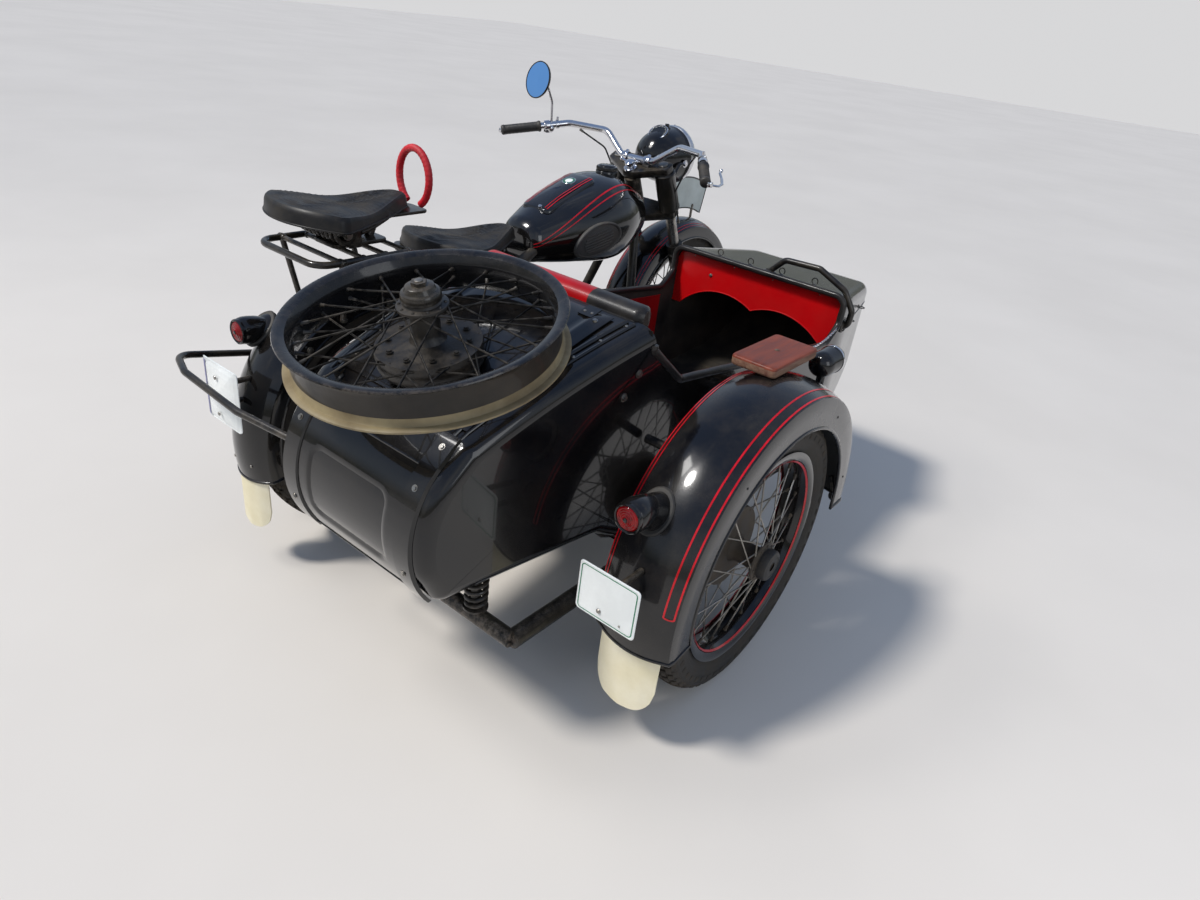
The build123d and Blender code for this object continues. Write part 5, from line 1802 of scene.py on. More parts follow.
@dataclass
class CarFender:
    """Mudguard of the sidecar wheel with its lines, side lamp and wooden pad."""

    centre: Vector = field(default_factory=lambda: Vector(CAR_GUARD))
    radius: float = CAR_GUARD_RADIUS
    half: float = 0.092
    crown: float = 0.026
    skirt: float = 0.062
    end: float = 190.0
    stays: Outline = ((-0.225, 0.630), (-0.565, 0.600))
    pad_size: tuple[float, float, float] = (0.200, 0.104, 0.022)
    pad_place: tuple[float, float] = (-0.282, -0.620)
    lamp_x: float = -0.176
    lamp_z: float = 0.716
    lamp_post_x: float = -0.135

    def guard(self) -> None:
        """Build the sheet with its bead, stays and painted lines."""
        sheet = Fender(self.centre, self.radius, self.half, self.crown, self.skirt, 0.0, self.end)
        shape = Shape()
        sheet.shell(shape)
        outer = loop_line(4.0, 173.5, -0.0835, -0.064, 0.004, self.radius)
        inner = loop_line(4.0, 171.5, 0.0865, 0.0785, 0.002, self.radius)
        sheet.line(shape, outer, 0.0034, 1)
        sheet.line(shape, inner, 0.0028, 1)
        for x, z in self.stays:
            shape.rod(Vector((x, -0.580, z)), Vector((x, -0.512, z)), 0.0098, 18, 2)
            shape.lathe(
                [(0.0185, 0.0), (0.0185, 0.005), (0.011, 0.008)], Vector((x, -0.5795, z)), Y_AXIS, 24,
                2
            )
        tip = Vector((0.020, -0.735, 0.330))
        shape.ball(tip + Vector((0.0, 0.0, -0.004)), 0.0135, 18, 3)
        shape.rod(tip + Vector((-0.004, 0.004, 0.012)), tip + Vector((-0.006, 0.018, 0.05)), 0.006, 12, 2)
        for turn in (14.0, 60.0, 128.0):
            dome_screw(shape, sheet.skin(turn, -self.half - 0.03, 0.0), -Y_AXIS, 0.0028, 2)
        shape.make(
            "car_mudguard", [FENDER_BLACK, STRIPE_RED, FRAME_BLACK, RUBBER], Body.ROOT, Slot.BLACK,
            ["sidecar_fender"]
        )

    def pad(self) -> None:
        """Build the wooden pad on its packing pieces, with a screw in the middle."""
        shape = Shape()
        length, width, thick = self.pad_size
        centre = Vector((*self.pad_place, self.centre.z + self.radius + 0.002))
        random_edge = random.Random(5)
        outline = rounded_box(length, width, 0.009, 4)
        levels = (
            (0.0, -0.0035), (0.0016, -0.001), (0.006, 0.0), (0.016, 0.0), (0.0195, -0.0008),
            (0.0212, -0.0026),
            (thick, -0.0062),
        )
        rings = []
        for lift, grow in levels:
            ring = []
            for x, y in outline:
                scale = Vector((x, y)).length
                rough = random_edge.uniform(
                    -0.0009, 0.0003
                ) if lift < 0.008 else random_edge.uniform(-0.0002, 0.0)
                pull = (scale + grow + rough) / scale
                ring.append(centre + Vector((x * pull, y * pull, lift)))
            rings.append(ring)
        coats = (1, 1, 1, 0, 0, 0)
        for low, high, coat in zip(rings, rings[1:], coats):
            shape.strip([low, high], coat)
        top = rings[-1]
        steps = 8
        high = centre + Z_AXIS * thick
        for i in range(1, steps + 1):
            inset = [high + (point - high) * (1 - i / steps * 0.98) for point in rings[-1]]
            shape.strip([top, inset], 0)
            top = inset
        shape.strip([top, [point + Z_AXIS * 0.00001 for point in top]], 0, True, False, (False, True))
        shape.strip(
            [rings[0], [point - Z_AXIS * 0.0001 for point in rings[0]]], 1, True, False, (False, True)
        )
        for x in (-0.060, 0.070):
            low = centre.z - 0.004 - (0.008 if x > 0 else 0.002)
            place = Vector((centre.x + x, centre.y, (low + centre.z) / 2 - 0.002))
            shape.block(place, (0.028, 0.066, centre.z - low + 0.004), coat=1)
        screw = [(0.0062, -0.001), (0.0062, 0.0002), (0.0048, 0.0009), (0.0, 0.0011)]
        shape.lathe(screw, high + X_AXIS * 0.004, Z_AXIS, 20, 2)
        shape.make(
            "wooden_pad", [WOOD, RAW_WOOD, RUSTED], Body.ROOT, Slot.WOOD, ["wood_pad"], crease=50,
            weld=True
        )

    def headlight(self) -> None:
        """Build the side lamp on top of the mudguard, its glass looking forward."""
        shape = Shape()
        back = Vector((self.lamp_x, self.centre.y - 0.006, self.lamp_z))
        shell = [
            (0.0, 0.0), (0.008, 0.0006), (0.018, 0.004), (0.0255, 0.011), (0.0292, 0.021), (0.0302, 0.03),
            (0.0306, 0.072), (0.0312, 0.075), (0.0312, 0.079), (0.029, 0.079),
        ]
        shape.lathe(shell, back, X_AXIS, 48, 0)
        rim = [
            (0.0318, 0.071), (0.0322, 0.074), (0.032, 0.081), (0.030, 0.0838), (0.0272, 0.0836),
            (0.0264, 0.081),
            (0.029, 0.074),
        ]
        shape.lathe(rim, back, X_AXIS, 56, 1, looped=True)
        shape.lathe([(0.0275, 0.0812), (0.02, 0.0834), (0.01, 0.0842), (0.0, 0.0844)], back, X_AXIS, 40, 2)
        sit = self.centre.z + math.sqrt(self.radius ** 2 - (self.lamp_post_x - self.centre.x) ** 2)
        post = [(0.021, 0.0), (0.021, 0.004), (0.0125, 0.009), (0.0098, 0.014), (0.0098, 0.04)]
        shape.lathe(post, Vector((self.lamp_post_x, back.y, sit - 0.004)), Z_AXIS, 28, 0)
        dome_screw(shape, back + Vector((0.077, 0.0, 0.0318)), Z_AXIS, 0.0022, 1)
        dome_screw(shape, back + Vector((0.077, 0.0, -0.0318)), -Z_AXIS, 0.003, 1)
        shape.make("side_lamp", [GLOSS_BLACK, CHROME, LAMP_GLASS], Body.ROOT, Slot.BLACK, ["front_lamp"])

    def build(self) -> None:
        """Build the mudguard and what sits on it."""
        self.guard()
        self.pad()
        self.headlight()


@dataclass
class RearTrim:
    """Cream flaps, blank plates, tail lamps and the bent bumper."""

    flap_bolt: tuple[float, float, float] = (-0.9635, 0.035, 0.30)
    rear_plate: Vector = field(default_factory=lambda: Vector((-1.004, 0.356, 0.485)))
    car_plate: Vector = field(default_factory=lambda: Vector((-0.848, -0.661, 0.430)))
    stud: float = 0.0066
    stud_rise: float = 0.024
    bumper_bend: float = 0.046
    bumper_tube: float = 0.0082

    def flaps(self) -> None:
        """Build the two cream flaps."""
        shape = Shape()
        MudFlap(REAR_AXLE, REAR_GUARD_RADIUS, 12.0, 0.062, 0.0189, 0.140).add_to(shape)
        MudFlap(CAR_GUARD, CAR_GUARD_RADIUS, 10.0, 0.072, 0.0154, 0.150).add_to(shape)
        x, y, z = self.flap_bolt
        for side in (-1, 1):
            dome_screw(shape, on_bike(x, side * y, z), -X_AXIS, 0.004, 1)
        shape.make("cream_flaps", [CREAM, DULL_CHROME], Body.ROOT, Slot.CREAM, ["mud_flaps"])

    def plates(self) -> None:
        """Build the blank rear plates with their screws and brackets."""
        shape = Shape()
        BlankPlate(self.rear_plate, 0.070, 0.150, 0.012, 2, banded=True).add_to(shape)
        BlankPlate(self.car_plate, 0.068, 0.110, 0.003, 1).add_to(shape)
        for spot, centre, radius in (
            (self.rear_plate, REAR_AXLE, REAR_GUARD_RADIUS),
            (self.car_plate, CAR_GUARD, CAR_GUARD_RADIUS),
        ):
            for level in (-self.stud_rise, self.stud_rise):
                z = spot.z + level
                end = centre.x - math.sqrt(radius ** 2 - (z - centre.z) ** 2) - 0.0006
                start = Vector((spot.x + 0.0006, centre.y, z))
                shape.rod(start, Vector((end, centre.y, z)), self.stud, 16, 3)
        for spot, y, z, radius in (
            (self.car_plate, 0.012, -0.032, 0.0048), (self.car_plate, -0.036, -0.038, 0.0022),
            (self.rear_plate, 0.0, 0.045, 0.0048), (self.rear_plate, 0.0, -0.045, 0.0048),
        ):
            bolt = spot + Vector((-0.0022 + 0.002 * (y / 0.07) ** 2, y, z))
            dome_screw(shape, bolt, -X_AXIS, radius, 4)
        coats = [WHITE_PAINT, PLATE_GREEN, PLATE_BLUE, FRAME_BLACK, DULL_CHROME]
        shape.make("blank_plates", coats, Body.ROOT, Slot.PLATE, ["number_plates"])

    def lamps(self) -> None:
        """Build both tail lamps, each foot seated on its mudguard."""
        shape = Shape()
        for back, centre, radius in (
            (Vector((-0.914, 0.410, 0.601)), REAR_AXLE, REAR_GUARD_RADIUS - 0.0029),
            (Vector((-0.800, -0.648, 0.578)), CAR_GUARD, CAR_GUARD_RADIUS - 0.0009),
        ):
            axis_point = Vector((centre.x, back.y, centre.z))
            out = (back + X_AXIS * 0.052 - axis_point).normalized()
            TailLamp(back, axis_point + out * radius, out).build(shape)
        shape.make(
            "bullet_tail_lamps", [GLOSS_BLACK, RUBBER, LENS_RED], Body.ROOT, Slot.BLACK,
            ["tail_lamps"]
        )

    def bumper(self) -> None:
        """Build the bent tube bumper round the motorcycle's plate."""
        shape = Shape()
        corners = [
            on_bike(REAR_AXLE_X - 0.020, 0.112, AXLE_Z + 0.112), on_bike(-0.800, 0.122, 0.500),
            on_bike(-1.028, 0.122, 0.548), on_bike(-1.058, 0.030, 0.548), on_bike(-1.058, -0.180, 0.535),
            on_car(-1.010, 0.150, 0.520),
        ]
        shape.tube(rounded_route(corners, self.bumper_bend, 12), self.bumper_tube, 16, 0)
        shape.make("bent_tube_bumper", [FRAME_BLACK], Body.ROOT, Slot.BLACK, ["rear_bumper"])

    def build(self) -> None:
        """Build the flaps, plates and lamps."""
        self.flaps()
        self.plates()
        self.lamps()


@dataclass
class BlankPlate:
    """Blank rear plate with a raised edge, and a painted line or a side band.

    The sides bend forward by the bow.
    """

    centre: Vector
    half: float
    rise: float
    bow: float
    line_coat: int
    banded: bool = False
    thick: float = 0.002
    board_coat: int = 0

    def at(self, y: float, z: float, depth: float) -> Vector:
        """Return a point by its place on the board and its depth toward the rear."""
        return self.centre + Vector((self.bow * (y / self.half) ** 2 - depth, y, z))

    def add_to(self, shape: Shape) -> None:
        """Add the board and its line.

        Args:
            shape: Shape to add to.
        """
        thick = self.thick
        outline = rounded_box(2 * self.half, self.rise, 0.008, 4)
        rings = []
        for depth, grow in (
            (0.0012, -0.0018), (0.0, 0.0), (thick - 0.0006, 0.0), (thick, -0.001), (thick + 0.0006, -0.0022),
            (thick, -0.0036),
        ):
            wider, higher = 1 + grow / self.half, 1 + grow * 2 / self.rise
            ring = [self.at(y, z, depth) for y, z in outline]
            for point, (y, z) in zip(ring, outline):
                point.y, point.z = self.centre.y + y * wider, self.centre.z + z * higher
            rings.append(ring)
        shape.strip(rings, self.board_coat)
        for ring, depth in ((rings[0], 0.0012), (rings[-1], thick)):
            last = ring
            for i in range(1, 7):
                share = 1 - i / 6 * 0.97
                inset = [self.at(y * share, z * share, depth) for y, z in outline]
                shape.strip([last, inset], self.board_coat)
                last = inset
            shape.face(shape.add(last), self.board_coat)
        if self.banded:
            high = self.rise / 2 - 0.006
            band = [
                [self.at(self.half - gap, z, thick + 0.0005) for z in (high, 0.0, -high)]
                for gap in (0.004, 0.012, 0.020)
            ]
            shape.strip(band, self.line_coat, closed=False)
            return
        frames = []
        for inset, corner in ((0.0095, 0.0075), (0.013, 0.006)):
            edge = rounded_box(2 * self.half - inset, self.rise - inset, corner, 5)
            frames.append([self.at(y, z, thick + 0.0005) for y, z in edge])
        shape.strip(frames, self.line_coat)


@dataclass
class BikeFenders:
    """Front and rear mudguards of the motorcycle, with their stays and lines."""

    front_radius: float = 0.364
    rear_radius: float = REAR_GUARD_RADIUS
    front_half: float = 0.0666
    rear_half: float = 0.078
    seam_turn: float = 132.0
    front_stay: tuple[float, float] = (0.240, 0.222)

    def front(self) -> None:
        """Build the mudguard that turns with the fork."""
        sheet = Fender(FRONT_AXLE, self.front_radius, self.front_half, 0.026, 0.034, 8.0, 172.0)
        shape = Shape()
        sheet.shell(shape)
        boss = [(0.009, 0.0), (0.009, 0.004), (0.004, 0.006)]
        for side in (-1, 1):
            route = loop_line(11.0, 169.0, side * 0.058, side * 0.049, 0.002, self.front_radius)
            sheet.line(shape, route, 0.0026, 1)
            top = FRONT_AXLE + Vector((self.front_stay[0], side * 0.0685, self.front_stay[1]))
            low = FRONT_AXLE + Vector((0.03, side * 0.0695, 0.036))
            shape.tube([top, low], 0.0048, 12, 2)
            shape.lathe(boss, top - Y_AXIS * (side * 0.001), Y_AXIS * side, 16, 3)
        coats = [GLOSS_BLACK, STRIPE_RED, FRAME_BLACK, DULL_CHROME]
        shape.make("front_mudguard", coats, Body.STEERING, Slot.BLACK, ["front_fender"])

    def rear(self) -> None:
        """Build the rear mudguard with its hinge seam and stays."""
        sheet = Fender(REAR_AXLE, self.rear_radius, self.rear_half, 0.032, 0.030, 62.0, 192.0)
        shape = Shape()
        sheet.shell(shape)
        seam = (-0.077, -0.055, -0.03, 0.0, 0.03, 0.055, 0.077)
        shape.tube([sheet.skin(self.seam_turn, across, 0.0006) for across in seam], 0.0026, 8, 0)
        for side in (-1, 1):
            top = on_bike(REAR_AXLE_X, side * 0.0805, 0.662)
            shape.rod(top, on_bike(REAR_AXLE_X, side * 0.112, 0.4585), 0.0066, 14, 1)
            bolt_head(shape, top + Vector((0.0, side * 0.006, -0.012)), Y_AXIS * side, 0.006, 2)
            hinge = sheet.skin(self.seam_turn, side * (self.rear_half + 0.012), 0.002)
            bolt_head(shape, hinge, Y_AXIS * side, 0.0055, 2)
        coats = [GLOSS_BLACK, FRAME_BLACK, DULL_CHROME]
        shape.make("rear_mudguard", coats, Body.ROOT, Slot.BLACK, ["rear_fender"])

    def build(self) -> None:
        """Build both."""
        self.front()
        self.rear()


@dataclass
class FrontPlate:
    """Blank curved plate that stands along the front mudguard on two studs."""

    radius: float = 0.320
    thick: float = 0.002
    low: Outline = ((0.675, 0.708), (0.935, 0.700))
    top: Outline = ((0.655, 0.808), (0.955, 0.800))
    steps: int = 24
    stud_reach: float = 0.07
    stud_radius: float = 0.0048

    def arc(self, corners: Outline, share: float) -> Vector:
        """Return a point of the arc between two corners, in the centre plane.

        Args:
            corners: The two ends as (x, z).
            share: Share of the way between them.

        Returns:
            The point, with y as zero.
        """
        start, end = (Vector((x, 0.0, z)) for x, z in corners)
        chord = end - start
        bow, sink = (
            self.radius - math.sqrt(self.radius ** 2 - reach ** 2)
            for reach in (chord.length / 2, (share - 0.5) * chord.length)
        )
        up = Vector((-chord.z, 0.0, chord.x)).normalized()
        return start.lerp(end, share) + up * (bow - sink)

    def build(self) -> None:
        """Build the plate with its rim and studs."""
        shape = Shape()
        middle = Y_AXIS * BIKE_Y
        shares = [i / self.steps for i in range(self.steps + 1)]
        for side in (-1, 1):
            face = middle + Y_AXIS * (side * self.thick / 2)
            rows = [
                [self.arc(self.low, share).lerp(self.arc(self.top, share), k / 6) + face for share in shares]
                for k in range(7)
            ]
            shape.strip(rows, 0, closed=False)
        edge = [self.arc(self.low, share) for share in shares] + [
            self.arc(self.top, 1 - share)
            for share in shares
        ]
        shape.tube([point + middle for point in edge], 0.0028, 8, 1, looped=True)
        for ahead in (-self.stud_reach, self.stud_reach):
            foot = FRONT_AXLE + Vector((ahead, 0.0, math.sqrt(0.3645 ** 2 - ahead ** 2)))
            shape.rod(foot, foot + Z_AXIS * 0.05, self.stud_radius, 12, 2)
            for side in (-1, 1):
                bolt_head(shape, foot + Vector((0.0, side * 0.001, 0.043)), Y_AXIS * side, 0.0045, 2)
        shape.make(
            "front_blank_plate", [GREY_PAINT, FRAME_BLACK, DULL_CHROME], Body.STEERING, Slot.PLATE,
            ["front_plate"]
        )


@dataclass
class Mudguards:
    """All mudguards with what they carry."""

    def build(self) -> None:
        """Build the bumper, the mudguards, the front plate and the rear trim."""
        trim = RearTrim()
        trim.bumper()
        CarFender().build()
        BikeFenders().build()
        FrontPlate().build()
        trim.build()


# Sidecar body


def polyline_at(points: Sequence[tuple[float, float]], x: float) -> float:
    """Return the height of a polyline of rising x at a place.

    Args:
        points: Corners in rising order of x.
        x: Place that is asked for.

    Returns:
        The height there.
    """
    if x <= points[0][0]:
        return points[0][1]
    for (x0, z0), (x1, z1) in zip(points, points[1:]):
        if x <= x1:
            return lerp(z0, z1, (x - x0) / (x1 - x0)) if x1 > x0 else z1
    return points[-1][1]


def arc_through(first: Point, middle: Point, last: Point, steps: int) -> list[Point]:
    """Return points on the arc through three points.

    Args:
        first: First point.
        middle: Point between.
        last: Last point.
        steps: Number of straight pieces.

    Returns:
        Points of the arc, both ends included.
    """
    ax, ay = first
    bx, by = middle
    cx, cy = last
    d = 2 * (ax * (by - cy) + bx * (cy - ay) + cx * (ay - by))
    ux = (
        (ax * ax + ay * ay) * (by - cy)
        + (bx * bx + by * by) * (cy - ay)
        + (cx * cx + cy * cy) * (ay - by)
    ) / d
    uy = (
        (ax * ax + ay * ay) * (cx - bx)
        + (bx * bx + by * by) * (ax - cx)
        + (cx * cx + cy * cy) * (bx - ax)
    ) / d
    radius = math.hypot(ax - ux, ay - uy)
    start = math.atan2(ay - uy, ax - ux)
    mid = math.atan2(by - uy, bx - ux)
    end = math.atan2(cy - uy, cx - ux)
    for candidate in (0.0, 2 * math.pi, -2 * math.pi):
        low, high = sorted((start, end + candidate))
        for turn in (-2 * math.pi, 0.0, 2 * math.pi):
            if low < mid + turn < high and high - low < 2 * math.pi:
                finish = end + candidate
                return [
                    (
                        ux + radius * math.cos(lerp(start, finish, i / steps)),
                        uy + radius * math.sin(lerp(start, finish, i / steps))
                    )
                    for i in range(steps + 1)
                ]
    return [first, middle, last]


def rounded_2d(
    corners: Sequence[tuple[float, float]], bend: float, steps: int = 5
) -> list[tuple[float, float]]:
    """Round the corners of a flat route."""
    route = rounded_route([Vector((x, 0.0, z)) for x, z in corners], bend, steps)
    return [(point.x, point.z) for point in route]


TAIL = arc_through((-1.046, 0.394), (-1.091, 0.525), (-1.052, 0.638), 16)
DECK = arc_through((-0.992, 0.697), (-0.800, 0.771), (-0.580, 0.832), 18)
STEM = arc_through((0.732, 0.635), (0.672, 0.460), (0.542, 0.372), 12)
ENTRY = rounded_2d(
    [(-0.576, 0.860), (-0.576, 0.790), (-0.470, 0.704), (0.265, 0.612), (0.325, 0.662), (0.325, 0.760)],
    0.036, 6
)


PLAN = (
    (-1.100, 0.206), (-0.500, 0.272), (0.365, 0.283), (0.652, 0.205 + 0.078 * 0.08 / 0.367),
    (0.7331, 0.205)
)
BELLY = ((-0.660, 0.386), (-0.520, 0.300), (0.250, 0.300), (0.542, 0.372))
BULKHEAD_X = -0.576
COWL_X = 0.325


def half_width(x: float) -> float:
    """Return the half width of the body at a place along it."""
    return polyline_at(PLAN, x)


@dataclass
class HullForm:
    """Boat-shaped sheet body: boot, open cockpit and cowl."""

    sheet: float = 0.003
    edge: float = 0.030
    nose_corner: float = 0.080
    seam_z: float = 0.6405
    strap_width: float = 0.046
    strap_lift: float = 0.0068
    rivet: float = 0.0036
    lid_half: float = 0.178
    lid_front: float = -0.5962
    lid_rear: float = -0.9718
    panel_half: float = 0.172
    press_depth: float = 0.0055

    def inset(
        self, route: Sequence[tuple[float, float]], depth: float, inside: Vector
    ) -> list[tuple[float, float]]:
        """Move an open route inward by a depth, square to its run.

        Args:
            route: Points of the route, in order.
            depth: How far to move.
            inside: A point inside the body, to tell which way is in.

        Returns:
            The moved rows.
        """
        moved = []
        for i, (x, z) in enumerate(route):
            before = route[max(i - 1, 0)]
            after = route[min(i + 1, len(route) - 1)]
            run = Vector((after[0] - before[0], after[1] - before[1])).normalized()
            normal = Vector((-run.y, run.x))
            if normal.dot(inside - Vector((x, z))) < 0:
                normal = -normal
            moved.append((x + normal.x * depth, z + normal.y * depth))
        return moved

    def side(self, x: float, z: float, hand: int, out: float = 0.0) -> Vector:
        """Return a point on a side face; hand is 1 on the left and -1 on the right."""
        return on_car(x, hand * (half_width(x) + out), z)

    def ribbon(
        self, shape: Shape, route: Sequence[tuple[float, float]], inside: Vector, coat: int,
        columns: int = 12
    ) -> tuple[list, list]:
        """Cover a route from side to side, its edges rounded.

        Args:
            shape: Shape to add to.
            route: Rows (x, z) of the outline.
            inside: A point inside the body, to tell which way is in.
            coat: Finish number.
            columns: Strips across the flat middle.

        Returns:
            The left and the right line where the rounding meets the side faces.
        """
        r = self.edge
        deep = self.inset(route, r, inside)
        steps = 6
        rings = []
        for (x, z), (dx, dz) in zip(route, deep):
            ring = []
            for k in range(steps + 1):
                a = math.pi / 2 * k / steps
                px, pz = lerp(dx, x, math.sin(a)), lerp(dz, z, math.sin(a))
                ring.append(on_car(px, -(half_width(px) - r * (1 - math.cos(a))), pz))
            for k in range(1, columns):
                y = lerp(-(half_width(x) - r), half_width(x) - r, k / columns)
                ring.append(on_car(x, y, z))
            for k in range(steps, -1, -1):
                a = math.pi / 2 * k / steps
                px, pz = lerp(dx, x, math.sin(a)), lerp(dz, z, math.sin(a))
                ring.append(on_car(px, (half_width(px) - r * (1 - math.cos(a))), pz))
            rings.append(ring)
        shape.strip(rings, coat, closed=False)
        return [ring[-1] for ring in rings], [ring[0] for ring in rings]

    def boot(self) -> None:
        """Build the boot: deck, tail, side faces, channels, bolts and rivets."""
        shape = Shape()
        low = [(-0.576, 0.3425), (-0.660, 0.386), (-0.90, 0.392), (-1.010, 0.394)]
        corner = rounded_2d([(-1.010, 0.394), TAIL[0], TAIL[5]], 0.045, 8)
        tail_line = corner + list(TAIL[6:]) + rounded_2d(
            [TAIL[-1], (-1.022, 0.6675), (-0.992, 0.697), DECK[2]], 0.05, 6
        )[1:]
        deck = list(DECK[3:]) + [(-0.576, 0.8332)]
        route = low + tail_line[1:] + deck
        inside = Vector((-0.80, 0.55))
        fine = []
        for first, second in zip(route, route[1:]):
            pieces = max(int(math.hypot(second[0] - first[0], second[1] - first[1]) / 0.02), 1)
            for k in range(pieces):
                fine.append((lerp(first[0], second[0], k / pieces), lerp(first[1], second[1], k / pieces)))
        fine.append(route[-1])
        left, right = self.ribbon(shape, fine, inside, 0, 16)
        for line, hand in ((left, 1), (right, -1)):
            self._side_face(shape, line, hand, inside)
        self._channels(shape)
        self._bands(shape)
        self._rivets(shape)
        shape.make("boot_body", [GLOSS_BLACK, DULL_CHROME, DULL_BLACK], Body.ROOT, Slot.BLACK, (), crease=32)

    def _side_face(self, shape: Shape, line: Sequence[Vector], hand: int, inside: Vector) -> None:
        """Fill a side face inside its rounded edge by rows that shrink to the middle.

        Args:
            shape: Shape to add to.
            line: Line where the rounding ends.
            hand: 1 on the left and -1 on the right.
            inside: A point inside the body, to tell which way is in.
        """
        ring = [Vector(point) for point in line]
        last = ring
        for share in (0.2, 0.45, 0.7, 0.9, 0.999):
            row = []
            for point in ring:
                x, z = lerp(point.x, inside.x, share), lerp(point.z, inside.y, share)
                if share < 0.999:
                    x = min(x, -0.576)
                row.append(self.side(x, z, hand))
            shape.strip([last, row], 0, closed=False)
            last = row
        top, foot = ring[-1], ring[0]
        count = 6
        column = [self.side(-0.576, lerp(foot.z, top.z, i / count), hand) for i in range(count + 1)]
        middle = self.side(inside.x, inside.y, hand)
        numbers = shape.add(column)
        centre = shape.add([middle])[0]
        for i in range(count):
            shape.face((numbers[i], numbers[i + 1], centre), 0)

    def _deck_at(self, x: float) -> float:
        """Return the height of the deck and shoulder at a place."""
        tail = [(-1.052, 0.638), (-1.035, 0.6565), (-0.992, 0.693)]
        return polyline_at([*tail, *DECK[1:], (BULKHEAD_X, 0.833)], x)

    def _channels(self, shape: Shape) -> None:
        """Add the raised lips of the rain channel along each side of the deck.

        Args:
            shape: Shape to add to.
        """
        for hand in (1, -1):
            for inset, lift in ((0.040, 0.0035), (0.058, 0.0045)):
                route = []
                for i in range(34):
                    x = lerp(-0.588, -1.040, i / 33)
                    route.append(on_car(x, hand * (half_width(x) - inset), self._deck_at(x) + lift * 0.55))
                shape.tube(route, lift, 8, 0, squash=0.7)

    def _bands(self, shape: Shape) -> None:
        """Add the two flat straps down the tail, with their bolts.

        Args:
            shape: Shape to add to.
        """
        outer = []
        for i in range(30):
            share = i / 29
            if share < 0.45:
                x = lerp(-0.985, -1.052, share / 0.45)
                outer.append((x, self._deck_at(x)))
            else:
                index = (1 - (share - 0.45) / 0.55) * 16
                low = int(min(index, 15))
                (x0, z0), (x1, z1) = TAIL[low], TAIL[low + 1]
                outer.append((lerp(x0, x1, index - low), lerp(z0, z1, index - low)))
        proud = self.inset(outer, self.strap_lift, Vector((-2.0, 1.2)))
        offset = Y_AXIS * (self.strap_width / 2)
        for hand in (-1, 1):
            y = CAR_Y + hand * (half_width(-1.05) - 0.05)
            rows = []
            for (x, z), (px, pz) in zip(outer, proud):
                a, b = Vector((x, y, z)), Vector((px, y, pz))
                rows.append([a - offset, b - offset * 0.88, b + offset * 0.88, a + offset])
            shape.strip(rows, 0, closed=False)
            for i in (4, 14, 24):
                (ax, az), (bx, bz) = proud[i + 1], proud[i - 1]
                out = Vector((ax - bx, 0.0, az - bz)).normalized().cross(Y_AXIS)
                if out.x > 0:
                    out = -out
                bolt_head(shape, Vector((proud[i][0], y, proud[i][1])), out, 0.0042, 1)

    def _rivets(self, shape: Shape) -> None:
        """Add rivets along the seam strips and bolts on the right side.

        Args:
            shape: Shape to add to.
        """
        for hand in (-1, 1):
            for i in range(7):
                x = lerp(-1.00, -0.60, i / 6)
                place = on_car(x, hand * (half_width(x) - 0.049), self._deck_at(x) + 0.0004)
                dome_screw(shape, place, Vector((-0.3, 0.0, 1.0)).normalized(), self.rivet, 1)
            for x, z in ((-0.606, 0.748), (-0.640, 0.706)):
                bolt_head(shape, self.side(x, z, hand), Y_AXIS * hand, 0.0062, 1)

    def middle(self) -> None:
        """Build the open cockpit part: two sides with both faces, and the floor."""
        shape = Shape()
        path = [(BULKHEAD_X, 0.8335)] + [point for point in ENTRY if point[1] <= 0.8335 and point[0] < 0.3249]
        path += [(COWL_X, 0.6625), (COWL_X, 0.735)]
        for hand in (-1, 1):
            for out, coat in ((0.0, 0), (-self.sheet, 1)):
                rows = []
                for x, z in path:
                    foot = polyline_at(BELLY, x)
                    rows.append([self.side(x, lerp(foot, z, k / 7), hand, out) for k in range(8)])
                shape.strip(rows, coat, closed=False)
        for lift, coat in ((0.0, 0), (0.003, 1)):
            rows = []
            for x in (-0.576, -0.520, -0.3, 0.0, 0.250, 0.325):
                z = polyline_at(BELLY, x) + lift
                rows.append([on_car(x, half_width(x) * s, z) for s in (-1, -0.5, 0, 0.5, 1)])
            shape.strip(rows, coat, closed=False)
        for x, coat in ((-0.5775, 1), (-0.5790, 0)):
            rows = []
            for k in range(6):
                z = lerp(0.345, 0.828, k / 5)
                rows.append([on_car(x, (half_width(x) - 0.004) * s, z) for s in (-1, 0, 1)])
            shape.strip(rows, coat, closed=False)
        shape.make("cockpit_sides", [GLOSS_BLACK, INSIDE_DARK], Body.ROOT, Slot.BLACK, ())

    def nose_side(self, x: float) -> float:
        """Return the half width at the nose with its rounded plan corners.

        Args:
            x: Place along the outfit.

        Returns:
            The half width there.
        """
        r = self.nose_corner
        start = 0.733 - r
        width = half_width(x)
        if x <= start:
            return width
        share = min((x - start) / r, 1.0)
        return width - r * (1 - math.sqrt(max(1 - share * share, 0.0))) * 0.98

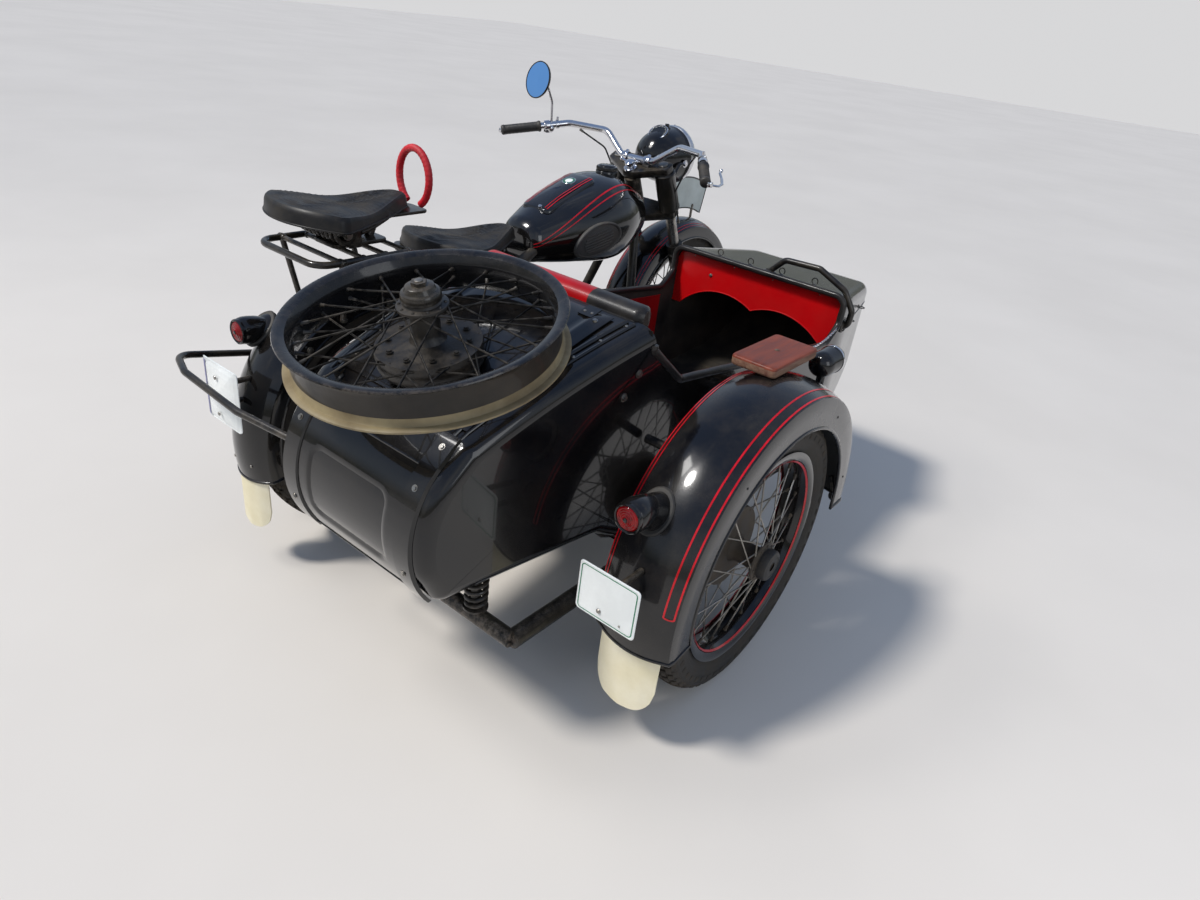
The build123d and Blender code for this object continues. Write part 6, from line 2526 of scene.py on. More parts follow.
    def cowl(self) -> None:
        """Build the cowl and the nose: stations that follow the rounded plan."""
        shape = Shape()
        upper = rounded_2d([(COWL_X, 0.735), (0.682, 0.695), (0.732, 0.635), (0.7275, 0.60)], 0.022, 6)[:-1]
        stations = [
            COWL_X, 0.34, 0.38, 0.42, 0.46, 0.50, 0.54, 0.58, 0.62, 0.645, 0.66, 0.675, 0.69, 0.70,
            0.71
        ]
        stations += [0.718, 0.725, 0.7295, 0.732]
        rings = []
        for x in stations:
            z_top = polyline_at(upper, x)
            z_low = self._belly_at(x)
            wide = self.nose_side(x)
            edge = min(self.edge, max(wide * 0.2, 0.004), max((z_top - z_low) * 0.4, 0.002))
            half = [(wide, lerp(z_low, z_top - edge, k / 10)) for k in range(10)]
            for k in range(7):
                a = math.pi / 2 * k / 6
                half.append((wide - edge * (1 - math.cos(a)), z_top - edge + edge * math.sin(a)))
            flat = [(lerp(-(wide - edge), wide - edge, k / 12), z_top) for k in range(1, 12)]
            section = [(-y, z) for y, z in half] + flat + half[::-1]
            rings.append([on_car(x, y, z) for y, z in section])
        shape.strip(rings, 0, closed=False)
        shape.face(shape.add(rings[-1]), 0)
        inner = []
        for ring in rings[:12]:
            inner.append([
                on_car(p.x, (p.y - CAR_Y) * 0.989, p.z - (0.003 if p.z > 0.5 else -0.003)) for p in ring
            ])
        shape.strip(inner, 1, closed=False)
        rows = []
        for x in stations:
            wide = self.nose_side(x)
            rows.append([on_car(x, wide * s, self._belly_at(x)) for s in (-1, -0.5, 0, 0.5, 1)])
        shape.strip(rows, 0, closed=False)
        shape.strip([[p + Z_AXIS * 0.003 for p in row] for row in rows], 1, closed=False)
        for hand in (-1, 1):
            route = [on_car(x, hand * (self.nose_side(x) + 0.0004), self.seam_z) for x in stations[:-2]]
            shape.tube(route, 0.0016, 6, 0)
        self._hooks(shape)
        shape.make(
            "cowl_and_nose", [GLOSS_BLACK, INSIDE_DARK, FRAME_BLACK], Body.ROOT, Slot.BLACK, (),
            crease=36
        )

    def _belly_at(self, x: float) -> float:
        """Return the height of the underside at a place."""
        return polyline_at([*BELLY[2:], *STEM[-2:0:-1], (0.732, 0.630)], x)

    def _hooks(self, shape: Shape) -> None:
        """Add the small wire hooks round the cowl and down the sides.

        Args:
            shape: Shape to add to.
        """
        spots = []
        for share in (0.18, 0.4, 0.62, 0.84):
            y = lerp(0.24, -0.24, share)
            spots.append(
                (on_car(0.372, y, polyline_at([(0.325, 0.735), (0.682, 0.695)], 0.372)), Z_AXIS, Y_AXIS)
            )
        for hand in (-1, 1):
            spots.append((on_car(0.40, hand * half_width(0.40), 0.655), Y_AXIS * hand, X_AXIS))
            spots.append((on_car(0.55, hand * half_width(0.55), 0.655), Y_AXIS * hand, X_AXIS))
        for place, out, run in spots:
            route = []
            for i in range(13):
                a = math.radians(-30 + 250 * i / 12)
                route.append(place + out * (0.010 + 0.009 * math.sin(a)) + run * (0.009 * math.cos(a)))
            foot = [place - out * 0.001 + run * 0.002, place + out * 0.004 + run * 0.006]
            shape.tube(foot + route, 0.0016, 8, 2)
            shape.lathe([(0.006, 0.0), (0.006, 0.0012), (0.002, 0.002)], place, out, 14, 2)

    def tail_panel(self) -> None:
        """Build the lower rear panel with its pressed recess and beads."""
        shape = Shape()
        half = self.panel_half
        columns = 48
        rows = []
        for k in range(41):
            z = lerp(0.405, 0.655, k / 40)
            x = -1.0
            line = list(TAIL) + [(-1.022, 0.6675)]
            for (x0, z0), (x1, z1) in zip(line, line[1:]):
                if z0 <= z <= z1:
                    x = lerp(x0, x1, (z - z0) / (z1 - z0))
            row = []
            for i in range(columns + 1):
                y = lerp(-half, half, i / columns)
                reach = max(abs(y) - (0.110 - 0.028), 0.0)
                rise = max(abs(z - 0.525) - (0.075 - 0.028), 0.0)
                gap = math.hypot(reach, rise) - 0.028
                share = 1 - max(min((gap + 0.012) / 0.012, 1.0), 0.0)
                press = self.press_depth * (3 * share ** 2 - 2 * share ** 3)
                row.append(on_car(x - 0.0032 + press, y, z))
            rows.append(row)
        shape.strip(rows, 0, closed=False)
        edge = [rows[0][i] for i in range(0, columns + 1, 4)] + [row[-1] for row in rows[1:-1:4]]
        edge += [rows[-1][i] for i in range(columns, -1, -4)] + [row[0] for row in rows[-2:0:-4]]
        shape.tube(edge, 0.0024, 6, 0, looped=True)
        shape.make("tail_panel", [GLOSS_BLACK], Body.ROOT, Slot.BLACK, ["rear_panel"])

    def lid(self) -> None:
        """Build the boot lid that follows the deck, with its ribs and hinges."""
        shape = Shape()
        half, front, rear = self.lid_half, self.lid_front, self.lid_rear
        columns = 40
        count = 30
        tops, unders = [], []
        for k in range(count + 1):
            x = lerp(front, rear, k / count)
            z = self._deck_at(x) + 0.0035
            top, under = [], []
            for i in range(columns + 1):
                y = lerp(-half, half, i / columns)
                rise = 0.0036
                edge = min(half - abs(y), abs(x - front), abs(x - rear))
                roll = -0.0022 * max(0.0, 1 - edge / 0.006)
                ridge = abs(abs(y) - 0.150)
                rib = 0.0034 * max(0.0, 1 - (ridge / 0.010) ** 2) if -0.95 < x < -0.62 else 0.0
                groove = -0.0018 * max(0.0, 1 - ((abs(y) - 0.130) / 0.006) ** 2)
                top.append(on_car(x, y, z + rise + roll + rib + groove))
                under.append(on_car(x, y, z + 0.0002))
            tops.append(top)
            unders.append(under)
        shape.strip(tops, 0, closed=False)
        shape.strip(unders, 0, closed=False)
        shape.strip([border_of(tops), border_of(unders)], 0)
        slope, out = Vector((1, 0, 0.27)).normalized(), Vector((-0.27, 0, 1)).normalized()
        for y in (-0.13, 0.13):
            place = on_car(front - 0.004, y, self._deck_at(front) + 0.0085)
            shape.block(place + Vector((-0.012, 0, -0.0025)), (0.034, 0.034, 0.0024), (slope, Y_AXIS, out), 0)
            for swing in (-0.009, 0.009):
                dome_screw(shape, place + Vector((-0.016, swing, -0.0028)), out, 0.0034, 1)
        for y in (-0.158, 0.158):
            for x in (-0.63, -0.94):
                bolt_head(
                    shape, on_car(x, y, self._deck_at(x) + 0.0074), Vector((-0.3, 0, 1)).normalized(),
                    0.0044, 1
                )
        shape.make("boot_lid_dressed", [GLOSS_BLACK, DULL_CHROME], Body.BOOT_LID, Slot.BLACK, ["boot_lid"])

    def build(self) -> None:
        """Build the whole body."""
        self.boot()
        self.middle()
        self.cowl()
        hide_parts("sidecar_tub")
        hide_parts("sidecar_cowl")
        self.tail_panel()
        self.lid()


# Cockpit


def in_cloth(piece: bpy.types.Object, voxel: float, pressure: float, cap: float, frames: int = 16) -> None:
    """Puff a padded form with a short cloth simulation and keep the result.

    Args:
        piece: The padded piece, a closed mesh.
        voxel: Size of the remesh.
        pressure: Air pressure inside.
        cap: The furthest that a point may move, in metres.
        frames: Steps of the simulation.
    """
    coats = list(piece.data.materials)
    remesh = piece.modifiers.new("even_mesh", "REMESH")
    remesh.mode = "VOXEL"
    remesh.voxel_size = voxel
    remesh.use_smooth_shade = True
    graph = bpy.context.evaluated_depsgraph_get()
    even = bpy.data.meshes.new_from_object(piece.evaluated_get(graph))
    piece.modifiers.clear()
    piece.data = even
    for index, coat in enumerate(coats):
        if index < len(even.materials):
            even.materials[index] = coat
        else:
            even.materials.append(coat)
    start = [vertex.co.copy() for vertex in even.vertices]
    cloth = piece.modifiers.new("puff", "CLOTH")
    cloth.settings.quality = 4
    cloth.settings.mass = 0.4
    cloth.settings.tension_stiffness = 12
    cloth.settings.compression_stiffness = 12
    cloth.settings.bending_stiffness = 4
    cloth.settings.use_pressure = True
    cloth.settings.uniform_pressure_force = pressure
    cloth.settings.effector_weights.gravity = 0
    cloth.collision_settings.use_collision = False
    cloth.point_cache.frame_start = 1
    cloth.point_cache.frame_end = frames
    scene = bpy.context.scene
    for step in range(1, frames + 1):
        scene.frame_set(step)
    graph = bpy.context.evaluated_depsgraph_get()
    puffed = bpy.data.meshes.new_from_object(piece.evaluated_get(graph))
    piece.modifiers.clear()
    for index, vertex in enumerate(puffed.vertices):
        move = vertex.co - start[index]
        if move.length > cap:
            vertex.co = start[index] + move.normalized() * cap
    piece.data = puffed
    scene.frame_set(1)
    puffed.polygons.foreach_set("use_smooth", [True] * len(puffed.polygons))
    log.info("puffed %s with %d points", piece.name, len(puffed.vertices))


@dataclass
class Cockpit:
    """Trim, dash, linings, seat, grab rail and chain of the cockpit."""

    trim_radius: float = 0.0088
    dash_half: float = 0.2788
    dash_top: float = 0.7278
    dash_corner: float = 0.034
    dash_near: float = 0.3392
    seat_base: Vector = field(default_factory=lambda: on_car(-0.352, 0.0, 0.3035))
    seat_half: float = 0.218
    seat_thick: float = 0.105
    back_half: float = 0.222
    rail_x: float = 0.351
    rail_tube: float = 0.0088
    chain_start: Vector = field(default_factory=lambda: Vector((0.310, -0.522, 0.652)))
    chain_end: Vector = field(default_factory=lambda: Vector((-0.170, -0.585, 0.745)))
    chain_sag: float = 0.040
    chain_links: int = 46

    def trim(self) -> None:
        """Build the padded leather roll round the rim, with its seam."""
        shape = Shape()
        for hand in (-1, 1):
            corners = [
                (-0.571, 0.800), (-0.571, 0.790), (-0.470, 0.704), (0.265, 0.612), (0.3225, 0.658),
                (0.3225, 0.690)
            ]
            path = rounded_2d(corners, 0.036, 8)
            route = [on_car(x, hand * (half_width(x) - 0.0015), z) for x, z in path]
            shape.tube(
                self._fine(route), lambda share: self.trim_radius * (1 + 0.03 * math.sin(share * 90)),
                14, 0
            )
        corners = [
            on_car(0.323, -0.2815, 0.658), on_car(0.323, -0.2815, 0.7335),
            on_car(0.323, 0.2815, 0.7335), on_car(0.323, 0.2815, 0.658),
        ]
        arch = rounded_route(corners, 0.0285, 8)
        shape.tube(
            self._fine(arch), lambda share: self.trim_radius * (1 + 0.03 * math.sin(share * 70)), 14,
            0
        )
        off = Vector((-self.trim_radius * 0.9, 0.0, self.trim_radius * 0.42))
        shape.tube([point + off for point in self._fine(arch)], 0.0011, 6, 0)
        piece = shape.make("cockpit_roll", [ROLL_LEATHER], Body.ROOT, Slot.RUBBER, ["cockpit_trim"])

    def _fine(self, route: Sequence[Vector], gap: float = 0.012) -> Ring:
        """Add points so that none is further than a gap from the next.

        Args:
            route: Points of the route, in order.
            gap: The longest gap that may stay.

        Returns:
            The denser route.
        """
        fine = []
        for first, second in zip(route, route[1:]):
            pieces = max(int((second - first).length / gap), 1)
            fine += [first.lerp(second, k / pieces) for k in range(pieces)]
        fine.append(Vector(route[-1]))
        return fine

    def dash(self) -> None:
        """Build the red dash with its scalloped foot, beaded edge and screw."""
        shape = Shape()
        half = self.dash_half
        columns = 72
        top_line, low_line = [], []
        left_arch = arc_through((half - 0.030, 0.560), (half * 0.45, 0.628), (0.0, 0.606), 24)
        lower = [(half, 0.560), (half - 0.030, 0.560)] + left_arch[1:]
        lower += [(-y, z) for y, z in reversed(lower[:-1])]
        lower = list(reversed(lower))
        for i in range(columns + 1):
            y = lerp(-half, half, i / columns)
            reach = max(abs(y) - (half - self.dash_corner), 0.0)
            top = self.dash_top - self.dash_corner + math.sqrt(max(self.dash_corner ** 2 - reach ** 2, 0.0))
            top_line.append((y, top))
            low_line.append((y, polyline_at(lower, y)))
        faces = []
        for x in (self.dash_near, self.dash_near + 0.0026):
            rows = []
            for k in range(9):
                row = []
                for (y, top), (_, low) in zip(top_line, low_line):
                    z = lerp(low, top, k / 8)
                    swell = 0.0004 * math.sin(y * 21) * math.sin(z * 30) if x < 0.34 else 0.0
                    row.append(on_car(x + swell, y, z))
                rows.append(row)
            shape.strip(rows, 0, closed=False)
            faces.append(rows)
        shape.strip([border_of(rows) for rows in faces], 0)
        edge = [on_car(0.3396, y, z + 0.0009) for y, z in low_line]
        shape.tube(edge, 0.0018, 8, 0)
        top_edge = [on_car(0.3396, y, z - 0.0012) for y, z in top_line]
        shape.tube(top_edge, 0.0015, 8, 0)
        dome_screw(shape, on_car(self.dash_near, 0.155, 0.672), -X_AXIS, 0.0055, 1)
        for y in (-0.2, -0.05, 0.08, 0.22):
            dome_screw(shape, on_car(self.dash_near, y, 0.7165), -X_AXIS, 0.0022, 1)
        shape.make("red_dash", [DASH_RED, DULL_CHROME], Body.ROOT, Slot.RED, ["dash_panel"])

    def linings(self) -> None:
        """Build the red linings: the bright left side and the shaded right side."""
        shape = Shape()
        rim = [(-0.540, 0.650), (-0.440, 0.650), (0.265, 0.588)]
        noise = random.Random(11)
        spans = ((-0.5, 0.2), (0.36, 0.6), (0.02, 0.05), (-0.8, 0.8))
        folds = [[noise.uniform(low, high) for low, high in spans] for _ in range(9)]
        for hand in (-1, 1):
            rows = []
            for i in range(81):
                x = lerp(-0.540, 0.265, i / 80)
                top = polyline_at(rim, x) - 0.001
                row = []
                for k in range(31):
                    z = lerp(0.33, top, k / 30)
                    crease = 0.0
                    for fx, fz, size, tilt in folds:
                        along_fold = (x - fx) * math.cos(tilt) + (z - fz) * math.sin(tilt)
                        across_fold = -(x - fx) * math.sin(tilt) + (z - fz) * math.cos(tilt)
                        crease += 0.0011 * math.exp(
                            -(across_fold / 0.006) ** 2
                            - (along_fold / (size * 2)) ** 2
                        )
                    inward = 0.0038 + crease
                    row.append(on_car(x, hand * (half_width(x) - inward), z))
                rows.append(row)
            shape.strip(rows, 0, closed=False)
            lift = [row[-1] for row in rows[::4]]
            shape.tube(lift, 0.0016, 6, 0)
        shape.make("red_linings", [RED_VINYL], Body.ROOT, Slot.RED, ["side_linings"])

    def cushion(self) -> None:
        """Build the seat cushion, crowned and tufted in channels."""
        shape = Shape()
        self._pad(shape, 0.03)
        piece = shape.make(
            "seat_cushion_dressed", [DARK_VINYL], Body.ROOT, Slot.DARK, ["seat_cushion"], weld=True
        )
        in_cloth(piece, 0.008, 3.0, 0.010, 12)

    def _pad(self, shape: Shape, corner: float) -> None:
        """Add the crowned closed form of the cushion, flat on its base.

        Args:
            shape: Shape to add to.
            corner: Radius of the plan's corners.
        """
        base, half, thick = self.seat_base, self.seat_half, self.seat_thick
        outline = rounded_box(2 * half, 2 * half, corner, 5)
        levels = (
            (0.0, -0.008), (0.012, -0.001), (thick * 0.4, 0.0), (thick * 0.72, -0.003),
            (thick * 0.9, -0.012)
        )
        rings = []
        for lift, grow in levels:
            ring = []
            for x, y in outline:
                reach = Vector((x, y)).length
                pull = (reach + grow) / reach
                waist = 1 - 0.02 * math.sin(math.pi * min(abs(x) / half, 1.0)) * (lift / thick)
                ring.append(base + Vector((x * pull * waist, y * pull * waist, lift)))
            rings.append(ring)
        shape.strip(rings, 0)
        last = rings[-1]
        for i in range(1, 13):
            share = 1 - i / 12
            ring = []
            for point in rings[-1]:
                offset = Vector((point.x - base.x, point.y - base.y, 0.0)) * share
                crown = thick * (0.9 + 0.1 * math.cos(share * math.pi / 2))
                groove = 0.006 * abs(math.cos(offset.y * math.pi / 0.075)) ** 8 * (1 - share ** 6)
                ring.append(base + offset + Z_AXIS * (crown - groove))
            shape.strip([last, ring], 0)
            last = ring
        base_ring = rings[0]
        for share in (0.6, 0.01):
            ring = [base + (point - base) * share for point in base_ring]
            shape.strip([base_ring, ring], 0)
            base_ring = ring

    def back(self) -> None:
        """Build the seat back with its upright channels and rolled top."""
        shape = Shape()
        half = self.back_half
        columns = 60
        profile = (
            (-0.5750, 0.426), (-0.516, 0.426), (-0.506, 0.440), (-0.504, 0.50), (-0.508, 0.60),
            (-0.515, 0.70),
            (-0.522, 0.77), (-0.528, 0.80), (-0.5295, 0.818), (-0.5215, 0.8285), (-0.5195, 0.841),
            (-0.527, 0.8525),
            (-0.541, 0.8575), (-0.557, 0.8560), (-0.569, 0.849), (-0.5745, 0.838), (-0.5752, 0.82),
        )
        rings = []
        for i in range(columns + 1):
            y = lerp(-half, half, i / columns)
            end = max(0.0, 1 - ((half - abs(y)) / 0.016)) ** 2
            ring = []
            for x, z in profile:
                puff = 0.0
                if x > -0.53 and z < 0.8:
                    puff = -0.007 * abs(math.cos(y * math.pi / 0.074)) ** 10
                    puff += 0.004 * math.sin(math.pi * (z - 0.43) / 0.37)
                middle_x = -0.55
                px = lerp(x + puff, middle_x, end * 0.6)
                pz = lerp(z, 0.64 + (z - 0.64) * 0.97, end)
                ring.append(on_car(max(px, -0.5755), y, pz))
            rings.append(ring)
        for index in range(len(profile)):
            following = (index + 1) % len(profile)
            for low, high in zip(rings, rings[1:]):
                corners = shape.add([low[index], low[following], high[following], high[index]])
                red = (low[index].y - CAR_Y) / half > -0.42
                roll = 1 if red else 2
                shape.face(corners, roll if 8 <= index <= 15 else 0)
        for ring in (rings[0], rings[-1]):
            shape.face(shape.add(ring), 0)
        piece = shape.make(
            "seat_back_dressed", [DARK_VINYL, ROLL_RED, ROLL_LEATHER], Body.ROOT, Slot.DARK,
            ["seat_back"], weld=True
        )

    def rail(self) -> None:
        """Build the grab rail with its feet."""
        shape = Shape()
        x = self.rail_x
        low = on_car(x, -0.026, 0.7325)
        corners = [
            low, on_car(x, -0.070, 0.779), on_car(x, -0.178, 0.783), on_car(x, -0.264, 0.745),
            on_car(x, -0.299, 0.695), on_car(x, -0.297, 0.657), on_car(x, -0.2835, 0.647),
        ]
        shape.tube(rounded_route(corners, 0.028, 8), self.rail_tube, 20, 0)
        for foot, out, radius, rise in (
            (low + Vector((0, -0.002, -0.0005)), Vector((0.1, 0, 1)), 0.020, 0.008),
            (corners[-1] + Vector((0, 0.0008, 0)), -Y_AXIS, 0.018, 0.007),
        ):
            shape.lathe([(radius, 0.0), (radius, 0.0035), (0.012, rise)], foot, out, 24, 0)
        shape.make("bent_grab_rail", [FRAME_BLACK], Body.ROOT, Slot.BLACK, ["grab_rail"])

    def chain(self) -> None:
        """Build the chain across the entry, link by link."""
        links = Shape()
        points = []
        for i in range(self.chain_links + 1):
            share = i / self.chain_links
            sag = -self.chain_sag * 4 * share * (1 - share)
            points.append(self.chain_start.lerp(self.chain_end, share) + Z_AXIS * sag)
        for i, (first, second) in enumerate(zip(points, points[1:])):
            run = (second - first).normalized()
            side = run.cross(Z_AXIS).normalized()
            up = side.cross(run)
            across = side if i % 2 else up
            middle = (first + second) / 2
            long = (second - first).length * 0.5 + 0.0022
            wide = 0.0030
            loop = []
            for k in range(12):
                a = 2 * math.pi * k / 12
                loop.append(middle + run * (long * math.cos(a)) + across * (wide * math.sin(a)))
            links.tube(loop, 0.0010, 5, 0, looped=True)
        links.make("door_chain", [CHROME], Body.ROOT, Slot.CHROME, ())

    def build(self) -> None:
        """Build everything in the cockpit."""
        self.trim()
        self.dash()
        self.linings()
        self.cushion()
        self.back()
        self.rail()
        self.chain()


# Spare wheel


@dataclass
class SpareWheel:
    """Tyreless spare wheel on the boot lid, with its clamp cap and dusty drum."""

    tilt: float = math.radians(12.0)
    centre: Vector = field(default_factory=lambda: on_car(-0.908, 0.0, 0.817))
    drum_bolts: int = 10
    bolt_circle: float = 0.074
    clamp_nut: float = 0.0145
    seat_gap: float = 0.0003

    def __post_init__(self) -> None:
        """Set the wheel's axis from its tilt."""
        self.up = Vector((-math.sin(self.tilt), 0.0, math.cos(self.tilt)))
        self.wheel = WireWheel("spare", self.centre, self.up, Body.BOOT_LID, painted=False)

    def around(self, middle: Vector, radius: float, turn: float) -> Vector:
        """Return a point round the axis, by its radius and turn in radians."""
        across, upward, _ = frame_of(self.up)
        return middle + across * (radius * math.cos(turn)) + upward * (radius * math.sin(turn))

    def rim(self, shape: Shape) -> None:
        """Add the rim in three finishes: upper face, inner wall and lower face.

        Args:
            shape: Shape to add to.
        """
        w = self.wheel
        h = w.half
        upper = [
            (w.lip - 0.001, h - 0.0035), (w.lip + 0.0012, h - 0.001), (w.lip, h + 0.0012),
            (w.lip - 0.004, h + 0.002),
            (w.seat + 0.001, h + 0.0005), (w.seat - 0.006, h - 0.003), (w.well - 0.001, h - 0.016),
            (w.well - 0.0035, h - 0.024), (w.well - 0.0035, -h + 0.024), (w.well - 0.001, -h + 0.016),
            (w.seat - 0.006, -h + 0.003),
        ]
        outer = [
            (w.lip - 0.001, h - 0.0035), (w.lip - 0.003, h - 0.005), (w.seat + 0.004, h - 0.007),
            (w.seat + 0.001, h - 0.012), (w.seat - 0.0005, h - 0.020), (w.seat - 0.001, -0.004),
            (w.seat - 0.001, -h + 0.018),
        ]
        lower = [
            (w.seat - 0.001, -h + 0.018), (w.seat + 0.001, -h + 0.008), (w.seat + 0.004, -h + 0.005),
            (w.lip - 0.003, -h + 0.005), (w.lip + 0.0008, -h + 0.003), (w.lip + 0.0006, -h - 0.0005),
            (w.lip - 0.003, -h - 0.002), (w.seat - 0.006, -h + 0.003),
        ]
        for profile, coat in ((upper, 0), (outer, 4), (lower, 5)):
            shape.lathe(profile, self.centre, self.up, 112, coat)

    def build_wheel(self) -> None:
        """Build the rim, spokes, hub and drum bolts."""
        shape = Shape()
        self.rim(shape)
        self.wheel.spokes(shape)
        self.wheel.hub(shape)
        inner = self.centre - self.up * (self.wheel.hub_half - 0.043)
        noise = random.Random(3)
        for i in range(self.drum_bolts):
            spot = self.around(inner, self.bolt_circle, 2 * math.pi * i / self.drum_bolts)
            bolt_head(shape, spot, self.up, 0.0042 + noise.uniform(0.0, 0.0006), 3)
        coats = [RIM_BLACK, STRIPE_RED, SPOKE_DARK, DRUM_DIRTY, RIM_BROWN, KHAKI]
        shape.make("spare_wire_wheel", coats, Body.BOOT_LID, Slot.DUSTY, ["spare_wheel"])

    def clamp(self) -> None:
        """Build the clamp cap with its nut, the post and its foot on the lid."""
        shape, up = Shape(), self.up
        reach = self.wheel.hub_half + self.seat_gap
        seat, foot = self.centre + up * reach, self.centre - up * reach
        cap = [
            (0.036, 0.0), (0.0365, 0.003), (0.036, 0.012), (0.034, 0.0155), (0.029, 0.017), (0.0275, 0.0195),
            (0.0255, 0.0255), (0.022, 0.0275), (0.0, 0.0275),
        ]
        shape.lathe(cap, seat, up, 48, 0, caps=(True, False))
        across, upward, _ = frame_of(up)
        shape.prism(hexagon(self.clamp_nut, 10), seat + up * 0.0265, across, upward, 0.0075, 0)
        shape.lathe(
            [(0.0075, 0.0), (0.0075, 0.0015), (0.0065, 0.002), (0.0, 0.002)], seat + up * 0.034, up,
            20, 1
        )
        shape.lathe([(0.0098, 0.0), (0.0098, 2 * reach)], foot, up, 20, 0)
        under = foot - up * 0.0335
        pedestal = [(0.058, 0.0), (0.058, 0.006), (0.05, 0.012), (0.040, 0.018), (0.038, 0.0335)]
        shape.lathe(pedestal, under, up, 48, 0, caps=(True, True))
        for i in range(4):
            spot = self.around(under, 0.048, math.pi / 4 + math.pi / 2 * i)
            bolt_head(shape, spot + up * 0.0115, up, 0.005, 1)
        shape.make("spare_clamp", [FRAME_BLACK, DULL_CHROME], Body.BOOT_LID, Slot.BLACK, ["spare_carrier"])

    def build(self) -> None:
        """Build the wheel and its clamp."""
        self.build_wheel()
        self.clamp()


# Tank

TANK_ROWS = (
    (-0.070, 0.070, 0.664, 0.776), (0.095, 0.124, 0.648, 0.850), (0.290, 0.148, 0.640, 0.892),
    (0.452, 0.096, 0.700, 0.832)
)


def smooth_rows(rows: Sequence[Sequence[float]], at: float) -> list[float]:
    """Return the values of the rows at a place, on a smooth curve through them.

    Args:
        rows: Rows that start with their place, in rising order.
        at: The place that is asked for.

    Returns:
        The values at that place, in the order of the rows.
    """
    count = len(rows)
    place = min(max(at, rows[0][0]), rows[-1][0])
    index = max(i for i in range(count - 1) if rows[i][0] <= place)
    low, high = rows[index], rows[index + 1]
    run = high[0] - low[0]
    share = (place - low[0]) / run
    values = []
    for k in range(1, len(low)):
        slopes = []
        for j in (index, index + 1):
            before, after = rows[max(j - 1, 0)], rows[min(j + 1, count - 1)]
            slopes.append((after[k] - before[k]) / (after[0] - before[0]))
        a = 2 * share ** 3 - 3 * share ** 2 + 1
        b = share ** 3 - 2 * share ** 2 + share
        c = -2 * share ** 3 + 3 * share ** 2
        d = share ** 3 - share ** 2
        values.append(a * low[k] + b * run * slopes[0] + c * high[k] + d * run * slopes[1])
    return values


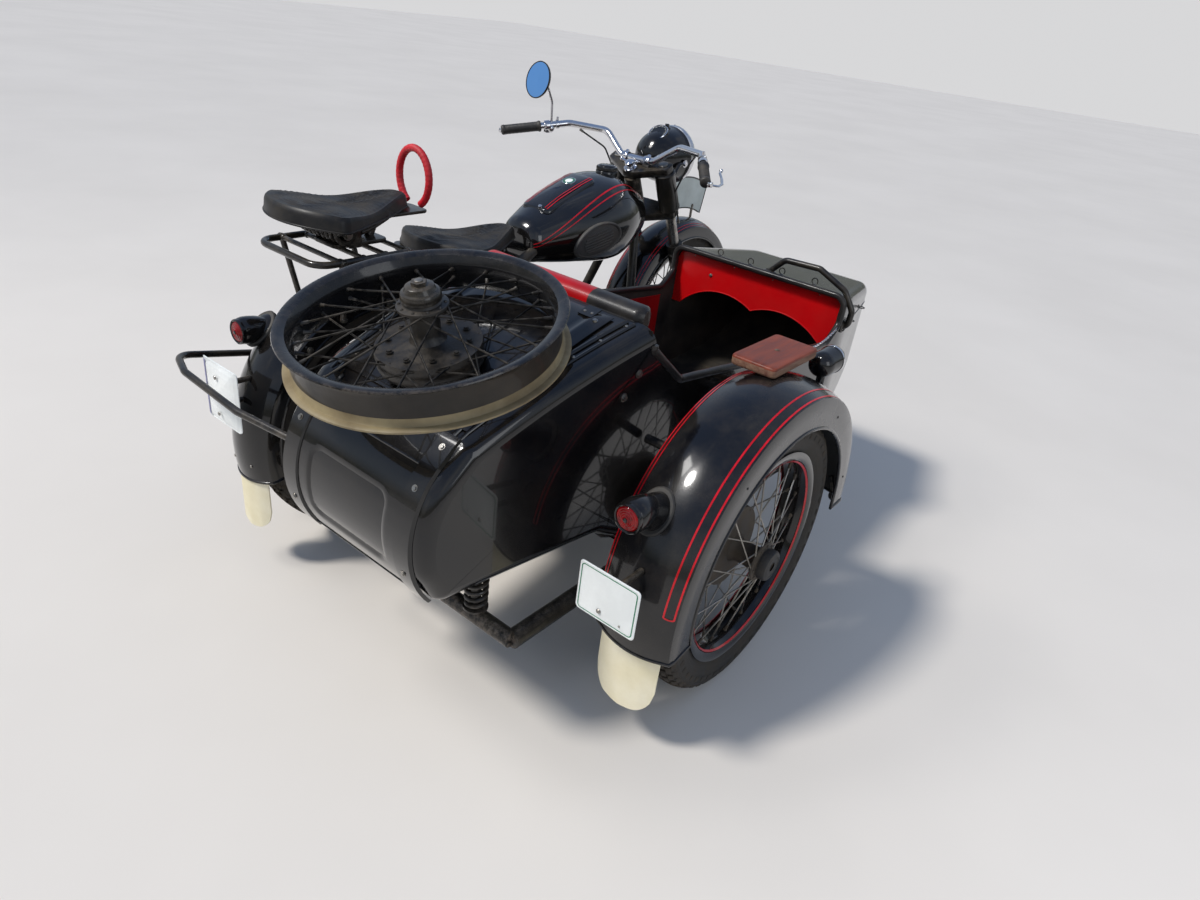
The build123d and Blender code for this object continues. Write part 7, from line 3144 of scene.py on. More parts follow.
@dataclass
class Tank:
    """Teardrop fuel tank with its tool lid, filler cap, knee pads and pinstripes."""

    rear: float = -0.070
    front: float = 0.452
    lid_x: float = 0.104
    lid_size: tuple[float, float, float] = (0.212, 0.112, 0.022)
    cap_x: float = 0.326

    def section(self, x: float, count: int = 40) -> list[tuple[float, float]]:
        """Return half of the section at x, from the keel up to the crest, as (y, z).

        Args:
            x: Place along the outfit.
            count: Number of pieces.

        Returns:
            Points of the section, in order.
        """
        half, low, high = smooth_rows(TANK_ROWS, x)
        rise = high - low
        flank = arc_through(
            (half * 0.66, low), (half, low + rise * 0.52), (half * 0.62, high - rise * 0.09), 24
        )
        crest = arc_through(
            (half * 0.62, high - rise * 0.09), (0.0, high), (-half * 0.62, high - rise * 0.09), 48
        )[1:25]
        line = [
            (0.0, low + 0.002), (half * 0.40, low + 0.0005), (half * 0.66, low + 0.0005)
        ] + flank[1:] + crest
        for _ in range(3):
            line = [line[0]] + [
                (
                    (a[0] + 2 * b[0] + c[0]) / 4, (a[1] + 2 * b[1] + c[1]) / 4
                ) for a, b, c in zip(line, line[1:], line[2:])
            ] + [line[-1]]
        lengths = [0.0]
        for a, b in zip(line, line[1:]):
            lengths.append(lengths[-1] + math.hypot(b[0] - a[0], b[1] - a[1]))
        even = []
        for i in range(count + 1):
            want = lengths[-1] * i / count
            k = min(max(j for j in range(len(lengths)) if lengths[j] <= want + 1e-9), len(line) - 2)
            share = (want - lengths[k]) / max(lengths[k + 1] - lengths[k], 1e-9)
            even.append((lerp(line[k][0], line[k + 1][0], share), lerp(line[k][1], line[k + 1][1], share)))
        return even

    def squeeze(self, x: float) -> float:
        """Return how much a section shrinks near the two ends.

        Args:
            x: Place along the outfit.

        Returns:
            Scale of the section, 1 away from the ends.
        """
        reach = 0.030
        gap = min(x - self.rear, self.front - x)
        if gap >= reach:
            return 1.0
        return 0.60 + 0.40 * math.sqrt(max(1 - (1 - gap / reach) ** 2, 0.0))

    def at(self, x: float, share: float, side: int, proud: float = 0.0) -> Vector:
        """Return a point on the skin: share runs from the keel (0) to the crest (1).

        Args:
            x: Place along the outfit.
            share: Place on the section, from the keel (0) to the crest (1).
            side: 1 on the left and -1 on the right.
            proud: Distance above the skin.

        Returns:
            The point in the shared frame.
        """
        line = self.section(x)
        place = share * (len(line) - 1)
        k = min(int(place), len(line) - 2)
        y = lerp(line[k][0], line[k + 1][0], place - k)
        z = lerp(line[k][1], line[k + 1][1], place - k)
        run = Vector((line[k + 1][0] - line[k][0], line[k + 1][1] - line[k][1]))
        out = Vector((run.y, -run.x)).normalized() * proud
        _, low, high = smooth_rows(TANK_ROWS, x)
        pull = self.squeeze(x)
        middle = lerp(low, high, 0.5)
        return on_bike(x, side * ((y * pull) + out.x), middle + (z - middle) * pull + out.y)

    def body(self) -> None:
        """Build the two halves of the shell, the seam and the pinstripes."""
        shape = Shape()
        places = []
        for i in range(97):
            share = i / 96
            eased = share - math.sin(2 * math.pi * share) * 0.11
            places.append(lerp(self.rear, self.front, eased))
        rings = []
        for x in places:
            left = [self.at(x, k / 40, 1) for k in range(41)]
            right = [self.at(x, k / 40, -1) for k in range(39, 0, -1)]
            rings.append(left + right)
        shape.strip(rings, 0)
        for ring in (rings[0], rings[-1]):
            middle = sum(ring, Vector()) / len(ring)
            last = ring
            for share in (0.7, 0.35, 0.02):
                inner = [middle + (point - middle) * share for point in ring]
                shape.strip([last, inner], 0)
                last = inner
        for side in (-1, 1):
            self._stripe(shape, side, 0.800, 0.0034)
            self._stripe(shape, side, 0.755, 0.0028)
            seam = [self.at(x, 0.16, side, 0.0006) for x in places[6:-6:2]]
            shape.tube(seam, 0.0016, 6, 0)
        shape.make(
            "teardrop_tank", [TANK_PAINT, STRIPE_RED], Body.ROOT, Slot.BLACK, ["fuel_tank"],
            crease=50, weld=True
        )

    def _stripe(self, shape: Shape, side: int, share: float, width: float) -> None:
        """Paint one shoulder line that falls toward the tail and the front.

        Args:
            shape: Shape to add to.
            side: 1 on the left and -1 on the right.
            share: Place between the keel (0) and the crest (1).
            width: Width.
        """
        rows = []
        start, end = -0.062, 0.440
        for i in range(91):
            x = lerp(start, end, i / 90)
            tail = max(0.0, 1 - (x - start) / 0.40)
            nose = max(0.0, 1 - (end - x) / 0.07)
            level = share - 0.27 * tail ** 2 - 0.10 * nose ** 2
            step = width / 2 / 0.30
            rows.append([self.at(x, level - step, side, 0.0007), self.at(x, level + step, side, 0.0007)])
        shape.strip(rows, 1, closed=False)

    def _crest(self, x: float, y: float, lift: float) -> Vector:
        """Return a point above the top of the tank, with y measured from the middle.

        Args:
            x: Place along the outfit.
            y: Place across, from the centre plane.
            lift: Distance above the surface.

        Returns:
            The point in the shared frame.
        """
        line = self.section(x)
        want = abs(y) / self.squeeze(x)
        for low, high in zip(line[-2::-1], line[:0:-1]):
            if high[0] <= want <= low[0]:
                return on_bike(
                    x, y, lerp(high[1], low[1], (want - high[0]) / max(low[0] - high[0], 1e-9)) + lift
                )
        return on_bike(x, y, line[-1][1] + lift)

    def lid(self) -> None:
        """Build the tool lid, which follows the tank, with its lines, badge and button."""
        shape = Shape()
        length, width, corner = self.lid_size
        outline = rounded_box(length, width, corner, 8)
        rings = []
        for lift, share in (
            (-0.008, 1.0), (0.0056, 1.0), (0.0072, 0.985), (0.0080, 0.955), (0.0082, 0.80),
            (0.0084, 0.60), (0.0085, 0.40), (0.0086, 0.20), (0.0086, 0.02)
        ):
            rings.append([self._crest(self.lid_x + x * share, y * share, lift) for x, y in outline])
        shape.strip(rings, 0)
        shape.tube(
            [self._crest(self.lid_x + x * 1.012, y * 1.02, 0.001) for x, y in outline], 0.0016, 6, 0,
            looped=True
        )
        for side in (-1, 1):
            for inset, wide in ((0.0120, 0.0026), (0.0205, 0.0022)):
                rows = []
                for i in range(41):
                    x = self.lid_x + lerp(-length / 2 + 0.008, length / 2 - 0.008, i / 40)
                    y = side * (width / 2 - inset)
                    rows.append([self._crest(x, y - wide / 2, 0.0091), self._crest(x, y + wide / 2, 0.0091)])
                shape.strip(rows, 1, closed=False)
        spot = self.lid_x + 0.042
        badge = self._crest(spot, 0.0, 0.0085)
        up = (
            Vector((0.0, 1.0, 0.0)).cross(
                self._crest(spot - 0.01, 0.0, 0.0)
                - self._crest(spot + 0.01, 0.0, 0.0)
            )
        ).normalized()
        if up.z < 0:
            up = -up
        shape.lathe(
            [(0.0215, -0.001), (0.0215, 0.0012), (0.0200, 0.0022), (0.0190, 0.0016)], badge, up, 48, 2
        )
        shape.lathe([(0.0190, 0.0016), (0.0130, 0.0022), (0.0122, 0.0020)], badge, up, 48, 3)
        shape.lathe([(0.0122, 0.0020), (0.0112, 0.0026), (0.0, 0.0032)], badge, up, 40, 4)
        button = self._crest(self.lid_x - length / 2 + 0.004, -0.020, 0.008)
        shape.lathe([(0.0062, -0.006), (0.0062, 0.002), (0.0045, 0.0042), (0.0, 0.005)], button, up, 16, 2)
        shape.make(
            "tool_lid", [TANK_PAINT, STRIPE_RED, CHROME, BADGE_GREEN, WHITE_PAINT], Body.ROOT,
            Slot.BLACK, ["tank_lid"]
        )

    def cap(self) -> None:
        """Build the filler cap with its knurled edge and its neck."""
        shape = Shape()
        foot = on_bike(self.cap_x, 0.0, 0.872)
        shape.lathe([(0.0345, 0.0), (0.0345, 0.022), (0.0335, 0.0235), (0.0305, 0.024)], foot, Z_AXIS, 48, 0)
        rings = []
        for radius, reach, cut in (
            (0.0295, 0.0245, 0.0), (0.0335, 0.0255, 0.0008), (0.0338, 0.0325, 0.0010),
            (0.0325, 0.0355, 0.0006), (0.0290, 0.0372, 0.0)
        ):
            ring = []
            for k in range(144):
                turn = 2 * math.pi * k / 144
                size = radius - (cut if k % 3 else 0.0)
                ring.append(foot + Vector((size * math.cos(turn), size * math.sin(turn), reach)))
            rings.append(ring)
        shape.strip(rings, 0)
        shape.lathe(
            [
                (0.0290, 0.0372), (0.0262, 0.0374), (0.0255, 0.0392), (0.0235, 0.0405),
                (0.012, 0.0412), (0.0, 0.0414)
            ],
            foot, Z_AXIS, 48, 0
        )
        shape.make("knurled_filler_cap", [GLOSS_BLACK], Body.ROOT, Slot.BLACK, ["filler_cap"])

    def pads(self) -> None:
        """Build the oval rubber knee pads with their raised rim and ribs."""
        shape = Shape()
        middle = (0.150, 0.726)
        lean = math.radians(16)
        for side in (-1, 1):
            rings = []
            levels = (
                (1.0, -0.012), (1.0, 0.004), (0.985, 0.0082), (0.945, 0.0095), (0.90, 0.0085),
                (0.875, 0.0052), (0.70, 0.0048), (0.45, 0.0052), (0.20, 0.0054), (0.01, 0.0055)
            )
            for scale, lift in levels:
                ring = []
                for k in range(72):
                    turn = 2 * math.pi * k / 72
                    a, b = 0.088 * scale * math.cos(turn), 0.052 * scale * math.sin(turn)
                    x = middle[0] + a * math.cos(lean) - b * math.sin(lean)
                    z = middle[1] + a * math.sin(lean) + b * math.cos(lean)
                    skin = self._flank(x, z)
                    ring.append(on_bike(x, side * (skin + lift), z))
                rings.append(ring)
            shape.strip(rings, 0)
            for row in range(7):
                b = (row - 3) * 0.0092
                reach = 0.088 * 0.62 * math.sqrt(max(1 - (b / (0.052 * 0.76)) ** 2, 0.0))
                route = []
                for i in range(13):
                    a = lerp(-reach, reach, i / 12)
                    x = middle[0] + a * math.cos(lean) - b * math.sin(lean)
                    z = middle[1] + a * math.sin(lean) + b * math.cos(lean)
                    route.append(on_bike(x, side * (self._flank(x, z) + 0.0055), z))
                shape.tube(route, 0.0024, 8, 0)
        piece = shape.make("oval_knee_pads", [GREY_RUBBER], Body.ROOT, Slot.RUBBER, ["knee_pads"])

    def _flank(self, x: float, z: float) -> float:
        """Return the half width of the tank at a place on its side.

        Args:
            x: Place along the outfit.
            z: Height.

        Returns:
            The half width there.
        """
        line = self.section(x)
        for a, b in zip(line, line[1:]):
            if a[1] <= z <= b[1] and b[1] > a[1] and a[0] > 0.02:
                return lerp(a[0], b[0], (z - a[1]) / (b[1] - a[1]))
        return line[len(line) // 2][0]

    def build(self) -> None:
        """Build the tank and what sits on it."""
        self.body()
        self.lid()
        self.cap()
        self.pads()


# Saddles and rack


@dataclass
class Saddles:
    """Two rubber saddles on their springs, the grab hoop and the rack."""

    length: float = 0.340
    half: float = 0.160
    thick: float = 0.046

    def outline(self, nose_x: float) -> list[tuple[float, float]]:
        """Return the plan of a saddle, from the nose round the back, as (x, y).

        Args:
            nose_x: Place of the saddle's nose.

        Returns:
            Rows of (x, y).
        """
        back = nose_x - self.length
        rear = arc_through((back + 0.090, self.half), (back, 0.0), (back + 0.090, -self.half), 28)
        left = [(nose_x + 0.012, 0.024), (nose_x, 0.034), (nose_x - 0.130, 0.074)]
        line = [(nose_x + 0.022, 0.0)] + left + rear + [(x, -y) for x, y in reversed(left)]
        for _ in range(2):
            line = [
                ((line[i - 1][0] + 2 * line[i][0] + line[(i + 1) % len(line)][0]) / 4,
                 (line[i - 1][1] + 2 * line[i][1] + line[(i + 1) % len(line)][1]) / 4)
                for i in range(len(line))
            ]
        dense = []
        for a, b in zip(line, line[1:] + line[:1]):
            pieces = max(int(math.hypot(b[0] - a[0], b[1] - a[1]) / 0.006), 1)
            dense += [(lerp(a[0], b[0], k / pieces), lerp(a[1], b[1], k / pieces)) for k in range(pieces)]
        return dense

    def top(self, x: float, y: float, nose_x: float) -> float:
        """Return how far the rubber lies below the top of the saddle at a place.

        Args:
            x: Place along the outfit.
            y: Place across, from the centre plane.
            nose_x: Place of the saddle's nose.

        Returns:
            The depth below the top.
        """
        along_seat = (nose_x + 0.022 - x) / (self.length + 0.022)
        hollow = 0.017 * math.exp(-((along_seat - 0.46) / 0.24) ** 2)
        fall = 0.012 * (abs(y) / self.half) ** 2.4 * min(1.0, max(0.0, 1.6 - 1.2 * along_seat))
        nose = 0.011 * max(0.0, 1 - along_seat / 0.12) ** 2
        return hollow + fall + nose

    def saddle(self, name: str, node: str, nose_x: float, high: float) -> None:
        """Build one saddle: crowned rubber with chevron ribs, skirt and rolled edge.

        Args:
            name: Name of the piece.
            node: CAD node that it replaces.
            nose_x: Place of the saddle's nose.
            high: Height of its top.
        """
        shape = Shape()
        line = self.outline(nose_x)
        centre = Vector((nose_x - self.length * 0.56, 0.0))
        skirt = (
            (0.974, -0.0455), (1.0, -0.0452), (1.004, -0.042), (0.998, -0.037), (0.992, -0.024),
            (0.985, -0.013), (0.968, -0.006), (0.94, -0.0022)
        )
        rings = []
        for scale, lift in skirt:
            ring = []
            for x, y in line:
                px = centre.x + (x - centre.x) * scale
                py = y * scale
                drop = self.top(px, py, nose_x)
                level = high + lift - drop if lift > -0.03 else high + lift + 0.006 * math.cos(
                    (x - nose_x) * 18
                )
                ring.append(on_bike(px, py, max(level, high - self.thick)))
            rings.append(ring)
        shape.strip(rings, 0)
        last = rings[-1]
        steps = 26
        for i in range(1, steps + 1):
            scale = 0.94 * (1 - i / steps) + 0.004
            ring = []
            for x, y in line:
                px = centre.x + (x - centre.x) * scale
                py = y * scale
                wave = 0.0011 * math.cos((px - nose_x) * 2 * math.pi / 0.0125 + 2.2 * math.cos(py * 62))
                fade = min(1.0, i / 3)
                ring.append(
                    on_bike(
                        px, py,
                        high - 0.0015 * (1 - fade) - self.top(px, py, nose_x) + wave * fade - 0.0011
                    )
                )
            shape.strip([last, ring], 0)
            last = ring
        under = rings[0]
        for scale in (0.9, 0.5, 0.01):
            ring = []
            for x, y in line:
                px = centre.x + (x - centre.x) * 0.974 * scale
                ring.append(on_bike(px, y * 0.974 * scale, high - self.thick + 0.010))
            shape.strip([under, ring], 0)
            under = ring
        bead = []
        for x, y in line:
            drop = 0.006 * math.cos((x - nose_x) * 18)
            bead.append(
                on_bike(
                    centre.x + (x - centre.x) * 1.0, y,
                    max(high - 0.0435 + drop, high - self.thick + 0.003)
                )
            )
        shape.tube(bead, 0.0026, 8, 0, looped=True)
        piece = shape.make(name, [SADDLE_RUBBER], Body.ROOT, Slot.RUBBER, [node], crease=60)

    def coil(
        self, shape: Shape, start: Vector, end: Vector, radius: float, wire: float, turns: float,
        coat: int
    ) -> None:
        """Wind a round wire into a coil spring between two points.

        Args:
            shape: Shape to add to.
            start: First end.
            end: Last end.
            radius: Radius.
            wire: Radius of the wire.
            turns: Number of turns.
            coat: Finish number.
        """
        run = end - start
        across, up, _ = frame_of(run)
        route = []
        steps = int(turns * 20)
        for i in range(steps + 1):
            turn = 2 * math.pi * turns * i / steps
            share = i / steps
            eased = min(max((share - 0.04) / 0.92, 0.0), 1.0)
            size = radius * (1 - 0.14 * abs(2 * share - 1) ** 4)
            route.append(
                start
                + run * eased
                + across * (size * math.cos(turn))
                + up * (size * math.sin(turn))
            )
        shape.tube(route, wire, 10, coat)

    def mounts(self) -> None:
        """Build the springs, hinges and brackets below the two saddles."""
        shape = Shape()
        for side in (-1, 1):
            foot = on_bike(-0.400, side * 0.104, 0.5835)
            self.coil(shape, foot + Z_AXIS * 0.012, foot + Z_AXIS * 0.139, 0.0195, 0.0042, 7.5, 0)
            shape.lathe(
                [(0.024, 0.0), (0.024, 0.005), (0.012, 0.009), (0.009, 0.02)], foot, Z_AXIS, 28, 0,
                caps=(True, True)
            )
            shape.lathe(
                [(0.024, 0.0), (0.024, 0.004), (0.012, 0.008), (0.009, 0.02)], foot + Z_AXIS * 0.1448,
                -Z_AXIS, 28, 0, caps=(True, True)
            )
        nose = on_bike(-0.120, 0.0, 0.0)
        shape.rod(nose + Vector((0, -0.064, 0.690)), nose + Vector((0, 0.064, 0.690)), 0.010, 20, 0)
        shape.lathe(
            [(0.017, 0.0), (0.014, 0.006), (0.0105, 0.012), (0.0105, 0.026), (0.014, 0.0385)],
            nose + Z_AXIS * 0.690, Z_AXIS, 24, 0, caps=(True, True)
        )
        base = 0.7913
        for centre, size in (
            ((-0.640, BIKE_Y, base + 0.005), (0.150, 0.090, 0.0095)),
            ((-0.560, BIKE_Y, 0.8507), (0.250, 0.080, 0.0075))
        ):
            outline = rounded_box(size[0], size[1], 0.014, 5)
            low = Vector(centre) - Z_AXIS * size[2] / 2
            rings = []
            for lift, scale in ((0.0, 0.985), (0.0015, 1.0), (size[2] - 0.0015, 1.0), (size[2], 0.985)):
                rings.append([low + Vector((x * scale, y * scale, lift)) for x, y in outline])
            shape.strip(rings, 0, True, False, (True, True))
        for x in (-0.445, -0.675):
            shape.lathe(
                [(0.0075, 0.0), (0.0075, 0.004), (0.0055, 0.0052), (0.0, 0.0054)],
                on_bike(x, 0.026, 0.8468), -Z_AXIS, 16, 1
            )
        shape.rod(on_bike(-0.590, 0.0, base + 0.008), on_bike(-0.565, 0.0, 0.848), 0.0115, 20, 0)
        for y in (-0.036, 0.036):
            shape.block(on_bike(-0.666, y * 1.45, base + 0.0215), (0.034, 0.0045, 0.042), coat=0)
        low = on_bike(-0.690, -0.0575, base + 0.035)
        self.coil(shape, low, low + Y_AXIS * 0.160, 0.0235, 0.0064, 9.5, 0)
        shape.rod(low - Y_AXIS * 0.0025, low + Y_AXIS * 0.1625, 0.0095, 18, 0)
        for y, face in ((-0.060, -1), (0.105, 1)):
            bolt_head(shape, on_bike(-0.690, y, base + 0.035), Y_AXIS * face, 0.0085, 1)
        arm = [
            on_bike(-0.650, 0.052, base + 0.034), on_bike(-0.610, 0.045, 0.832),
            on_bike(-0.560, 0.034, 0.8468)
        ]
        for hand in (-1, 1):
            route = [Vector((p.x, 2 * BIKE_Y - p.y if hand < 0 else p.y, p.z)) for p in arm]
            shape.tube(rounded_route(route, 0.014, 5), 0.006, 12, 0)
        shape.make("saddle_springs", [FRAME_BLACK, DULL_CHROME], Body.ROOT, Slot.BLACK, ["saddle_mounts"])

    def rack(self) -> None:
        """Build the tube rack with its bars, stays, welds and bolts."""
        shape = Shape()
        front, rear, half, z = -0.560, -0.812, 0.118, 0.785
        corners = [
            on_bike(front, -half, z), on_bike(rear, -half, z),
            on_bike(rear, half, z), on_bike(front, half, z),
        ]
        shape.tube(rounded_route(corners, 0.040, 8), 0.008, 18, 0)
        for i in range(4):
            x = lerp(front, rear, i / 4)
            shape.rod(on_bike(x, -half, z), on_bike(x, half, z), 0.006, 14, 0)
            for side in (-1, 1):
                shape.ball(on_bike(x, side * (half - 0.008), z), 0.0088, 12, 0)
        for x in (-0.66, -0.71):
            for y in (-0.05, 0.05):
                bolt_head(shape, on_bike(x + 0.03, y * 0.6, z + 0.0165), Z_AXIS, 0.0052, 1)
        for side in (-1, 1):
            for x, low in ((front - 0.004, 0.650), (front - 0.189, 0.632)):
                start = on_bike(x, side * half, z)
                end = on_bike(x + 0.020, side * 0.0850, low)
                shape.rod(start, end, 0.007, 14, 0)
                shape.ball(start, 0.0096, 12, 0)
                bolt_head(shape, start + Vector((0, side * 0.008, 0)), Y_AXIS * side, 0.0055, 1)
                bolt_head(shape, end + Vector((0, side * 0.0065, 0.006)), Y_AXIS * side, 0.0052, 1)
        shape.make("tube_rack", [FRAME_BLACK, DULL_CHROME], Body.ROOT, Slot.BLACK, ["rear_rack"])

    def hoop(self) -> None:
        """Build the grab hoop, wound with red tape."""
        shape = Shape()
        route = []
        for k in range(49):
            turn = math.radians(lerp(-62.0, 242.0, k / 48))
            route.append(on_bike(-0.450, 0.056 * math.cos(turn), 0.927 + 0.069 * math.sin(turn)))
        fine = []
        for first, second in zip(route, route[1:]):
            pieces = max(int((second - first).length / 0.0016), 1)
            fine += [first.lerp(second, k / pieces) for k in range(pieces)]
        fine.append(route[-1])
        lengths = [0.0]
        for first, second in zip(fine, fine[1:]):
            lengths.append(lengths[-1] + (second - first).length)
        total = lengths[-1]
        shape.tube(fine, lambda share: 0.0089 + 0.0006 * ((share * total / 0.011) % 1.0), 18, 0)
        shape.make("wrapped_hoop", [RED_WRAP], Body.ROOT, Slot.RED, ["grab_hoop"], crease=60)

    def build(self) -> None:
        """Build both saddles and what carries them."""
        self.saddle("rider_rubber_saddle", "rider_saddle", -0.100, 0.775)
        self.saddle("pillion_rubber_saddle", "pillion_saddle", -0.490, 0.901)
        self.mounts()
        self.rack()
        self.hoop()


# Fork, handlebar and lamp


@dataclass
class Steering:
    """Fork, yokes, handlebar with its controls, headlamp and mirror."""

    spread: float = FORK_SPREAD

    def legs(self) -> None:
        """Build the sliders with their clamps, the stanchions and the axle."""
        shape = Shape()
        for side in (-1, 1):
            foot = on_fork(-0.030, 0.0, side * self.spread)
            up = on_fork(1.0, 0.0, 0.0) - on_fork(0.0, 0.0, 0.0)
            slider = [
                (0.012, 0.0), (0.020, 0.001), (0.0235, 0.005), (0.025, 0.012), (0.025, 0.052),
                (0.0245, 0.056), (0.0255, 0.150),
                (0.0275, 0.154), (0.0275, 0.340), (0.0298, 0.343), (0.0305, 0.352), (0.0305, 0.372),
                (0.0290, 0.379), (0.0185, 0.380),
            ]
            shape.lathe(slider, foot, up, 36, 0, caps=(True, True))
            shape.rod(
                on_fork(0.349, 0.0, side * self.spread), on_fork(0.6585, 0.0, side * self.spread),
                0.018, 32, 1
            )
            shape.lathe(
                [(0.0178, 0.0), (0.0178, 0.0035), (0.015, 0.0055), (0.0, 0.006)],
                on_fork(0.6585, 0.0, side * self.spread), up, 6, 1
            )
            inner = Vector(FRONT_AXLE) + Y_AXIS * (side * 0.0655)
            shape.rod(inner, Vector(FRONT_AXLE) + Y_AXIS * (side * self.spread), 0.016, 28, 1)
            tip = Vector(FRONT_AXLE) + Y_AXIS * (side * (self.spread + 0.0255))
            hexagon = [
                (0.0155 * math.cos(math.radians(60 * i)), 0.0155 * math.sin(math.radians(60 * i)))
                for i in range(6)
            ]
            shape.prism(hexagon, tip if side < 0 else tip + Y_AXIS * 0.011, X_AXIS, Z_AXIS, 0.011, 1)
            pinch = on_fork(0.022, 0.0, side * self.spread) + X_AXIS * 0.0255
            bolt_head(shape, pinch, X_AXIS, 0.0055, 1)
        ends = [Vector(FRONT_AXLE) + Y_AXIS * (side * (self.spread + 0.040)) for side in (-1, 1)]
        shape.rod(ends[0], ends[1], 0.0098, 24, 1)
        shape.make("fork_sliders", [FRAME_BLACK, DULL_CHROME], Body.STEERING, Slot.BLACK, ["fork_legs"])

    def yokes(self) -> None:
        """Build the yokes, the shrouds with their rings, the stem and the damper knob."""
        shape = Shape()
        up = (on_fork(1.0, 0.0, 0.0) - on_fork(0.0, 0.0, 0.0)).normalized()
        back = (on_fork(0.0, 1.0, 0.0) - on_fork(0.0, 0.0, 0.0)).normalized()
        plan = rounded_2d(
            [
                (-0.021, -0.060), (-0.021, -0.121), (0.021, -0.121), (0.077, -0.021), (0.077, 0.021),
                (0.021, 0.121), (-0.021, 0.121), (-0.021, -0.058)
            ],
            0.014, 5,
        )
        for level in (0.470, 0.636):
            origin = on_fork(level, 0.0, 0.0)
            rings = []
            for lift, scale in ((0.0, 0.975), (0.0025, 1.0), (0.0215, 1.0), (0.024, 0.975)):
                ring = []
                for a, b in plan:
                    ring.append(
                        origin
                        + back * (0.02 + (a - 0.02) * scale)
                        + Y_AXIS * (b * scale)
                        + up * lift
                    )
                rings.append(ring)
            shape.strip(rings, 0, True, False, (True, True))
        for side in (-1, 1):
            foot = on_fork(0.494, 0.0, side * self.spread)
            profile = [
                (0.0320, 0.0), (0.0365, 0.002), (0.0365, 0.009), (0.0348, 0.012), (0.0348, 0.127),
                (0.0362, 0.130), (0.0362, 0.137), (0.0320, 0.142)
            ]
            shape.lathe(profile, foot, up, 40, 0, caps=(True, True))
            bolt_head(shape, on_fork(0.648, -0.0212, side * self.spread), -back, 0.0062, 1)
            bolt_head(shape, on_fork(0.482, -0.0212, side * self.spread), -back, 0.0062, 1)
        stem = on_fork(0.494, AXIS_BEHIND, 0.0)
        shape.rod(stem, on_fork(0.636, AXIS_BEHIND, 0.0), 0.014, 24, 0)
        top = on_fork(0.660, AXIS_BEHIND, 0.0)
        shape.lathe(
            [(0.022, 0.0), (0.022, 0.006), (0.018, 0.008), (0.011, 0.0085), (0.011, 0.016)], top, up,
            32, 1
        )
        knob = top + up * 0.016
        shape.lathe(
            [(0.011, 0.0), (0.016, 0.002), (0.0165, 0.009), (0.013, 0.0115), (0.005, 0.0125), (0.0, 0.0125)],
            knob, up, 32, 1
        )
        for side in (-1, 1):
            wing = [
                knob + up * 0.006 + Y_AXIS * (side * 0.008), knob + up * 0.010 + Y_AXIS * (side * 0.020),
                knob + up * 0.014 + Y_AXIS * (side * 0.031),
            ]
            shape.tube(wing, lambda share: 0.0042 + 0.0022 * share, 12, 1, squash=0.7)
            shape.ball(wing[-1], 0.0066, 12, 1)
        shape.make("fork_yoke_pair", [FRAME_BLACK, CHROME], Body.STEERING, Slot.BLACK, ["fork_yokes"])

    def bar_route(self, side: int) -> Ring:
        """Return the middle line of one half of the handlebar.

        Args:
            side: 1 on the left and -1 on the right.

        Returns:
            Points from the clamp to the end of the bar.
        """
        mount = on_fork(0.6733, AXIS_BEHIND * 0.35, 0.0)
        corners = [
            on_bike(mount.x, 0.0, mount.z), on_bike(mount.x, side * 0.062, mount.z),
            on_bike(mount.x + 0.018, side * 0.150, mount.z + 0.062),
            on_bike(mount.x - 0.040, side * 0.270, mount.z + 0.066), on_bike(0.262, side * 0.406, 0.948),
        ]
        return rounded_route(corners, 0.040, 8)

    def handlebar(self) -> None:
        """Build the chrome bar, its clamps, the levers, grips and their ferrules."""
        shape = Shape()
        mount = on_fork(0.6733, AXIS_BEHIND * 0.35, 0.0)
        up = (on_fork(1.0, 0.0, 0.0) - on_fork(0.0, 0.0, 0.0)).normalized()
        back = (on_fork(0.0, 1.0, 0.0) - on_fork(0.0, 0.0, 0.0)).normalized()
        grips = Shape()
        for side in (-1, 1):
            route = self.bar_route(side)
            shape.tube(route, 0.011, 24, 0)
            clamp = mount + Y_AXIS * (side * 0.045)
            shape.lathe(
                [
                    (0.0115, -0.012), (0.0158, -0.0115), (0.0165, -0.009), (0.0165, 0.009),
                    (0.0158, 0.0115), (0.0115, 0.012)
                ],
                clamp, Y_AXIS, 28, 0
            )
            shape.block(clamp - up * 0.0065, (0.030, 0.023, 0.012), (back, Y_AXIS, up), 0)
            for reach in (-0.011, 0.011):
                bolt_head(shape, clamp + back * reach + up * 0.0125, up, 0.0048, 0)
            end = on_bike(0.262, side * 0.406, 0.948)
            knee = on_bike(mount.x - 0.040, side * 0.270, mount.z + 0.066)
            inward = (knee - end).normalized()
            ahead = (X_AXIS - inward * X_AXIS.dot(inward)).normalized()
            profile = [(0.0112, 0.128), (0.0166, 0.1275), (0.0178, 0.1245), (0.0175, 0.121), (0.0158, 0.118)]
            for i in range(24):
                reach = 0.116 - i * 0.0046
                profile += [
                    (0.0158, reach), (0.0149, reach - 0.0012), (0.0149, reach - 0.0030),
                    (0.0158, reach - 0.0042)
                ]
            profile += [(0.0158, 0.002), (0.0160, 0.0), (0.0150, -0.004), (0.0120, -0.006), (0.0, -0.0062)]
            grips.lathe(profile, end, inward, 28, 0)
            pivot = end - inward * 0.004 + ahead * 0.0135
            shape.lathe(
                [
                    (0.0, -0.0075), (0.0085, -0.0065), (0.0095, -0.003), (0.0095, 0.003),
                    (0.0085, 0.0065), (0.0, 0.0075)
                ],
                pivot, Z_AXIS, 20, 0
            )
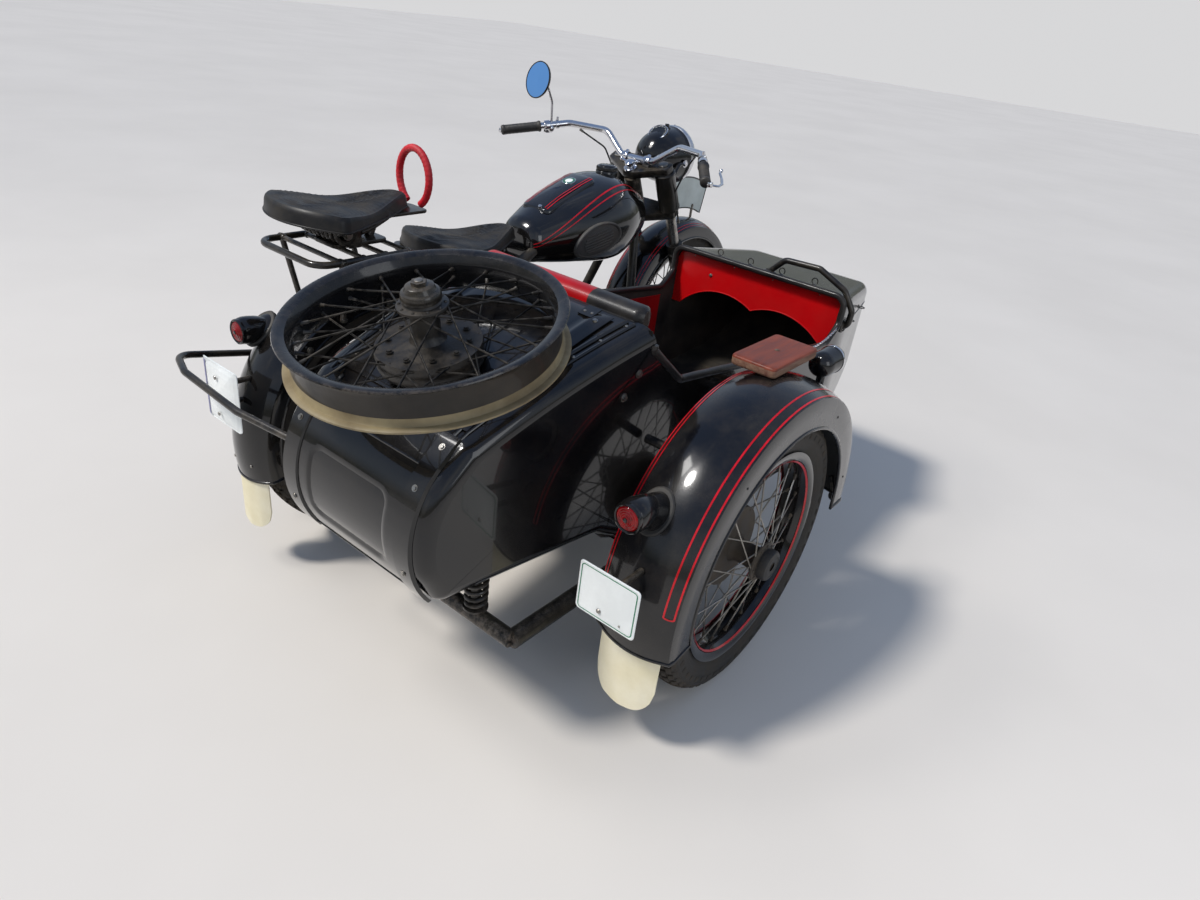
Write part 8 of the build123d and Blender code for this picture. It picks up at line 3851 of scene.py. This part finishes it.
            blade = [
                pivot + ahead * 0.004, pivot + ahead * 0.028 + inward * 0.010,
                pivot + ahead * 0.041 + inward * 0.040,
                pivot + ahead * 0.043 + inward * 0.085, pivot + ahead * 0.040 + inward * 0.128,
                pivot + ahead * 0.046 + inward * 0.152,
            ]
            smooth = rounded_route(blade, 0.020, 6)
            shape.tube(smooth, lambda share: 0.0052 - 0.0014 * share, 12, 0, squash=0.6)
            shape.ball(smooth[-1], 0.0062, 12, 0)
            perch = end + inward * 0.140
            shape.lathe(
                [
                    (0.0113, 0.0), (0.0158, 0.001), (0.0162, 0.006), (0.0162, 0.018), (0.0155, 0.021),
                    (0.0113, 0.022)
                ],
                perch, inward, 28, 0
            )
            shape.block(perch + inward * 0.011 - ahead * 0.0 - Z_AXIS * 0.0175, (0.015, 0.013, 0.010), coat=0)
            small = perch + inward * 0.040
            shape.lathe(
                [(0.0113, 0.0), (0.0142, 0.001), (0.0142, 0.010), (0.0113, 0.011)], small, inward, 24,
                0
            )
            shape.rod(
                small + inward * 0.005 + Z_AXIS * 0.012, small + inward * 0.005 + Z_AXIS * 0.024,
                0.0042, 12, 0
            )
        shape.make("chrome_bar", [CHROME], Body.STEERING, Slot.CHROME, ["handlebar"])
        grips.make("ribbed_grips", [RUBBER], Body.STEERING, Slot.RUBBER, ["grips"], crease=60)

    def cables(self) -> None:
        """Build the two control cables with their ferrules."""
        shape = Shape()
        mount_z = on_fork(0.6733, AXIS_BEHIND * 0.35, 0.0).z
        reach = self.spread + 0.0333
        for side in (-1, 1):
            corners = [
                on_bike(0.4574, side * 0.236, mount_z + 0.0513), on_bike(0.525, side * 0.172, 0.925),
                on_bike(0.548, side * reach, 0.835), on_bike(0.602, side * reach, 0.728),
            ]
            route = rounded_route(corners, 0.040, 8)
            shape.tube(route, 0.0028, 12, 0)
            for end, following in ((route[0], route[1]), (route[-1], route[-2])):
                heading = (following - end).normalized()
                shape.lathe(
                    [(0.0029, 0.0), (0.0042, 0.0005), (0.0042, 0.012), (0.0032, 0.016)], end, heading,
                    12, 1, caps=(True, False)
                )
        shape.make("cable_pair", [RUBBER, DULL_CHROME], Body.STEERING, Slot.RUBBER, ["control_cables"])

    def headlamp(self) -> None:
        """Build the lamp shell with its rim, glass, dial, switch and ears."""
        shape = Shape()
        centre = on_bike(on_fork(0.560, 0.0, 0.0).x + 0.062, 0.0, 0.926)
        shell = [
            (0.0, -0.0885), (0.012, -0.0878), (0.030, -0.0838), (0.052, -0.0702), (0.0655, -0.055),
            (0.076, -0.036),
            (0.084, -0.010), (0.0885, 0.018), (0.0912, 0.046), (0.0930, 0.052),
        ]
        smooth = []
        for (r0, x0), (r1, x1) in zip(shell, shell[1:]):
            smooth.append((r0, x0))
            smooth.append(((r0 + r1) / 2 * 1.004, (x0 + x1) / 2 - 0.0004))
        smooth.append(shell[-1])
        shape.lathe(smooth, centre, X_AXIS, 72, 0)
        rim = [
            (0.0930, 0.052), (0.0955, 0.053), (0.0965, 0.060), (0.0962, 0.070), (0.0925, 0.0775),
            (0.0865, 0.0782), (0.0842, 0.0752)
        ]
        shape.lathe(rim, centre, X_AXIS, 72, 1)
        shape.lathe(
            [(0.0855, 0.0748), (0.070, 0.0775), (0.045, 0.0800), (0.020, 0.0812), (0.0, 0.0815)],
            centre, X_AXIS, 64, 2
        )
        tilt = Vector((-0.62, 0.0, 0.785)).normalized()
        dial = centre + Vector((-0.026, 0.0, 0.0715))
        shape.lathe([(0.0345, -0.012), (0.0352, 0.004), (0.0342, 0.0075)], dial, tilt, 48, 0)
        shape.lathe(
            [(0.0342, 0.0075), (0.0330, 0.0092), (0.0315, 0.0092), (0.0305, 0.0072)], dial, tilt, 48,
            1
        )
        shape.lathe([(0.0308, 0.0070), (0.0250, 0.0068), (0.0, 0.0068)], dial, tilt, 48, 3)
        across, upward, _ = frame_of(tilt)
        for i in range(25):
            turn = math.radians(-45 + i * 270 / 24)
            heading = across * math.cos(turn) + upward * math.sin(turn)
            long = 0.0048 if i % 4 == 0 else 0.0028
            spot = dial + tilt * 0.0073 + heading * (0.0285 - long / 2)
            shape.block(spot, (long, 0.0009, 0.0003), (heading, tilt.cross(heading), tilt), 4)
        needle = (across * math.cos(math.radians(200)) + upward * math.sin(math.radians(200))).normalized()
        shape.block(
            dial + tilt * 0.0076 + needle * 0.010, (0.022, 0.0013, 0.0004),
            (needle, tilt.cross(needle), tilt), 5
        )
        shape.lathe([(0.0031, 0.0072), (0.0027, 0.0086), (0.0, 0.0088)], dial, tilt, 16, 0)
        switch = centre + Vector((0.018, 0.0, 0.0885))
        shape.lathe(
            [
                (0.0125, -0.003), (0.0125, 0.003), (0.0095, 0.0048), (0.0075, 0.0055),
                (0.0075, 0.0115), (0.0060, 0.0135), (0.0, 0.014)
            ],
            switch, Z_AXIS, 28, 0
        )
        for side in (-1, 1):
            ear = on_fork(0.585, -0.027, side * self.spread)
            plate = [
                ear, centre + Vector((-0.010, side * 0.088, -0.012)),
                centre + Vector((0.018, side * 0.0895, -0.010))
            ]
            shape.tube(rounded_route(plate, 0.02, 5), 0.0085, 16, 0, squash=0.7)
            bolt_head(shape, centre + Vector((0.018, side * 0.0945, -0.010)), Y_AXIS * side, 0.0082, 1)
        dome_screw(shape, centre + Vector((0.064, 0.0, 0.0962)), Z_AXIS, 0.0035, 1)
        coats = [GLOSS_BLACK, CHROME, LAMP_GLASS, DIAL_DARK, WHITE_PAINT, LENS_RED]
        shape.make("deep_headlamp", coats, Body.STEERING, Slot.BLACK, ["headlamp"])

    def mirror(self) -> None:
        """Build the round mirror on its bent stem."""
        shape = Shape()
        centre = on_bike(0.300, 0.300, 1.118)
        facing = Vector((-1, 0.13, 0.22)).normalized()
        back = -facing
        dome = [
            (0.0560, -0.0012), (0.0566, 0.0006), (0.0562, 0.003), (0.0545, 0.006), (0.0500, 0.0095),
            (0.0400, 0.0128), (0.0250, 0.0148), (0.0, 0.0156)
        ]
        shape.lathe(dome, centre, back, 64, 0)
        rim = [(0.0562, 0.0), (0.0568, -0.0012), (0.0560, -0.0022), (0.0538, -0.0022), (0.0530, -0.0010)]
        shape.lathe(rim, centre, back, 64, 0)
        shape.lathe([(0.0534, -0.0011), (0.030, -0.0009), (0.0, -0.0008)], centre, back, 64, 2)
        foot = on_bike(0.391, 0.308, 0.9785)
        joint = centre + back * 0.019
        corners = [joint, joint + Vector((0.030, 0.004, -0.012)), on_bike(0.384, 0.306, 1.050), foot]
        shape.tube(rounded_route(corners, 0.034, 8), 0.0042, 16, 1)
        shape.ball(centre + back * 0.018, 0.0088, 16, 1)
        shape.lathe(
            [(0.0068, -0.004), (0.0068, 0.010), (0.0052, 0.012)], foot, Vector((-0.1, 0, 1)), 6, 1,
            caps=(True, False)
        )
        bar = Vector((foot.x - 0.002, foot.y + 0.0005, foot.z - 0.011))
        shape.ball(bar, 0.0145, 16, 1)
        shape.make(
            "round_mirror", [GLOSS_BLACK, CHROME, MIRROR_GLASS], Body.STEERING, Slot.CHROME,
            ["mirror"]
        )

    def build(self) -> None:
        """Build everything that turns with the fork."""
        self.legs()
        self.yokes()
        self.handlebar()
        self.cables()
        self.headlamp()
        self.mirror()


# Engine and drive


@dataclass
class Drive:
    """Flat-twin engine, gearbox, shaft drive, exhausts and footrests."""

    engine: Vector = field(default_factory=lambda: on_bike(0.235, 0.0, 0.340))

    def _housing(
        self, shape: Shape, outline: Sequence[tuple[float, float]], half: float, ease: float,
        coat: int
    ) -> None:
        """Add a casting with eased edges: an outline in (x, z), mirrored about the centre plane.

        Args:
            shape: Shape to add to.
            outline: Corner rows, in order.
            half: Half width.
            ease: Size of the eased edges.
            coat: Finish number.
        """
        middle_x = sum(x for x, _ in outline) / len(outline)
        middle_z = sum(z for _, z in outline) / len(outline)
        rings = []
        for y, inset in (
            (-half, ease), (-half + ease * 0.35, ease * 0.35), (-half + ease, 0.0),
            (half - ease, 0.0), (half - ease * 0.35, ease * 0.35), (half, ease)
        ):
            ring = []
            for x, z in outline:
                reach = math.hypot(x - middle_x, z - middle_z)
                pull = (reach - inset) / reach
                ring.append(on_bike(middle_x + (x - middle_x) * pull, y, middle_z + (z - middle_z) * pull))
            rings.append(ring)
        shape.strip(rings, coat, True, False, (True, True))

    def block(self) -> None:
        """Build the crankcase with its timing cover, sump and dynamo hump."""
        shape = Shape()
        x, z = self.engine.x, 0.340
        case = [(x + a, z + b) for a, b in rounded_box(0.278, 0.278, 0.044, 8)]
        self._housing(shape, case, 0.0945, 0.012, 0)
        hump = [
            (x + 0.040 + 0.060 * math.cos(t * math.pi / 24), 0.460 + 0.060 * math.sin(t * math.pi / 24))
            for t in range(48)
        ]
        self._housing(shape, hump, 0.079, 0.008, 0)
        sump = [(x + a, 0.226 + b) for a, b in rounded_box(0.218, 0.050, 0.012, 4)]
        self._housing(shape, sump, 0.0947, 0.006, 0)
        for k in range(9):
            shape.block(on_bike(x - 0.09 + k * 0.0225, 0.0, 0.2075), (0.005, 0.172, 0.014), coat=0)
        for side in (-1, 1):
            for a, b in (
                (-0.118, 0.10), (-0.118, -0.02), (-0.118, -0.10), (0.118, 0.08), (0.118, -0.02),
                (0.118, -0.10)
            ):
                dome_screw(shape, on_bike(x + a, side * 0.0945, z + b), Y_AXIS * side, 0.0052, 1)
        cover = on_bike(x + 0.139, 0.0, 0.372)
        shape.lathe([(0.074, -0.004), (0.074, 0.0), (0.070, 0.0012), (0.0, 0.0012)], cover, X_AXIS, 48, 0)
        shape.make("crankcase", [ALLOY, DULL_CHROME], Body.ROOT, Slot.ALLOY, ["engine_block"])

    def box(self) -> None:
        """Build the gearbox with its ribs, output boss and kick-starter."""
        shape = Shape()
        outline = [(a, 0.340 + b) for a, b in rounded_box(0.189, 0.198, 0.036, 6)]
        self._housing(shape, outline, 0.0745, 0.009, 0)
        for k in range(4):
            shape.block(on_bike(-0.045 + 0.03 * k, 0.0, 0.4385), (0.005, 0.12, 0.004), coat=0)
        for side in (-1, 1):
            for a, b in ((-0.070, 0.07), (0.070, 0.07), (-0.070, -0.07), (0.070, -0.07)):
                dome_screw(shape, on_bike(a, side * 0.0745, 0.340 + b), Y_AXIS * side, 0.0052, 1)
        shape.lathe(
            [(0.028, 0.0), (0.028, 0.090), (0.026, 0.0945)], on_bike(0.0, -0.080, AXLE_Z), -X_AXIS,
            32, 0, caps=(True, True)
        )
        shaft = on_bike(-0.030, 0.0, 0.330)
        shape.lathe(
            [(0.018, 0.070), (0.018, 0.084), (0.0098, 0.088), (0.0098, 0.155), (0.0085, 0.156)],
            shaft, Y_AXIS, 24, 0, caps=(False, True)
        )
        arm = [shaft + Y_AXIS * 0.142, on_bike(-0.052, 0.143, 0.392), on_bike(-0.080, 0.142, 0.468)]
        shape.tube(rounded_route(arm, 0.02, 5), lambda share: 0.0072 - 0.0008 * share, 16, 1)
        shape.ball(shaft + Y_AXIS * 0.142, 0.0135, 16, 1)
        pedal = on_bike(-0.080, 0.131, 0.468)
        profile = [(0.0088, 0.0)]
        for i in range(9):
            reach = 0.006 + i * 0.0078
            profile += [
                (0.0088, reach), (0.0072, reach + 0.001), (0.0072, reach + 0.003),
                (0.0088, reach + 0.004)
            ]
        profile.append((0.0088, 0.079))
        shape.lathe(profile, pedal, Y_AXIS, 20, 2, caps=(True, True))
        shape.make(
            "gearbox_case", [ALLOY, DULL_CHROME, RUBBER], Body.ROOT, Slot.ALLOY, ["gearbox"],
            crease=50
        )

    def barrels(self) -> None:
        """Build the finned cylinders and heads, with plugs and exhaust stubs."""
        shape = Shape()
        fin = 0.084
        for side, lead in ((-1, -0.014), (1, 0.014)):
            x = self.engine.x + lead
            out = Y_AXIS * side
            face = on_bike(x, side * 0.095, 0.372)
            profile = [(0.064, 0.0), (0.064, 0.012), (0.060, 0.0145)]
            for i in range(9):
                reach = 0.018 + i * 0.013
                profile += [
                    (0.0605, reach - 0.0005), (fin - 0.001, reach), (fin, reach + 0.001),
                    (fin, reach + 0.003), (fin - 0.001, reach + 0.004), (0.0605, reach + 0.0045)
                ]
            profile += [(0.061, 0.160)]
            shape.lathe(profile, face, out, 56, 0)
            outline = [(a, b) for a, b in rounded_box(0.168, 0.158, 0.050, 7)]
            head = on_bike(x, side * 0.256, 0.372)
            rings = []
            for reach, inset in ((0.0, 0.002), (0.0015, 0.0), (0.016, 0.0), (0.0172, 0.003)):
                rings.append(
                    [
                        head + X_AXIS * (
                            a * (1 - inset / 0.08)
                        ) + Z_AXIS * (b * (1 - inset / 0.08)) + out * reach for a,
                        b in outline
                    ]
                )
            shape.strip(rings, 0, True, False, (True, True))
            for level in (-66, -55, -33, -11, 11, 33, 55, 66):
                z = level / 1000
                if abs(z) > 0.0735:
                    continue
                thick = 0.0085 if abs(level) < 60 else 0.010
                reach = 0.084 if abs(z) < 0.030 else 0.034 + math.sqrt(
                    max(0.050 ** 2 - (abs(z) - 0.030) ** 2, 0.0)
                )
                slab = rounded_box(2 * reach - 0.004, thick, 0.003, 3)
                near = [head + X_AXIS * a + Z_AXIS * (z + b) + out * 0.016 for a, b in slab]
                far = [head + X_AXIS * (a * 0.985) + Z_AXIS * (z + b * 0.8) + out * 0.0338 for a, b in slab]
                shape.strip([near, far], 0, True, False, (True, True))
            plug = head + X_AXIS * 0.022 + Z_AXIS * 0.022 + out * 0.0165
            shape.lathe(
                [(0.009, 0.0), (0.009, 0.006), (0.0055, 0.007), (0.0055, 0.016), (0.0032, 0.0172)],
                plug, out, 6, 1, caps=(False, True)
            )
            stub = on_bike(x + 0.034, side * 0.178, 0.352)
            shape.lathe(
                [(0.024, 0.0), (0.024, 0.052), (0.027, 0.053), (0.027, 0.0695), (0.020, 0.0700)],
                stub, -Z_AXIS, 32, 0, caps=(True, True)
            )
            for a in (-0.036, 0.036):
                shape.rod(
                    face + X_AXIS * a + Z_AXIS * 0.045 + out * 0.004,
                    face + X_AXIS * a + Z_AXIS * 0.045 + out * 0.16, 0.005, 12, 1
                )
        shape.make(
            "finned_cylinders", [CAST_IRON, DULL_CHROME], Body.ROOT, Slot.ALLOY, ["cylinders"],
            crease=40
        )

    def shaft(self) -> None:
        """Build the open drive shaft with its couplings and the bevel housing."""
        shape = Shape()
        start = on_bike(-0.095, -0.080, AXLE_Z)
        end_x = -0.535
        length = start.x - end_x
        profile = [
            (0.0205, 0.0), (0.0208, 0.003), (0.0208, 0.012), (0.0185, 0.0135), (0.0185, 0.0195),
            (0.0208, 0.021), (0.0208, 0.031),
            (0.0195, 0.034), (0.0130, 0.038), (0.0130, length - 0.162), (0.0195, length - 0.158),
            (0.0208, length - 0.155),
            (0.0208, length - 0.126), (0.0190, length - 0.124), (0.0130, length - 0.118), (0.0130, length),
        ]
        shape.lathe(profile, start, -X_AXIS, 32, 0, caps=(True, True))
        hub = on_bike(REAR_AXLE_X, -0.084, AXLE_Z)
        bevel = [
            (0.0156, 0.0), (0.072, 0.0), (0.074, 0.002), (0.074, 0.009), (0.070, 0.0125),
            (0.055, 0.0155), (0.030, 0.0168), (0.0156, 0.0168)
        ]
        shape.lathe(bevel, hub, -Y_AXIS, 56, 1, looped=True)
        for i in range(8):
            turn = math.radians(45 * i + 12)
            spot = hub + Vector((0.063 * math.cos(turn), -0.0138, 0.063 * math.sin(turn)))
            bolt_head(shape, spot, -Y_AXIS, 0.0048, 2)
        shape.make("shaft_drive", [FRAME_BLACK, ALLOY, DULL_CHROME], Body.ROOT, Slot.ALLOY, ["final_drive"])

    def pipes(self) -> None:
        """Build the exhaust pipes and their silencers."""
        shape = Shape()
        for side in (-1, 1):
            y = BIKE_Y + side * 0.178
            port_x = self.engine.x + side * 0.014 + 0.034
            corners = [Vector((port_x, y, 0.2817)), Vector((port_x, y, 0.254)), Vector((-0.300, y, 0.254))]
            shape.tube(rounded_route(corners, 0.024, 8), 0.019, 28, 0)
            shape.lathe(
                [(0.0195, 0.0), (0.0245, 0.001), (0.0245, 0.0075), (0.0195, 0.009)],
                Vector((port_x, y, 0.2812)), -Z_AXIS, 28, 0
            )
            body = [
                (0.0195, 0.0), (0.0225, 0.002), (0.0262, 0.016), (0.0262, 0.030), (0.031, 0.036),
                (0.0352, 0.046),
                (0.037, 0.060), (0.0374, 0.064), (0.0374, 0.069), (0.0368, 0.072), (0.0368, 0.470),
                (0.0374, 0.474),
                (0.0374, 0.482), (0.037, 0.486), (0.036, 0.502), (0.0215, 0.556), (0.0150, 0.5585),
                (0.0128, 0.5590),
                (0.0128, 0.540),
            ]
            shape.lathe(body, Vector((-0.300, y, 0.254)), -X_AXIS, 40, 0, caps=(True, True))
            clamp = Vector((-0.322, y, 0.254))
            shape.lathe(
                [(0.0266, 0.0), (0.028, 0.001), (0.028, 0.009), (0.0266, 0.010)], clamp, -X_AXIS, 28,
                1
            )
        shape.make("exhaust_pair", [OLD_CHROME, DULL_CHROME], Body.ROOT, Slot.CHROME, ["exhausts"])

    def rests(self) -> None:
        """Build the rider's footrests with ribbed rubbers."""
        shape = Shape()
        for side in (-1, 1):
            low = 0.1847
            start = on_bike(0.070, side * 0.1165, low)
            shape.rod(start, on_bike(0.070, side * 0.166, low), 0.0079, 18, 0)
            root = on_bike(0.070, side * 0.158, low)
            tip = on_bike(0.070, side * 0.250, low + 0.020)
            heading = (tip - root).normalized()
            length = (tip - root).length
            profile = [(0.0115, 0.0), (0.0140, 0.001)]
            for i in range(9):
                reach = 0.003 + i * 0.0096
                profile += [
                    (0.0140, reach), (0.0124, reach + 0.0012), (0.0124, reach + 0.0030),
                    (0.0140, reach + 0.0042)
                ]
            profile += [(0.0140, length - 0.0015), (0.0125, length - 0.0002), (0.0, length)]
            shape.lathe(profile, root, heading, 28, 1)
            shape.lathe(
                [(0.0175, 0.0), (0.0175, 0.006), (0.0120, 0.009)], start, Y_AXIS * side, 24, 0,
                caps=(True, False)
            )
        shape.make(
            "ribbed_footrests", [FRAME_BLACK, RUBBER], Body.ROOT, Slot.RUBBER, ["footrests"],
            crease=60
        )

    def car_springs(self) -> None:
        """Build the coils that carry the sidecar body on its chassis."""
        shape = Shape()
        for x, high in ((-0.900, 0.3905), (0.200, 0.2995)):
            for side in (-1, 1):
                y = CAR_Y + side * (0.150 if x < 0 else 0.200)
                foot = Vector((x, y, 0.2745))
                rise = high - foot.z
                turns = max(rise / 0.0165, 1.5)
                if rise > 0.06:
                    Saddles().coil(
                        shape, foot + Z_AXIS * 0.006, foot + Z_AXIS * (rise - 0.006), 0.0205, 0.0048,
                        turns, 0
                    )
                    shape.rod(foot, foot + Z_AXIS * rise, 0.0105, 20, 0)
                    shape.lathe(
                        [(0.026, 0.0), (0.026, 0.005), (0.012, 0.008)], foot, Z_AXIS, 28, 0,
                        caps=(True, False)
                    )
                    shape.lathe(
                        [(0.026, 0.0), (0.026, 0.005), (0.012, 0.008)], foot + Z_AXIS * rise, -Z_AXIS,
                        28, 0, caps=(True, False)
                    )
                else:
                    profile = [
                        (0.0255, 0.0), (0.026, 0.003), (0.0225, 0.008), (0.0215, rise / 2),
                        (0.0225, rise - 0.008), (0.026, rise - 0.003), (0.0255, rise)
                    ]
                    shape.lathe(profile, foot, Z_AXIS, 28, 1, caps=(True, True))
        shape.make("body_coils", [FRAME_BLACK, RUBBER], Body.ROOT, Slot.BLACK, ["body_springs"])

    def build(self) -> None:
        """Build the engine unit and the parts bolted to it."""
        self.block()
        self.box()
        self.barrels()
        self.shaft()
        self.pipes()
        self.rests()
        self.car_springs()


# Everything in order


def dress_frame() -> None:
    """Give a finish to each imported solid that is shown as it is."""
    for node in ("frame", "sidecar_chassis", "centre_stand"):
        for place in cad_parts[node].material_slots:
            place.material = DULL_BLACK.material()


def main() -> None:
    """Build the outfit, one sub-assembly after the other."""
    Studio().set_up()
    assemblies = (
        RoadWheels(), Mudguards(), HullForm(), Cockpit(), SpareWheel(), Tank(), Saddles(), Steering(),
        Drive(),
    )
    for assembly in assemblies:
        assembly.build()
        log.info("finished %s", type(assembly).__name__)
    dress_frame()


if __name__ == "__main__":
    main()
